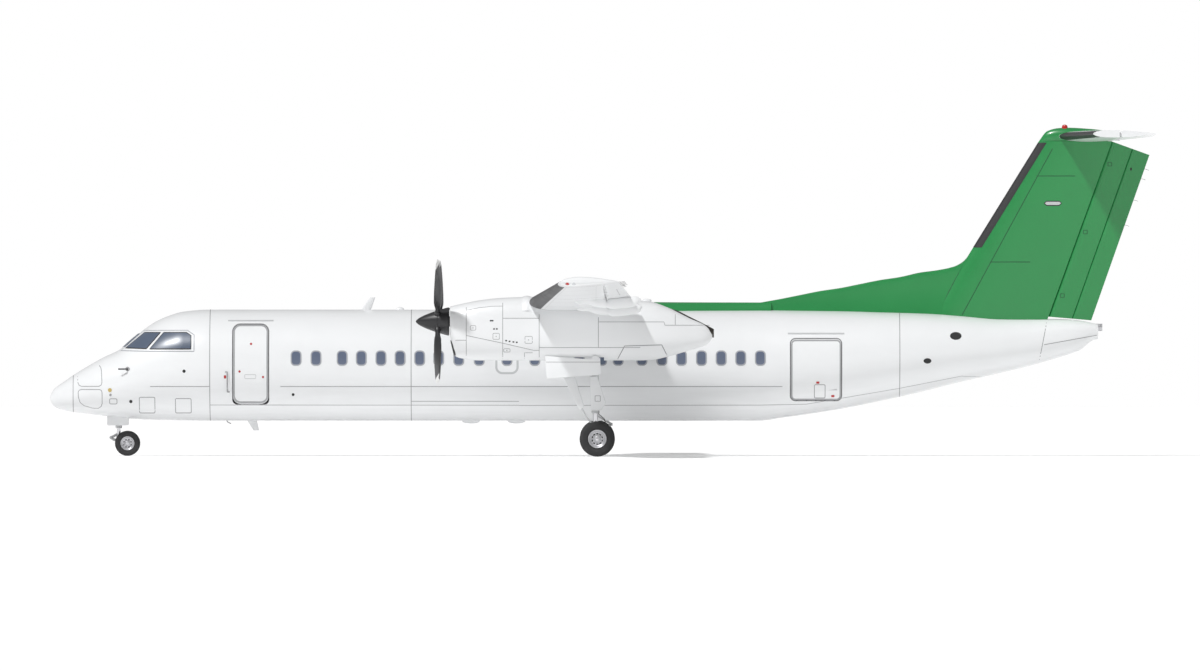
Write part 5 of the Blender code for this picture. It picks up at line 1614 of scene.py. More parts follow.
def eased(start: float, end: float, count: int) -> list[float]:
    """Values that crowd together at the start, as a leading edge needs."""
    return [start + (end - start) * (1.0 - math.cos(math.pi / 2 * i / (count - 1))) for i in range(count)]


@dataclass(frozen=True)
class WingLines:
    """The wing's lines: span, leading edge x and z, chord, incidence and thickness ratio."""

    rows: Table = (
        (0.000, -1.669, 3.572, 2.480, 1.5, 0.18),
        (4.550, -1.669, 3.572, 2.480, 1.5, 0.18),
        (13.715, -0.931, 4.009, 1.308, -1.0, 0.15),
    )
    camber: float = 0.02
    camber_peak: float = 0.40
    edge_half: float = 0.003
    spar: float = 0.72

    def bend(self, share: float) -> float:
        """Height of the section's middle line, as a share of the chord.

        Args:
            share: Share of the chord.

        Returns:
            The height, as a share of the chord.
        """
        if share < self.camber_peak:
            return self.camber / self.camber_peak ** 2 * (2.0 * self.camber_peak * share - share ** 2)
        rest = self.camber / (1.0 - self.camber_peak) ** 2
        return rest * (1.0 - 2.0 * self.camber_peak + 2.0 * self.camber_peak * share - share ** 2)

    def half(self, y: float, share: float) -> float:
        """Half thickness in metres."""
        _, _, chord, _, ratio = between(self.rows, abs(y))
        return chord * section_half(share, ratio) + self.edge_half * share

    def point(self, y: float, share: float, above: float = 0.0) -> Vector:
        """A point of the wing by its share of the chord and height over the middle line.

        Args:
            y: Distance from the middle.
            share: Share of the chord.
            above: Height over the middle line.

        Returns:
            The point.
        """
        edge_x, edge_z, chord, incidence, _ = between(self.rows, abs(y))
        tilt = math.radians(incidence)
        along, up = share * chord, self.bend(share) * chord + above
        return Vector((edge_x + along * math.cos(tilt) + up * math.sin(tilt), y,
                       edge_z - along * math.sin(tilt) + up * math.cos(tilt)))

    def face(self, side: Side, upper: bool) -> Surface:
        """The upper or lower face as a surface of distance out along the span and share of the chord."""
        sign = 1.0 if upper else -1.0
        return lambda y, share: self.point(side.sign * y, share,
                                           sign * self.half(y, min(max(share, 0.0), 1.0)))

    def ring(self, y: float, front: float, rear: float, grow: float = 0.0, count: int = 22) -> Ring:
        """Closed section between two shares of the chord.

        Args:
            y: Distance from the middle.
            front: First share of the chord.
            rear: Last share of the chord.
            grow: How far outside the skin it lies.
            count: Points along each face.

        Returns:
            The section's corners, in order.
        """
        shares = eased(front, rear, count)
        upper = [self.point(y, share, self.half(y, share) + grow) for share in shares]
        lower = [self.point(y, share, -self.half(y, share) - grow) for share in shares]
        if front == 0.0:
            upper[0] = upper[0] - Vector((grow, 0.0, 0.0))
            lower = lower[1:]
        return upper[::-1] + lower

    def moving_ring(self, y: float, hinge: float, nose: float) -> Ring:
        """Section of a flap or aileron with a round nose about its hinge share.

        Args:
            y: Distance from the middle.
            hinge: Share of the chord at the hinge.
            nose: How long the nose is, as a share of its half height.

        Returns:
            The section's corners, in order.
        """
        radius, centre = self.half(y, hinge), self.point(y, hinge)
        turns = [math.pi / 2 + math.pi * step / 16 for step in range(17)]
        arc = [centre + Vector((nose * radius * math.cos(a), 0.0, radius * math.sin(a))) for a in turns]
        rear = spread(hinge, 1.0, 7)[1:]
        lower = [self.point(y, share, -self.half(y, share)) for share in rear]
        upper = [self.point(y, share, self.half(y, share)) for share in rear]
        return arc + lower + upper[::-1]


WING = WingLines()


class FlapPair(Enum):
    """The flaps of one side: word, span, fairing stations and how their shapes reach along the hinge."""

    INBOARD = ("inboard", (1.450, 3.330), (1.95, 2.85))
    OUTBOARD = ("outboard", (4.590, 8.600), (5.35, 7.75))


@dataclass(frozen=True)
class Wing:
    """The wing's skins, tips, boots and lamps, with its flaps and ailerons."""

    joint: float = 4.550
    tip_joint: float = 13.020
    tip: float = 13.715
    flap_hinge: float = 0.750
    flap_drop: float = 0.28
    aileron_hinge: float = 0.775
    aileron_span: tuple[float, float] = (8.640, 13.000)
    aileron_arms: tuple[float, float] = (9.60, 12.00)
    boot: tuple[float, float] = (0.045, 0.105)
    boot_spans: Table = ((1.45, 3.33), (4.58, 12.90))
    canoe_half: float = 0.062

    def build(self) -> None:
        """Make the wing and everything on it."""
        centre = skin("centre_wing_skin",
                      [WING.ring(y, 0.0, WING.spar) for y in spread(-self.joint, self.joint, 15)],
                      Finishes.WHITE)
        dress(centre, "airframe", Finishes.WHITE, "wing_centre")
        fixed = PieceSet("wing_trim", "airframe")
        for side in Side:
            self.build_outer(side)
            self.build_trim(side, fixed)
            for flap in FlapPair:
                self.build_flap(side, flap, fixed)
            self.build_aileron(side, fixed)
        fixed.build()

    def build_outer(self, side: Side) -> None:
        """The outer wing with its rounded tip.

        Args:
            side: Which wing.
        """
        stations = spread(self.joint, self.tip_joint, 16)
        rings = [WING.ring(side.sign * y, 0.0, WING.spar) for y in stations]
        bm = bmesh.new()
        add_skin(bm, rings)
        tip = [WING.ring(side.sign * y, 0.0, 1.0) for y in spread(self.tip_joint - 0.005, self.tip - 0.10, 4)]
        last = WING.ring(side.sign * self.tip, 0.0, 1.0)
        middle = sum(last, Vector()) / len(last)
        for turn in spread(0.25, 1.0, 5):
            out, shrink = math.sin(turn * math.pi / 2), math.cos(turn * math.pi / 2)
            y = side.sign * (self.tip - 0.10 + 0.10 * out)
            scale = Vector((0.93 + 0.07 * shrink, 1.0, 0.25 + 0.75 * shrink))
            tip.append([Vector((middle.x + (p.x - middle.x) * scale.x, y,
                                middle.z + (p.z - middle.z) * scale.z))
                        for p in last])
        add_skin(bm, tip)
        outer = finish_piece(f"outer_wing_{side.word}", bm, Finishes.WHITE)
        dress(outer, "airframe", Finishes.WHITE, "wing_" + side.word)

    def build_trim(self, side: Side, pieces: PieceSet) -> None:
        """Boots, panel joints, lamps and static wicks of one side.

        Args:
            side: Which wing.
            pieces: Where the forms go, by finish.
        """
        for low, high in self.boot_spans:
            rings = []
            for y in spread(low, high, 14):
                upper, lower = WING.face(side, True), WING.face(side, False)
                outer = [upper(y, share) for share in eased(0.0, self.boot[0], 7)][::-1]
                outer += [lower(y, share) for share in eased(0.0, self.boot[1], 10)][1:]
                middle = WING.point(side.sign * y, 0.12)
                rings.append([p + (p - middle).normalized() * 0.0025 for p in outer] + [p.lerp(middle, 0.1)
                                                                                       for p in reversed(outer)])
            add_skin(pieces[Finishes.BOOT], rings)
        for upper in (True, False):
            face, outward = WING.face(side, upper), Vector((0, 0, 1 if upper else -1))
            for y in (4.55, 8.62, self.tip_joint):
                add_ribbon(pieces[Finishes.SEAM], face, [(y, 0.02), (y, WING.spar - 0.005)], 0.014, outward,
                           step=0.04)
            for share in (0.14, 0.62):
                for low, high in ((1.40, 3.36), (4.56, 13.0)):
                    add_ribbon(pieces[Finishes.FAINT_SEAM], face, [(low, share), (high, share)], 0.012,
                               outward,
                               step=0.35)
            for y in (2.4, 5.9, 7.3, 10.0, 11.6):
                add_ribbon(pieces[Finishes.FAINT_SEAM], face, [(y, 0.14), (y, 0.62)], 0.011, outward,
                           step=0.04)
        lamp = WING.point(side.sign * 13.45, 0.10)
        colour = Finishes.RED_LENS if side is Side.PORT else Finishes.GREEN
        for share, finish, radius in ((0.125, colour, 0.066), (0.235, Finishes.CLEAR_LENS, 0.066)):
            spot = WING.point(side.sign * 13.60, share)
            profile = [(-0.03, radius), (0.085, radius), (0.104, radius * 0.80), (0.114, radius * 0.35)]
            add_turned(pieces[finish], profile, Vector((spot.x, spot.y, lamp.z)), Vector((0, side.sign, 0)),
                       32)
        for y in (12.2, 12.7, 13.1, 13.5):
            root = WING.point(side.sign * y, 0.995)
            add_tube(pieces[Finishes.BOOT],
                     [root, root + Vector((0.07, 0, 0.0)), root + Vector((0.15, 0, 0.01))],
                     0.004, 6)

    def pivot(self, y: float) -> Vector:
        """Point of the flap's dropped hinge line."""
        chord = between(WING.rows, abs(y))[2]
        return WING.point(y, self.flap_hinge) - Vector((0, 0, self.flap_drop * chord / WING.rows[0][3]))

    def build_flap(self, side: Side, flap: FlapPair, fixed: PieceSet) -> None:
        """A flap with the rear halves of its canoe fairings; their front halves stay on the wing.

        Args:
            side: Which wing.
            flap: Which of its flaps.
            fixed: What stays on the wing, by finish.
        """
        word, span, arms = flap.value
        body = f"{side.word}_{word}_flap"
        ys = [side.sign * y for y in spread(*span, 8)]
        panel = skin(f"flap_skin_{word}_{side.word}",
                     [WING.moving_ring(y, self.flap_hinge, 0.45) for y in ys],
                     Finishes.WHITE)
        dress(panel, body, Finishes.WHITE, f"flap_{word}_{side.word}")
        canoes = bmesh.new()
        start, end = (self.pivot(side.sign * y) for y in span)
        for y in arms:
            pivot = start.lerp(end, (y - span[0]) / (span[1] - span[0]))
            roof = WING.point(side.sign * y, 0.5, -WING.half(y, 0.5)).z - pivot.z
            rear_roof = WING.point(side.sign * y, 0.93, -WING.half(y, 0.93)).z - pivot.z
            front = ((-0.80, roof + 0.02, 0.004, 0.10), (-0.70, roof - 0.03, 0.045, 0.5),
                     (-0.50, 0.13, 0.10, 0.85),
                     (-0.25, 0.075, 0.125, 1.0), (-0.035, 0.045, 0.110, 1.0))
            rear = ((-0.050, 0.020, 0.060, 0.8), (-0.020, 0.030, 0.095, 0.96), (0.10, 0.030, 0.120, 1.0),
                    (0.35, 0.050, 0.125, 1.0), (0.58, 0.080, 0.118, 1.0), (0.70, 0.100, 0.095, 0.85),
                    (0.745, 0.110, 0.065, 0.62), (0.765, rear_roof * 0.35 + 0.06, 0.020, 0.20))
            add_skin(fixed[Finishes.WHITE], self.canoe(pivot, front))
            add_skin(canoes, self.canoe(pivot, rear))
        dress(finish_piece(f"flap_fairings_{word}_{side.word}", canoes, Finishes.WHITE), body, Finishes.WHITE)

    def canoe(self, pivot: Vector, rows: Table) -> list[Ring]:
        """Rings of a canoe fairing from (along, height, half height, share of the half width) rows.

        Args:
            pivot: Where the rows start from.
            rows: Distance along, height, half height and share of the half width.

        Returns:
            The rings, from front to rear.
        """
        columns = [monotone([row[0] for row in rows], [row[k] for row in rows]) for k in (1, 2, 3)]
        rings = []
        for along in spread(rows[0][0], rows[-1][0], 14):
            height, tall, wide = (column(along) for column in columns)
            turns = [math.tau * step / 28 for step in range(28)]
            rings.append([pivot + Vector((along, self.canoe_half * wide * math.cos(a),
                                          height + tall * math.sin(a)))
                          for a in turns])
        return rings

    def build_aileron(self, side: Side, fixed: PieceSet) -> None:
        """An aileron with its hinge brackets and trim tab line.

        Args:
            side: Which wing.
            fixed: What stays on the wing, by finish.
        """
        span = self.aileron_span
        ys = [side.sign * y for y in spread(*span, 10)]
        panel = skin(f"aileron_skin_{side.word}", [WING.moving_ring(y, self.aileron_hinge, 1.0) for y in ys],
                     Finishes.WHITE)
        body = f"{side.word}_aileron"
        dress(panel, body, Finishes.WHITE, f"aileron_{side.word}")
        tab = bmesh.new()
        for upper in (True, False):
            face, outward = WING.face(side, upper), Vector((0, 0, 1 if upper else -1))
            add_ribbon(tab, face, [(8.66, 0.90), (10.9, 0.90), (10.9, 0.985)], 0.014, outward, step=0.3)
        dress(finish_piece(f"aileron_tab_line_{side.word}", tab, Finishes.SEAM), body, Finishes.SEAM)
        for y in self.aileron_arms:
            middle = WING.point(side.sign * y, self.aileron_hinge, -WING.half(y, self.aileron_hinge))
            add_box(fixed[Finishes.WHITE], middle + Vector((-0.20, -0.014, -0.015)),
                    middle + Vector((0.0, 0.014, 0.015)), 0.006)


@dataclass(frozen=True)
class Nacelle:
    """An engine's cowls, intake, exhaust, panel joints and marks."""

    side: Side
    y: float = 3.940
    squareness: float = 2.6
    sides: int = 88
    cowl_joint: float = -1.750
    rows: Table = (
        (-3.505, 3.472, 2.786, 0.345),
        (-3.390, 3.500, 2.323, 0.430),
        (-3.131, 3.558, 2.254, 0.520),
        (-2.829, 3.616, 2.223, 0.560),
        (-2.282, 3.674, 2.223, 0.575),
        (-1.665, 3.695, 2.223, 0.575),
        (0.861, 3.604, 2.223, 0.550),
        (1.166, 3.574, 2.235, 0.515),
        (1.520, 3.455, 2.307, 0.450),
        (2.040, 3.208, 2.459, 0.330),
        (2.450, 3.003, 2.600, 0.190),
        (2.561, 2.880, 2.740, 0.100),
    )
    intake_z: tuple[float, float] = (2.375, 2.665)
    intake_half: float = 0.270
    intake_end: float = -3.120
    bay_x: tuple[float, float] = (-0.880, 0.060)
    bay_half: float = 0.330
    bay_top: float = 2.700
    exhaust: Table = (
        (1.480, 3.440, 0.06, 0.10),
        (1.700, 3.395, 0.11, 0.15),
        (2.040, 3.235, 0.12, 0.15),
        (2.450, 3.030, 0.12, 0.13),
        (2.600, 2.950, 0.10, 0.11),
    )
    lines: tuple[tuple[tuple[float, float], ...], ...] = (
        ((467.2, 307.5), (467.2, 355.5)),
        ((503.4, 303.0), (503.4, 358.5)),
        ((539.6, 314.5), (539.6, 359.0)),
        ((598.4, 317.5), (598.4, 347.4)),
        ((674.7, 314.5), (674.7, 324.8)),
        ((503.4, 318.4), (539.6, 318.4)),
        ((539.7, 347.4), (640.0, 347.4)),
        ((467.3, 335.5), (503.3, 343.1), (534.4, 350.3), (539.7, 350.3)),
        ((467.9, 310.4), (480.0, 307.9), (492.3, 306.5), (503.3, 306.3)),
        ((598.4, 322.0), (663.4, 322.0), (664.5, 325.3), (709.0, 325.3)),
        ((525.0, 358.5), (525.0, 352.6), (533.0, 352.6)),
        ((456.5, 340.2), (467.0, 340.2)),
    )
    hatches: Table = ((471.2, 325.7, 476.7, 330.2), (493.7, 333.3, 500.1, 339.3),
                      (525.5, 336.4, 532.8, 343.3),
                      (504.4, 348.6, 510.7, 351.9))
    slots: Table = ((491.5, 320.8), (493.3, 320.8), (494.8, 329.0), (497.5, 329.0), (506.8, 340.6),
                    (510.2, 341.3),
                    (514.0, 341.9), (517.4, 342.3))
    wheel_door: tuple[tuple[float, float], ...] = ((617.5, 358.9), (624.4, 345.9), (661.3, 344.8),
                                                   (667.1, 356.4))

    def values(self, x: float) -> tuple[float, float, float]:
        """Middle height, half height and half width at a station."""
        crown, keel, half = (curve(x) for curve in NACELLE_CURVES)
        return (crown + keel) / 2.0, (crown - keel) / 2.0, half

    def wrap(self, x: float, angle: float) -> Vector:
        """A point of the nacelle's frame at a station, by its angle.

        Args:
            x: The station.
            angle: Angle round the frame, in radians.

        Returns:
            The point.
        """
        middle, height, half = self.values(x)
        power = 2.0 / self.squareness
        across = math.copysign(abs(math.cos(angle)) ** power, math.cos(angle))
        upward = math.copysign(abs(math.sin(angle)) ** power, math.sin(angle))
        return Vector((x, self.side.sign * self.y + half * across, middle + height * upward))

    def flank(self, way: float) -> Surface:
        """One flank as a surface of x and z; way is the sign of Y that it faces."""
        def point(x: float, z: float) -> Vector:
            """Point of the flank at a station and height."""
            middle, height, half = self.values(x)
            share = min(1.0, abs(z - middle) / height)
            reach = half * (1.0 - share ** self.squareness) ** (1.0 / self.squareness)
            return Vector((x, self.side.sign * self.y + way * reach, z))

        return point

    def rings(self, start: float, end: float) -> list[Ring]:
        """Frames between two stations.

        Args:
            start: First station.
            end: Last station.

        Returns:
            The frames, from front to rear.
        """
        turns = [math.tau * index / self.sides for index in range(self.sides)]
        count = max(3, round((end - start) / 0.045))
        return [[self.wrap(x, turn) for turn in turns] for x in spread(start, end, count)]

    def build(self) -> None:
        """Make the cowl, the nacelle behind it and what is on them."""
        word = self.side.word
        centre_y = self.side.sign * self.y
        cowl = skin(f"cowl_skin_{word}", self.rings(self.rows[0][0], self.cowl_joint), Finishes.WHITE)
        mouth = rounded((centre_y - self.intake_half, centre_y + self.intake_half), self.intake_z, 0.13, 10)
        cut(cowl, skin("intake", [[Vector((x, u, v)) for u, v in mouth] for x in (-3.70, self.intake_end)],
                       Finishes.DARK))
        dress(cowl, "airframe", Finishes.WHITE, "cowl_" + word)
        rear = skin(f"nacelle_skin_{word}", self.rings(self.cowl_joint, self.rows[-1][0]), Finishes.WHITE)
        bay = rounded(self.bay_x, (1.5, self.bay_top), 0.03)
        cut(rear, prism(bay, centre_y - self.bay_half, centre_y + self.bay_half))
        dress(rear, "airframe", Finishes.WHITE, "nacelle_" + word)
        pieces = PieceSet(f"nacelle_trim_{word}", "airframe")
        self.build_intake(pieces, mouth)
        self.build_marks(pieces)
        pieces.build()
        self.build_exhaust()
        self.build_saddle()

    def front_x(self, z: float) -> float:
        """Station of the chin's sloping front at a height."""
        (x0, _, z0, _), (x1, _, z1, _) = self.rows[:2]
        return x0 + (x1 - x0) * min(1.0, max(0.0, (z0 - z) / (z0 - z1)))

    def build_intake(self, pieces: PieceSet, mouth: Outline) -> None:
        """The black lip round the intake, a near-black plate of painted shade that closes its throat, and a
        splitter screen.

        Args:
            pieces: Where the forms go, by finish.
            mouth: The intake's (y, z) outline.
        """
        path = dense([*mouth, mouth[0]], 0.04)[:-1]
        middle_y, middle_z = self.side.sign * self.y, sum(self.intake_z) / 2.0
        rings = []
        for u, v in path:
            out = Vector((0.0, u - middle_y, v - middle_z)).normalized()
            centre = Vector((self.front_x(v) + 0.020, u, v)) + out * 0.020
            turns = [math.tau * step / 14 for step in range(14)]
            rings.append([centre + Vector((0.040 * math.cos(a), 0, 0)) + out * (0.026 * math.sin(a))
                          for a in turns])
        add_skin(pieces[Finishes.BOOT], rings, looped=True)
        low, high = self.intake_z
        # A near-black plate across the back of the intake: painted shade where the duct runs on.
        add_box(pieces[Finishes.DARK], (self.intake_end - 0.02, middle_y - 0.262, low + 0.008),
                (self.intake_end - 0.002, middle_y + 0.262, high - 0.008), 0.004)
        for offset in (-0.09, 0.09):
            add_box(pieces[Finishes.ALLOY], (self.intake_end - 0.16, middle_y + offset - 0.004, low + 0.004),
                    (self.intake_end - 0.01, middle_y + offset + 0.004, high - 0.004), 0.002)

    def build_marks(self, pieces: PieceSet) -> None:
        """Panel joints, hatches, cooling slots drawn as flat patches of painted shade, and the aft bay door's
        outline, on both flanks.
        """
        for way in (-1.0, 1.0):
            flank, outward = self.flank(way), Vector((0.0, way, 0.0))
            for line in self.lines:
                add_ribbon(pieces[Finishes.SEAM], flank, side_view(*line), 0.013, outward, step=0.05)
            add_ribbon(pieces[Finishes.SEAM], flank, side_view(*self.wheel_door), 0.020, outward, step=0.04)
            for left, top, right, bottom in self.hatches:
                outline = rounded((photo_x(left), photo_x(right)), (photo_z(bottom), photo_z(top)), 0.022)
                add_band(pieces[Finishes.SEAM], flank, outline, 0.011, outward, 0.0015)
                spot = (photo_x((left + right) / 2), photo_z((top + bottom) / 2))
                outline = [(spot[0] + 0.012 * math.cos(a), spot[1] + 0.012 * math.sin(a)) for a in
                           (math.tau * step / 12 for step in range(12))]
                add_patch(pieces[Finishes.SEAM], flank, outline, outward, 0.0015, rings=1)
            # Cooling slots: flat near-black patches of painted shade, with no opening behind them.
            for column, row in self.slots:
                outline = rounded((photo_x(column - 0.9), photo_x(column + 0.9)), (photo_z(row + 0.7),
                                                                                   photo_z(row - 0.7)), 0.010)
                add_patch(pieces[Finishes.DARK], flank, outline, outward, 0.0015, rings=1)

    def build_exhaust(self) -> None:
        """The burnt duct along the nacelle's tail, hollow at its mouth."""
        columns = [monotone([row[0] for row in self.exhaust], [row[k] for row in self.exhaust])
                   for k in (1, 2, 3)]
        rings = []
        turns = [math.tau * step / 40 for step in range(40)]
        last = self.exhaust[-1][0]
        for x in [*spread(self.exhaust[0][0], last, 26), last - 0.01, last - 0.22]:
            crown, height, half = (column(x) for column in columns)
            inner = len(rings) >= 26
            shrink = 0.78 if inner else 1.0
            rings.append([Vector((x, self.side.sign * self.y + half * shrink * math.cos(a),
                                  crown - height + height * shrink * math.sin(a))) for a in turns])
        duct = skin(f"exhaust_duct_{self.side.word}", rings, Finishes.BURNT)
        dress(duct, "airframe", Finishes.BURNT, "exhaust_" + self.side.word)

    def build_saddle(self) -> None:
        """The raised fillet where the nacelle meets the wing's leading edge."""
        bm = bmesh.new()
        rings = []
        for share in spread(0.0, 1.0, 9):
            x = -1.835 + 0.22 * share
            grow = 0.028 * math.sin(math.pi * share)
            turns = spread(math.radians(28), math.radians(152), 36)
            outer = [self.wrap(x, a) for a in turns]
            middle = Vector((x, self.side.sign * self.y, 3.0))
            rings.append([p + (p - middle).normalized() * (grow + 0.001) for p in outer]
                         + [p.lerp(middle, 0.05) for p in reversed(outer)])
        add_skin(bm, rings)
        dress(finish_piece(f"wing_fillet_{self.side.word}", bm, Finishes.WHITE), "airframe", Finishes.WHITE)


NACELLE_CURVES = tuple(monotone([row[0] for row in Nacelle.rows], [row[k] for row in Nacelle.rows])
                       for k in (1, 2, 3))


@dataclass(frozen=True)
class Propeller:
    """A four-bladed propeller with its hub and spinner."""

    side: Side
    axis_z: float = 3.125
    plane: float = -3.790
    blades: int = 4
    spinner_nose: float = -4.298
    spinner_base: float = -3.535
    spinner_radius: float = 0.332
    rows: Table = (
        (0.120, 0.110, 0.110, 60.0),
        (0.400, 0.120, 0.100, 55.0),
        (0.700, 0.250, 0.060, 42.0),
        (1.200, 0.300, 0.036, 30.0),
        (1.750, 0.250, 0.022, 22.0),
        (1.980, 0.120, 0.012, 19.0),
    )
    tip_band: float = 1.80

    def build(self) -> None:
        """Make the spinner, the hub and the blades."""
        word = self.side.word
        body = f"{word}_propeller"
        centre = Vector((0.0, self.side.sign * Nacelle.y, self.axis_z))
        length = self.spinner_base - self.spinner_nose
        profile = [(self.spinner_nose + length * share, max(0.004, self.spinner_radius * share ** 0.62))
                   for share in eased(0.0, 1.0, 26)]
        groove = self.spinner_nose + length * 0.655
        profile = sorted(profile + [(groove + d, self.radius_at(groove + d) - dip)
                                    for d, dip in ((-0.006, 0.0), (-0.003, 0.006), (0.003, 0.006),
                                                   (0.006, 0.0))])
        profile += [(self.spinner_base, self.spinner_radius - 0.02), (self.spinner_base - 0.04, 0.20)]
        spinner = turned(f"spinner_shell_{word}", profile, centre, Vector((1, 0, 0)), Finishes.PROPELLER, 72)
        dress(spinner, body, Finishes.PROPELLER, f"spinner_{word}")
        hub = bmesh.new()
        add_turned(hub, ((self.spinner_base - 0.01, 0.30), (self.spinner_base + 0.010, 0.318),
                         (self.spinner_base + 0.014, 0.12), (-3.506, 0.12)), centre, Vector((1, 0, 0)), 48)
        for index in range(self.blades):
            angle = math.tau * (index + 0.5) / self.blades
            outward = Vector((0.0, math.cos(angle), math.sin(angle)))
            foot = centre + Vector((self.plane, 0, 0))
            add_turned(hub, ((0.16, 0.075), (0.29, 0.075), (0.31, 0.068), (0.33, 0.060)), foot, outward, 32)
        dress(finish_piece(f"propeller_hub_{word}", hub, Finishes.PROPELLER), body, Finishes.PROPELLER,
              f"propeller_{word}")
        radii = spread(0.24, self.tip_band, 22), spread(self.tip_band, self.rows[-1][0], 8)
        for part, stations, finish in (("blades", radii[0], Finishes.PROPELLER),
                                       ("tips", radii[1], Finishes.TIP_WHITE)):
            bm = bmesh.new()
            for index in range(self.blades):
                add_skin(bm, [self.blade_ring(centre, index, radius) for radius in stations])
            dress(finish_piece(f"propeller_{part}_{word}", bm, finish, 50.0), body, finish)

    def radius_at(self, x: float) -> float:
        """The spinner's radius at a station."""
        share = (x - self.spinner_nose) / (self.spinner_base - self.spinner_nose)
        return self.spinner_radius * max(share, 0.0) ** 0.62

    def blade_ring(self, centre: Vector, index: int, radius: float) -> Ring:
        """A blade's section at a radius: round at the shank, a wing section further out.

        Args:
            centre: Where the hub's distances start.
            index: Which blade.
            radius: Distance from the axis.

        Returns:
            The section's corners, in order.
        """
        chord, thick, pitch = (curve(radius) for curve in BLADE_CURVES)
        angle = math.tau * (index + 0.5) / self.blades
        outward = Vector((0.0, math.cos(angle), math.sin(angle)))
        across = Vector((0.0, -math.sin(angle), math.cos(angle)))
        turn = math.radians(pitch)
        along = across * math.cos(turn) - Vector((1, 0, 0)) * math.sin(turn)
        face = across * math.sin(turn) + Vector((1, 0, 0)) * math.cos(turn)
        middle = centre + Vector((self.plane, 0, 0)) + outward * radius
        sharp = min(1.0, max(0.0, (radius - 0.35) / 0.35))
        ring = []
        for step in range(28):
            a = math.tau * step / 28
            taper = 1.0 - sharp * 0.32 * (1.0 - math.cos(a)) / 2.0
            ring.append(middle + along * (chord / 2 * math.cos(a)) + face * (thick / 2 * math.sin(a) * taper))
        return ring


BLADE_CURVES = tuple(monotone([row[0] for row in Propeller.rows], [row[k] for row in Propeller.rows])
                     for k in (1, 2, 3))


@dataclass(frozen=True)
class EngineCore:
    """The engine inside a nacelle: gearbox, turned casings and their flanges."""

    side: Side
    y: float = 3.940
    z: float = 2.910
    casing: Table = (
        (-3.045, 0.150), (-3.045, 0.240), (-2.860, 0.290), (-2.840, 0.310), (-2.800, 0.310), (-2.780, 0.285),
        (-2.300, 0.285), (-2.280, 0.315), (-2.240, 0.315), (-2.220, 0.275), (-1.700, 0.250), (-1.680, 0.285),
        (-1.640, 0.285), (-1.620, 0.240), (-1.150, 0.225), (-0.980, 0.180), (-0.975, 0.120))

    def build(self) -> None:
        """Make the casings and the bolts of a flange."""
        word, foot = self.side.word, Vector((0.0, self.side.sign * self.y, self.z))
        core = turned(f"engine_core_{word}", self.casing, foot, Vector((1, 0, 0)), Finishes.STEEL, 64)
        dress(core, "airframe", Finishes.STEEL, "engine_" + word)
        bolt = bmesh.new()
        add_turned(bolt, ((0.0, 0.010), (0.010, 0.010), (0.012, 0.008)), Vector(), Vector((0, 0, 1)), 6)
        places = []
        for index in range(18):
            turn = math.tau * index / 18
            places.append((foot + Vector((-2.238, 0.30 * math.cos(turn), 0.30 * math.sin(turn))),
                           Vector((1, 0, 0))))
        dress(COPIES.build(f"engine_flange_bolts_{word}", bolt, places, Finishes.GEAR, 1.0), "airframe",
              Finishes.GEAR)


@dataclass(frozen=True)
class FinLines:
    """Fin and rudder lines: height, leading edge, both rudder hinges and the trailing edge."""

    rows: Table = (
        (3.100, 7.567, 10.440, 10.965, 11.383),
        (7.290, 10.163, 11.955, 12.455, 12.858),
    )
    thickness: float = 0.115
    lip_gap: float = 0.016

    def values(self, z: float) -> list[float]:
        """Leading edge, hinges and trailing edge at a height, also past the ends.

        Args:
            z: The height.

        Returns:
            Stations of the leading edge, both hinges and the trailing edge.
        """
        low, high = self.rows
        share = (z - low[0]) / (high[0] - low[0])
        return [a + (b - a) * share for a, b in zip(low[1:], high[1:])]

    def half(self, x: float, z: float) -> float:
        """Half thickness at a station and height.

        Args:
            x: The station.
            z: The height.

        Returns:
            The half thickness.
        """
        edge, _, _, trail = self.values(z)
        share = min(max((x - edge) / (trail - edge), 0.0), 1.0)
        return (trail - edge) * section_half(share, self.thickness) + 0.001

    def flank(self, side: Side) -> Surface:
        """One side as a surface of x and z."""
        return lambda x, z: Vector((x, side.sign * self.half(x, z), z))

    def ring(self, z: float, count: int = 24) -> Ring:
        """Section from the leading edge to the hollow edge that shrouds the rudder's nose.

        Args:
            z: The height.
            count: Points along each face.

        Returns:
            The section's corners, in order.
        """
        edge, hinge, _, _ = self.values(z)
        cove = self.cove(hinge, z)
        xs = eased(edge, cove[0][0], count)
        near = [Vector((x, -self.half(x, z), z)) for x in xs]
        far = [Vector((x, self.half(x, z), z)) for x in xs]
        return near[::-1] + far + [Vector((x, y, z)) for x, y in cove]

    def cove(self, hinge: float, z: float) -> list[tuple[float, float]]:
        """Hollow rear edge round a rudder's nose, from the starboard lip to the port one.

        Args:
            hinge: Station of the hinge.
            z: The height.

        Returns:
            The edge's (x, y) points.
        """
        reach = self.half(hinge, z) + self.lip_gap
        turns = [math.radians(132.0 + 96.0 * step / 10) for step in range(11)]
        return [(hinge + reach * math.cos(a), reach * math.sin(a)) for a in turns]

    def rudder_ring(self, edge_z: Callable[[float], float], columns: tuple[int, int]) -> Ring:
        """Rudder section along a slanting edge line, with a round nose about its hinge.

        Args:
            edge_z: Height of the slanting edge at a station.
            columns: Columns of the hinge and of the rear edge.

        Returns:
            The section's corners, in order.
        """
        stations = []
        for column in columns:
            z = edge_z(0.0)
            for _ in range(8):
                z = edge_z(self.values(z)[column])
            stations.append(self.values(z)[column])
        hinge, rear = stations
        hollow: list[tuple[float, float]] = []
        if columns[1] == 2:
            hollow = self.cove(rear, edge_z(rear))
            rear = hollow[0][0]
        radius = self.half(hinge, edge_z(hinge))
        turns = [math.pi / 2 + math.pi * step / 14 for step in range(15)]
        outline = [(hinge + radius * math.cos(a), radius * math.sin(a)) for a in turns]
        flank = [(x, self.half(x, edge_z(x))) for x in spread(hinge, rear, 6)[1:]]
        outline += [(x, -half) for x, half in flank] + hollow[::-1] + flank[::-1]
        return [Vector((x, y, edge_z(x))) for x, y in outline]


FIN = FinLines()


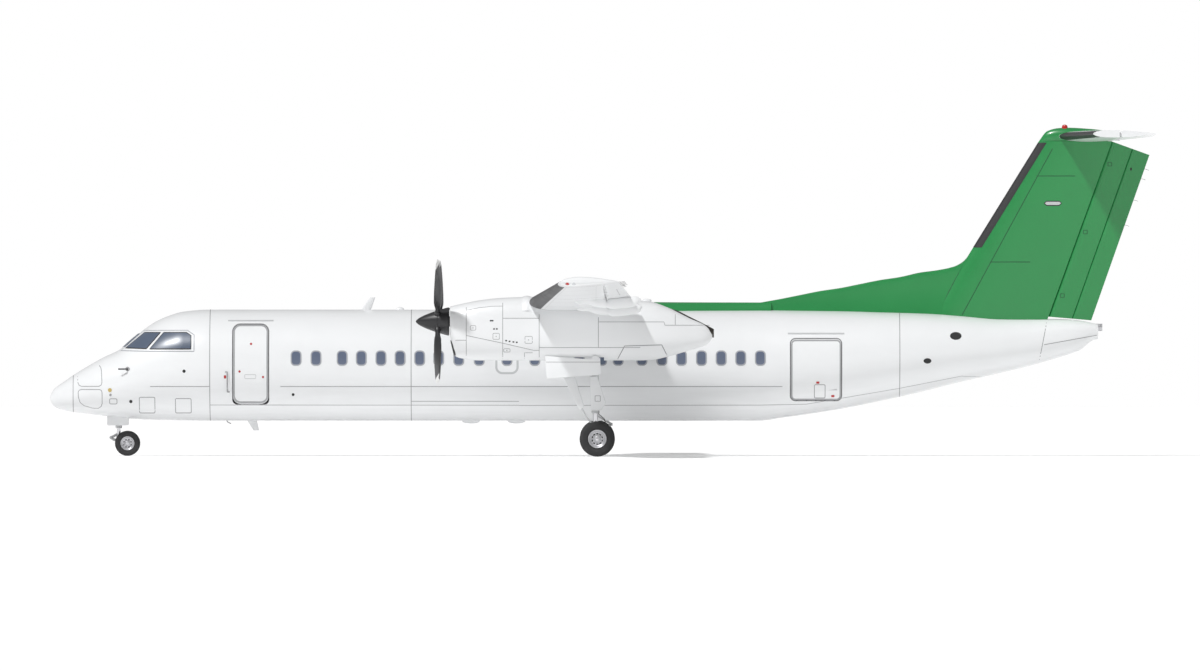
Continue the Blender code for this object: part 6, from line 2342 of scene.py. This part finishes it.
@dataclass(frozen=True)
class Tail:
    """Dorsal fin, fin with its cap, rudders, tailplane and elevators."""

    foot_z: float = 3.100
    top_z: float = 7.290
    dorsal: tuple[tuple[float, float], ...] = tuple(side_view(
        (760.5, 302.5), (780.0, 299.0), (800.0, 295.0), (820.0, 291.0), (840.0, 288.0), (860.0, 284.0),
        (880.0, 280.0), (900.0, 277.0), (920.0, 272.5), (937.0, 270.2), (953.4, 266.7), (961.0, 263.0),
        (966.5, 258.0), (971.0, 251.0)))
    dorsal_foot_half: float = 0.17
    dorsal_foot_z: float = 3.12
    cap: Table = (
        (10.165, 7.300, 7.255, 0.030),
        (10.376, 7.560, 7.230, 0.110),
        (10.640, 7.630, 7.225, 0.150),
        (10.860, 7.640, 7.225, 0.165),
        (11.400, 7.610, 7.225, 0.160),
        (11.790, 7.565, 7.240, 0.120),
    )
    beacon_x: float = 10.785
    notches: tuple[float, float, float] = (3.73, 5.21, 6.79)
    plane: Table = (
        (0.000, 10.620, 7.436, 2.220, 0.112),
        (3.960, 11.401, 7.468, 1.439, 0.119),
    )
    hinge_x: float = 12.080
    elevator_span: tuple[float, float] = (0.190, 3.900)
    fin_lines: tuple[tuple[tuple[float, float], ...], ...] = (
        ((1052.4, 148.7), (962.0, 314.9)),
        ((964.6, 261.5), (937.0, 314.1)),
        ((1075.0, 176.0), (1036.5, 176.0)),
        ((1030.0, 262.0), (990.0, 262.0)),
    )

    def build(self) -> None:
        """Make the whole tail."""
        fixed = PieceSet("tail_trim", "airframe")
        self.build_fin(fixed)
        self.build_dorsal()
        self.build_rudders()
        self.build_plane(fixed)
        fixed.build()

    def build_fin(self, fixed: PieceSet) -> None:
        """The fin, its cap, beacon, boot, slot light and joints.

        Args:
            fixed: What stays on the tail, by finish.
        """
        bm = bmesh.new()
        add_skin(bm, [FIN.ring(z) for z in spread(self.foot_z, self.top_z + 0.035, 12)])
        columns = [monotone([row[0] for row in self.cap], [row[k] for row in self.cap]) for k in (1, 2, 3)]
        rings = []
        for x in eased(self.cap[0][0], self.cap[-1][0], 26):
            crown, foot, half = (column(x) for column in columns)
            turns = [math.tau * step / 40 for step in range(40)]
            rings.append([Vector((x, half * math.cos(a),
                                  (crown + foot) / 2 + (crown - foot) / 2 * math.sin(a)))
                          for a in turns])
        add_skin(bm, rings)
        dress(finish_piece("fin_skin", bm, Finishes.GREEN), "airframe", Finishes.GREEN, "fin")
        profile = ((-0.05, 0.074), (0.0, 0.074), (0.010, 0.070), (0.045, 0.062), (0.062, 0.045),
                   (0.072, 0.016))
        add_turned(fixed[Finishes.RED_LENS], profile, Vector((self.beacon_x, 0.0, 7.640)), Vector((0, 0, 1)),
                   40)
        zs = spread(4.85, self.top_z, 14)
        rings = []
        for z in zs:
            edge = FIN.values(z)[0]
            xs = eased(edge, edge + 0.20, 9)
            near = [Vector((x, -FIN.half(x, z) - 0.0025, z)) for x in xs]
            far = [Vector((x, FIN.half(x, z) + 0.0025, z)) for x in xs]
            near[0].x = far[0].x = edge - 0.004
            rings.append(near[::-1] + far[1:])
        add_skin(fixed[Finishes.BOOT], rings)
        for side in Side:
            flank, outward = FIN.flank(side), Vector((0.0, side.sign, 0.0))
            for line in self.fin_lines:
                add_ribbon(fixed[Finishes.GREEN_SEAM], flank, side_view(*line), 0.018, outward, step=0.2)
            slot = side_view((1044.2, 203.3), (1046.4, 201.4), (1059.4, 201.4), (1061.2, 203.3),
                             (1059.0, 205.4),
                             (1046.6, 205.4))
            add_patch(fixed[Finishes.FAINT_SEAM], flank, slot, outward, 0.003)
            add_band(fixed[Finishes.BOOT], flank, slot, 0.026, outward, 0.004)

    def build_dorsal(self) -> None:
        """The long dorsal fin that runs up to the fin."""
        xs, zs = [x for x, _ in self.dorsal], [z for _, z in self.dorsal]
        crest = monotone(xs, zs)
        rings = []
        for x in [*spread(xs[0], xs[-4], 44), *spread(xs[-4], xs[-1], 16)[1:]]:
            crown = crest(x)
            half = 0.030 + 0.035 * min(1.0, (x - xs[0]) / 2.0)
            rise = crown - self.dorsal_foot_z
            ring = []
            for step in range(25):
                turn = math.pi * step / 24
                across, up = math.cos(turn), math.sin(turn)
                skirt = (1.0 - up) ** 2 * (self.dorsal_foot_half - half)
                ring.append(Vector((x, math.copysign(half * abs(across) ** 0.35 + skirt * abs(across),
                                                     across),
                                    self.dorsal_foot_z + rise * up)))
            rings.append(ring)
        dorsal = skin("dorsal_skin", rings, Finishes.GREEN)
        dress(dorsal, "airframe", Finishes.GREEN, "dorsal_fin")

    def build_rudders(self) -> None:
        """Both rudders with the brackets and the lines of their hinges."""
        def foot(x: float) -> float:
            """Lower edge of the rudders."""
            return 3.232 - 0.085 * (x - 10.480)

        def top(x: float) -> float:
            """Upper edge of the rudders."""
            return self.top_z - 0.360 * (x - 11.960)

        for name, body, columns, node in (("rudder_skin", "fore_rudder", (1, 2), "rudder"),
                                          ("trailing_rudder_skin", "aft_rudder", (2, 3), "trailing_rudder")):
            low, high = FIN.rudder_ring(foot, columns), FIN.rudder_ring(top, columns)
            rings = [[a.lerp(b, share) for a, b in zip(low, high)] for share in spread(0.0, 1.0, 14)]
            dress(skin(name, rings, Finishes.GREEN), body, Finishes.GREEN, node)
        fore = PieceSet("fore_rudder_trim", "fore_rudder")
        aft = PieceSet("aft_rudder_trim", "aft_rudder")
        for side in Side:
            flank, outward = FIN.flank(side), Vector((0.0, side.sign, 0.0))
            for z in self.notches:
                x = FIN.values(z)[1]
                plate = rounded((x + 0.012, x + 0.105), (z - 0.042, z + 0.042), 0.008, steps=2)
                add_band(fore[Finishes.GREEN_SEAM], flank, plate, 0.016, outward, 0.002)
            # A small flat near-black patch of painted shade on the trailing rudder, aft of its upper hinge.
            x = FIN.values(self.notches[2])[2] + 0.05
            spot = rounded((x - 0.02, x + 0.02), (self.notches[2] - 0.15, self.notches[2] - 0.08), 0.019)
            add_patch(aft[Finishes.DARK], flank, spot, outward, 0.002)
        for row in (169.0, 178.7, 200.0, 225.0):
            z = photo_z(row)
            tip = Vector((FIN.values(z)[3] - 0.01, 0.0, z))
            add_tube(aft[Finishes.BOOT],
                     [tip, tip + Vector((0.06, 0, -0.01)), tip + Vector((0.11, 0, -0.03))],
                     0.004, 6)
        fore.build()
        aft.build()

    def plane_half(self, x: float, y: float) -> float:
        """Half thickness of the tailplane."""
        edge, _, chord, ratio = between(self.plane, abs(y))
        return chord * section_half(min(max((x - edge) / chord, 0.0), 1.0), ratio) + 0.002

    def plane_ring(self, y: float, front: float, rear: float, grow: float = 0.0) -> Ring:
        """Section of the tailplane between two stations.

        Args:
            y: Distance from the middle.
            front: First station.
            rear: Last station.
            grow: How far outside the skin it lies.

        Returns:
            The section's corners, in order.
        """
        middle = between(self.plane, abs(y))[1]
        xs = eased(front, rear, 20)
        upper = [Vector((x, y, middle + self.plane_half(x, y) + grow)) for x in xs]
        lower = [Vector((x, y, middle - self.plane_half(x, y) - grow)) for x in xs]
        upper[0].x -= grow
        lower[0].x -= grow
        return upper[::-1] + lower

    def build_plane(self, fixed: PieceSet) -> None:
        """The tailplane with its boots, and the elevators behind it.

        Args:
            fixed: What stays on the tail, by finish.
        """
        tip = self.plane[1][0]
        rings = []
        for y in spread(-tip, tip, 25):
            edge = between(self.plane, abs(y))[0]
            rear = self.hinge_x - self.plane_half(self.hinge_x, y) - 0.012
            rings.append(self.plane_ring(y, edge, rear))
        dress(skin("tailplane_skin", rings, Finishes.WHITE), "airframe", Finishes.WHITE, "tailplane")
        for side in Side:
            rings = []
            for y in spread(0.20, tip - 0.12, 12):
                edge = between(self.plane, y)[0]
                rings.append(self.plane_ring(side.sign * y, edge, edge + 0.16, 0.0025))
            add_skin(fixed[Finishes.BOOT], rings)
            rings = []
            for y in spread(*self.elevator_span, 10):
                rings.append(self.elevator_ring(side.sign * y))
            elevator = skin(f"elevator_skin_{side.word}", rings, Finishes.WHITE)
            dress(elevator, f"{side.word}_elevator", Finishes.WHITE, f"elevator_{side.word}")
            for y in (0.90, 3.00):
                middle = between(self.plane, y)[1] - self.plane_half(self.hinge_x, y)
                add_box(fixed[Finishes.WHITE], (self.hinge_x - 0.16, side.sign * y - 0.012, middle - 0.012),
                        (self.hinge_x + 0.01, side.sign * y + 0.012, middle + 0.02), 0.005)

    def elevator_ring(self, y: float) -> Ring:
        """Elevator section with a round nose about its hinge.

        Args:
            y: Distance from the middle.

        Returns:
            The section's corners, in order.
        """
        edge, middle, chord, _ = between(self.plane, abs(y))
        radius = self.plane_half(self.hinge_x, y)
        turns = [math.pi / 2 + math.pi * step / 14 for step in range(15)]
        points = [(self.hinge_x + radius * math.cos(a), radius * math.sin(a)) for a in turns]
        rear = [(x, self.plane_half(x, y)) for x in spread(self.hinge_x, edge + chord, 6)[1:]]
        points += [(x, -half) for x, half in rear] + rear[::-1]
        return [Vector((x, y, middle + z)) for x, z in points]


@dataclass(frozen=True)
class WheelSet:
    """Two wheels on one axle, with their tyres and bolts."""

    name: str
    body: str
    axle: tuple[float, float, float]
    radius: float
    rim: float
    width: float
    twin: float
    wheel_node: str
    tyre_nodes: tuple[str, str]
    bolts: int

    def build(self) -> None:
        """Make the wheels, the tyres and the bolts."""
        centre = Vector(self.axle)
        axis = Vector((0.0, 1.0, 0.0))
        half, rim = self.width * 0.42, self.rim
        wheels = bmesh.new()
        places = []
        for sign in (-1.0, 1.0):
            out = axis * sign
            hub = centre + out * self.twin
            profile = ((-half, rim - 0.001), (-half, rim * 0.93), (-half * 0.4, rim * 0.86),
                       (-half * 0.4, 0.06),
                       (half * 0.20, 0.06), (half * 0.55, rim * 0.17), (half * 0.62, rim * 0.24),
                       (half * 0.50, rim * 0.33), (half * 0.22, rim * 0.42), (half * 0.18, rim * 0.62),
                       (half * 0.42, rim * 0.80), (half * 0.80, rim * 0.86), (half * 0.97, rim * 0.92),
                       (half, rim * 0.96), (half, rim - 0.001))
            add_turned(wheels, profile, hub, out, 72, looped=True)
            add_turned(wheels, ((half * 0.1, rim * 0.30), (half * 0.75, rim * 0.27),
                                (half * 0.88, rim * 0.20),
                                (half * 0.90, rim * 0.05)), hub, out, 40)
            for index in range(self.bolts):
                turn = math.tau * index / self.bolts
                spot = Vector((math.cos(turn), 0.0, math.sin(turn))) * rim * 0.66
                places.append((hub + spot + out * half * 0.20, out))
        wheel = finish_piece(f"{self.name}_hubs", wheels, Finishes.ALLOY)
        dress(wheel, self.body, Finishes.ALLOY, self.wheel_node)
        bolt = bmesh.new()
        add_turned(bolt, ((0.0, 0.016), (0.012, 0.016), (0.016, 0.013), (0.016, 0.007), (0.030, 0.006)),
                   Vector(), Vector((0, 0, 1)), 6)
        bolts = COPIES.build(f"{self.name}_bolts", bolt, places, Finishes.STEEL, rim / 0.212)
        dress(bolts, self.body, Finishes.STEEL)
        # Near-black discs on the wheel webs: painted shade standing for the holes in them.
        hole_shade = bmesh.new()
        add_turned(hole_shade, ((-0.004, 0.025), (0.0015, 0.025)), Vector(), Vector((0, 0, 1)), 16)
        shift = math.pi / self.bolts
        spots = []
        for spot, out in places:
            hub = centre + out * self.twin
            rel = spot - hub - out * half * 0.20
            turned_rel = Vector((rel.x * math.cos(shift) - rel.z * math.sin(shift), 0.0,
                                 rel.x * math.sin(shift) + rel.z * math.cos(shift)))
            spots.append((hub + turned_rel * (0.545 / 0.66) + out * half * 0.19, out))
        dress(COPIES.build(f"{self.name}_holes", hole_shade, spots, Finishes.DARK, rim / 0.212), self.body,
              Finishes.DARK)
        for sign, node in zip((-1.0, 1.0), self.tyre_nodes):
            tyre = turned(f"{self.name}_tyre_{'port' if sign < 0 else 'starboard'}", self.tyre_profile(),
                          centre + axis * self.twin * sign, axis * sign, Finishes.RUBBER, 96, looped=True)
            dress(tyre, self.body, Finishes.RUBBER, node)

    def tyre_profile(self) -> list[tuple[float, float]]:
        """Half section of the tyre with four tread grooves."""
        half, depth, rim = self.width / 2.0, self.radius - self.rim, self.rim
        side = [(-half * 0.55, rim), (-half * 0.80, rim + depth * 0.08), (-half * 0.95, rim + depth * 0.35),
                (-half, rim + depth * 0.60), (-half * 0.93, rim + depth * 0.78),
                (-half * 0.80, self.radius - depth * 0.09),
                (-half * 0.66, self.radius - depth * 0.025)]
        tread = []
        for centre in (-0.42, -0.14, 0.14, 0.42):
            for offset, dip in ((-0.045, 0.0), (-0.035, 0.009), (0.035, 0.009), (0.045, 0.0)):
                tread.append((half * (centre + offset), self.radius - dip))
        return side + tread + [(-along, radius) for along, radius in reversed(side)]


@dataclass(frozen=True)
class MainGear:
    """One main leg with its fairings, doors, links, hoses and wheels."""

    side: Side
    y: float = 3.940
    axle_x: float = -0.098
    axle_z: float = 0.409
    leg_x: float = -0.139
    door: tuple[tuple[float, float], ...] = tuple(side_view(
        (545.5, 355.6), (591.4, 359.5), (592.2, 356.2), (594.5, 355.4), (597.0, 356.0), (600.2, 358.2),
        (600.8, 374.4), (547.2, 378.4)))
    fairing: tuple[tuple[float, float], ...] = tuple(side_view(
        (589.7, 375.8), (597.4, 375.8), (606.0, 402.8), (601.0, 410.2), (591.2, 410.2)))
    strut: tuple[tuple[float, float], ...] = tuple(side_view(
        (560.0, 370.0), (573.0, 370.0), (584.5, 406.5), (579.6, 410.3)))

    def build(self) -> None:
        """Make the leg and what it carries."""
        word, y = self.side.word, self.side.sign * self.y
        leg = PieceSet(f"main_leg_{word}", "airframe")
        axis = Vector((0, 0, 1))
        foot = Vector((self.leg_x, y, 0.0))
        steel, enamel = leg[Finishes.STEEL], leg[Finishes.GEAR]
        add_turned(steel, ((0.60, 0.062), (0.62, 0.064), (1.15, 0.064)), foot, axis, 40)
        add_turned(enamel, ((1.00, 0.070), (1.01, 0.095), (1.05, 0.095), (1.06, 0.086), (1.14, 0.086),
                            (1.15, 0.080),
                            (2.695, 0.080)), foot, axis, 40)
        add_turned(enamel, ((0.42, 0.050), (0.46, 0.080), (0.60, 0.080), (0.64, 0.070), (0.66, 0.066)), foot,
                   axis, 40)
        centre = Vector((self.axle_x, y, self.axle_z))
        across = Vector((0, 1, 0))
        add_turned(enamel, ((-0.075, 0.085), (-0.070, 0.095), (0.070, 0.095), (0.075, 0.085)), centre, across,
                   40)
        add_turned(steel, ((-0.325, 0.030), (-0.32, 0.040), (0.32, 0.040), (0.325, 0.030)), centre, across,
                   32)
        add_turned(enamel, ((-0.28, 0.055), (-0.28, 0.060), (0.28, 0.060), (0.28, 0.055)),
                   Vector((self.leg_x, y, 2.56)), across, 28)
        # Near-black drums beside the axle, inside the wheels: painted shade in the hubs.
        for sign in (-1.0, 1.0):
            add_turned(leg[Finishes.DARK], ((0.085, 0.060), (0.085, 0.150), (0.12, 0.165), (0.135, 0.165),
                                            (0.135, 0.060)), centre, across * sign, 40)
        self.build_links(leg, y)
        leg.build()
        for piece, node in ((f"main_leg_{word}_gear_enamel", "main_leg_"), (f"main_leg_{word}_white_enamel",
                                                                           "drag_strut_")):
            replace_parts(bpy.data.objects[piece], node + word)
        self.build_doors(word, y)
        WheelSet(f"main_wheels_{word}", f"{word}_main_wheels", tuple(centre), 0.409, 0.212, 0.250, 0.230,
                 f"main_wheels_{word}", (f"main_tyre_port_{word}", f"main_tyre_starboard_{word}"), 10).build()

    def build_links(self, leg: PieceSet, y: float) -> None:
        """Fairings of leg and strut, the drag rod, torque links and hoses.

        Args:
            leg: What stands on the leg, by finish.
            y: The leg's place.
        """
        white, enamel = leg[Finishes.WHITE], leg[Finishes.GEAR]
        self.add_plate(white, self.fairing, y, 0.105, 0.022)
        self.add_plate(white, self.strut, y, 0.050, 0.018)
        for offset in (-0.028, 0.028):
            rod = [Vector((-0.465, y + offset, 1.13)), Vector((-0.36, y + offset, 0.92)),
                   Vector((-0.22, y + offset, 0.76))]
            add_tube(enamel, rod, 0.022, 14)
        add_turned(enamel, ((-0.075, 0.035), (-0.070, 0.042), (0.070, 0.042), (0.075, 0.035)),
                   Vector((-0.22, y, 0.76)), Vector((0, 1, 0)), 24)
        apex = Vector((0.235, y, 0.735))
        for height in (0.945, 0.600):
            root = Vector((self.leg_x + 0.05, y, height))
            for offset in (-0.045, 0.045):
                add_tube(enamel, [root + Vector((0, offset, 0)), apex + Vector((0, offset * 0.35, 0))], 0.016,
                         12)
        add_turned(enamel, ((-0.045, 0.022), (-0.040, 0.026), (0.040, 0.026), (0.045, 0.022)), apex,
                   Vector((0, 1, 0)), 20)
        for offset in (-0.05, 0.05):
            hose = [Vector((self.leg_x + 0.075, y + offset, z)) for z in spread(1.60, 0.98, 6)]
            hose += [Vector((0.06, y + offset * 1.2, 0.88)), Vector((0.10, y + offset * 1.5, 0.74)),
                     Vector((0.05, y + offset * 1.7, 0.60)), Vector((-0.03, y + offset * 1.8, 0.50))]
            add_tube(leg[Finishes.HOSE], hose, 0.009, 8)
        plate = rounded((photo_x(595.1), photo_x(600.3)), (photo_z(400.8), photo_z(395.4)), 0.01)
        for way in (-1.0, 1.0):
            def flat(x: float, z: float, way: float = way) -> Vector:
                """The flat side of the leg's fairing."""
                return Vector((x, y + way * 0.105, z))
            add_band(leg[Finishes.SEAM], flat, plate, 0.012, Vector((0, way, 0)), 0.002)

    def add_plate(self, bm: bmesh.types.BMesh, outline: Outline, y: float, half: float, bevel: float) -> None:
        """Add a flat form with rounded edges along Y.

        Args:
            bm: The mesh that takes it.
            outline: Its (x, z) outline.
            y: Its middle.
            half: Half its thickness.
            bevel: How far its edges are rounded.
        """
        part = bmesh.new()
        add_prism(part, outline, y - half, y + half)
        edges = [edge for edge in part.edges if abs(edge.verts[0].co.y - edge.verts[1].co.y) < 1e-6]
        bmesh.ops.bevel(part, geom=edges, offset=bevel, segments=3, affect="EDGES", profile=0.5)
        mesh = bpy.data.meshes.new("plate")
        part.to_mesh(mesh)
        part.free()
        bm.from_mesh(mesh)
        bpy.data.meshes.remove(mesh)

    def build_doors(self, word: str, y: float) -> None:
        """The bay doors that hang beside the leg, with a fold line and arms.

        Args:
            word: Left or right, for the names.
            y: The leg's place.
        """
        for name, way in (("port", -1.0), ("starboard", 1.0)):
            bm = bmesh.new()
            self.add_plate(bm, self.door, y + way * 0.410, 0.014, 0.005)
            door = finish_piece(f"gear_door_skin_{name}_{word}", bm, Finishes.WHITE)
            dress(door, "airframe", Finishes.WHITE, f"gear_door_{name}_{word}")
        arms = PieceSet(f"gear_door_arms_{word}", "airframe")
        for way in (-1.0, 1.0):
            def flat(x: float, z: float, way: float = way) -> Vector:
                """The outer side of a bay door."""
                return Vector((x, y + way * 0.424, z))
            add_ribbon(arms[Finishes.SEAM], flat, side_view((546.5, 361.9), (600.5, 361.9)), 0.012,
                       Vector((0, way, 0)))
            for x in (-1.05, -0.25):
                add_tube(arms[Finishes.GEAR],
                         [Vector((x, y + way * 0.40, 2.02)), Vector((x + 0.03, y + way * 0.22, 2.26)),
                                               Vector((x + 0.05, y + way * 0.20, 2.40))], 0.014, 10)
        arms.build()


@dataclass(frozen=True)
class NoseGear:
    """The nose leg, its steered fork, doors and wheels."""

    leg_x: float = -11.240
    axle: tuple[float, float, float] = (-11.033, 0.0, 0.292)
    turn_z: float = 0.640

    def build(self) -> None:
        """Make the fixed leg, the fork that turns and the wheels."""
        foot, axis = Vector((self.leg_x, 0.0, 0.0)), Vector((0, 0, 1))
        fixed = PieceSet("nose_leg", "airframe")
        add_turned(fixed[Finishes.GEAR],
                   ((self.turn_z + 0.002, 0.070), (0.66, 0.076), (0.72, 0.076), (0.73, 0.064),
                                          (0.95, 0.064), (0.96, 0.074), (1.195, 0.074)), foot, axis, 36)
        add_tube(fixed[Finishes.GEAR], [Vector((-11.24, 0, 0.90)), Vector((-11.10, 0, 1.04)),
                                        Vector((-11.06, 0, 1.17))],
                 0.024, 14)
        for offset in (-0.05, 0.05):
            add_tube(fixed[Finishes.HOSE], [Vector((-11.30, offset, 1.10)), Vector((-11.32, offset, 0.95)),
                                            Vector((-11.31, offset, 0.80)), Vector((-11.29, offset, 0.70))],
                     0.007, 8)
        add_turned(fixed[Finishes.CLEAR_LENS], ((0.0, 0.040), (0.012, 0.040), (0.018, 0.030)),
                   Vector((-11.345, 0.0, 0.86)), Vector((-1, 0, 0)), 28)
        add_turned(fixed[Finishes.GEAR], ((-0.03, 0.020), (0.0, 0.044), (0.012, 0.046)),
                   Vector((-11.335, 0.0, 0.86)),
                   Vector((-1, 0, 0)), 28)
        fixed.build()
        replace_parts(bpy.data.objects["nose_leg_gear_enamel"], "nose_leg")
        fork = PieceSet("nose_fork", "nose_steering")
        enamel, steel = fork[Finishes.GEAR], fork[Finishes.STEEL]
        add_turned(steel, ((0.46, 0.046), (self.turn_z - 0.002, 0.046)), foot, axis, 36)
        add_turned(enamel, ((0.395, 0.030), (0.41, 0.054), (0.50, 0.054), (0.51, 0.048)), foot, axis, 36)
        wheel = Vector(self.axle)
        knee = Vector((-11.420, 0.0, 0.425))
        add_tube(enamel, [Vector((-11.24, 0, 0.52)), knee + Vector((0.04, 0, 0.02)), knee], 0.030, 16)
        add_tube(enamel, [knee, knee + Vector((0.05, 0, -0.045)), wheel + Vector((-0.06, 0, 0.02)), wheel],
                 0.032, 16)
        add_turned(enamel, ((-0.045, 0.025), (-0.040, 0.036), (0.040, 0.036), (0.045, 0.025)), knee,
                   Vector((0, 1, 0)), 24)
        add_turned(enamel, ((-0.055, 0.062), (-0.050, 0.070), (0.050, 0.070), (0.055, 0.062)), wheel,
                   Vector((0, 1, 0)), 36)
        add_turned(steel, ((-0.205, 0.030), (-0.20, 0.038), (0.20, 0.038), (0.205, 0.030)), wheel,
                   Vector((0, 1, 0)), 28)
        fork.build()
        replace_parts(bpy.data.objects["nose_fork_gear_enamel"], "nose_fork")
        outline = rounded((photo_x(107.2), photo_x(128.7)), (photo_z(425.4), 0.985), 0.035)
        for side in Side:
            bm = bmesh.new()
            MainGear(side).add_plate(bm, outline, side.sign * 0.1875, 0.011, 0.004)
            dress(finish_piece(f"nose_door_skin_{side.word}", bm, Finishes.WHITE), "airframe", Finishes.WHITE,
                  "nose_door_" + side.word)
        WheelSet("nose_wheels", "nose_wheel_pair", self.axle, 0.292, 0.161, 0.165, 0.150, "nose_wheels",
                 ("nose_tyre_left", "nose_tyre_right"), 8).build()


def main() -> None:
    """Build every part of the airliner in order."""
    logging.basicConfig(level=logging.INFO, format="%(message)s")
    Studio().build()
    parts = [HullSkin(), CabinWindows(), CockpitGlazing(), HullSeams(), HullFittings(), EntryDoor(),
             HoldDoor(), Wing()]
    parts += [maker(side) for side in Side for maker in (Nacelle, EngineCore, Propeller)]
    parts += [Tail(), NoseGear(), *(MainGear(side) for side in Side)]
    for part in parts:
        LOG.info("%s", type(part).__name__)
        part.build()


if __name__ == "__main__":
    main()
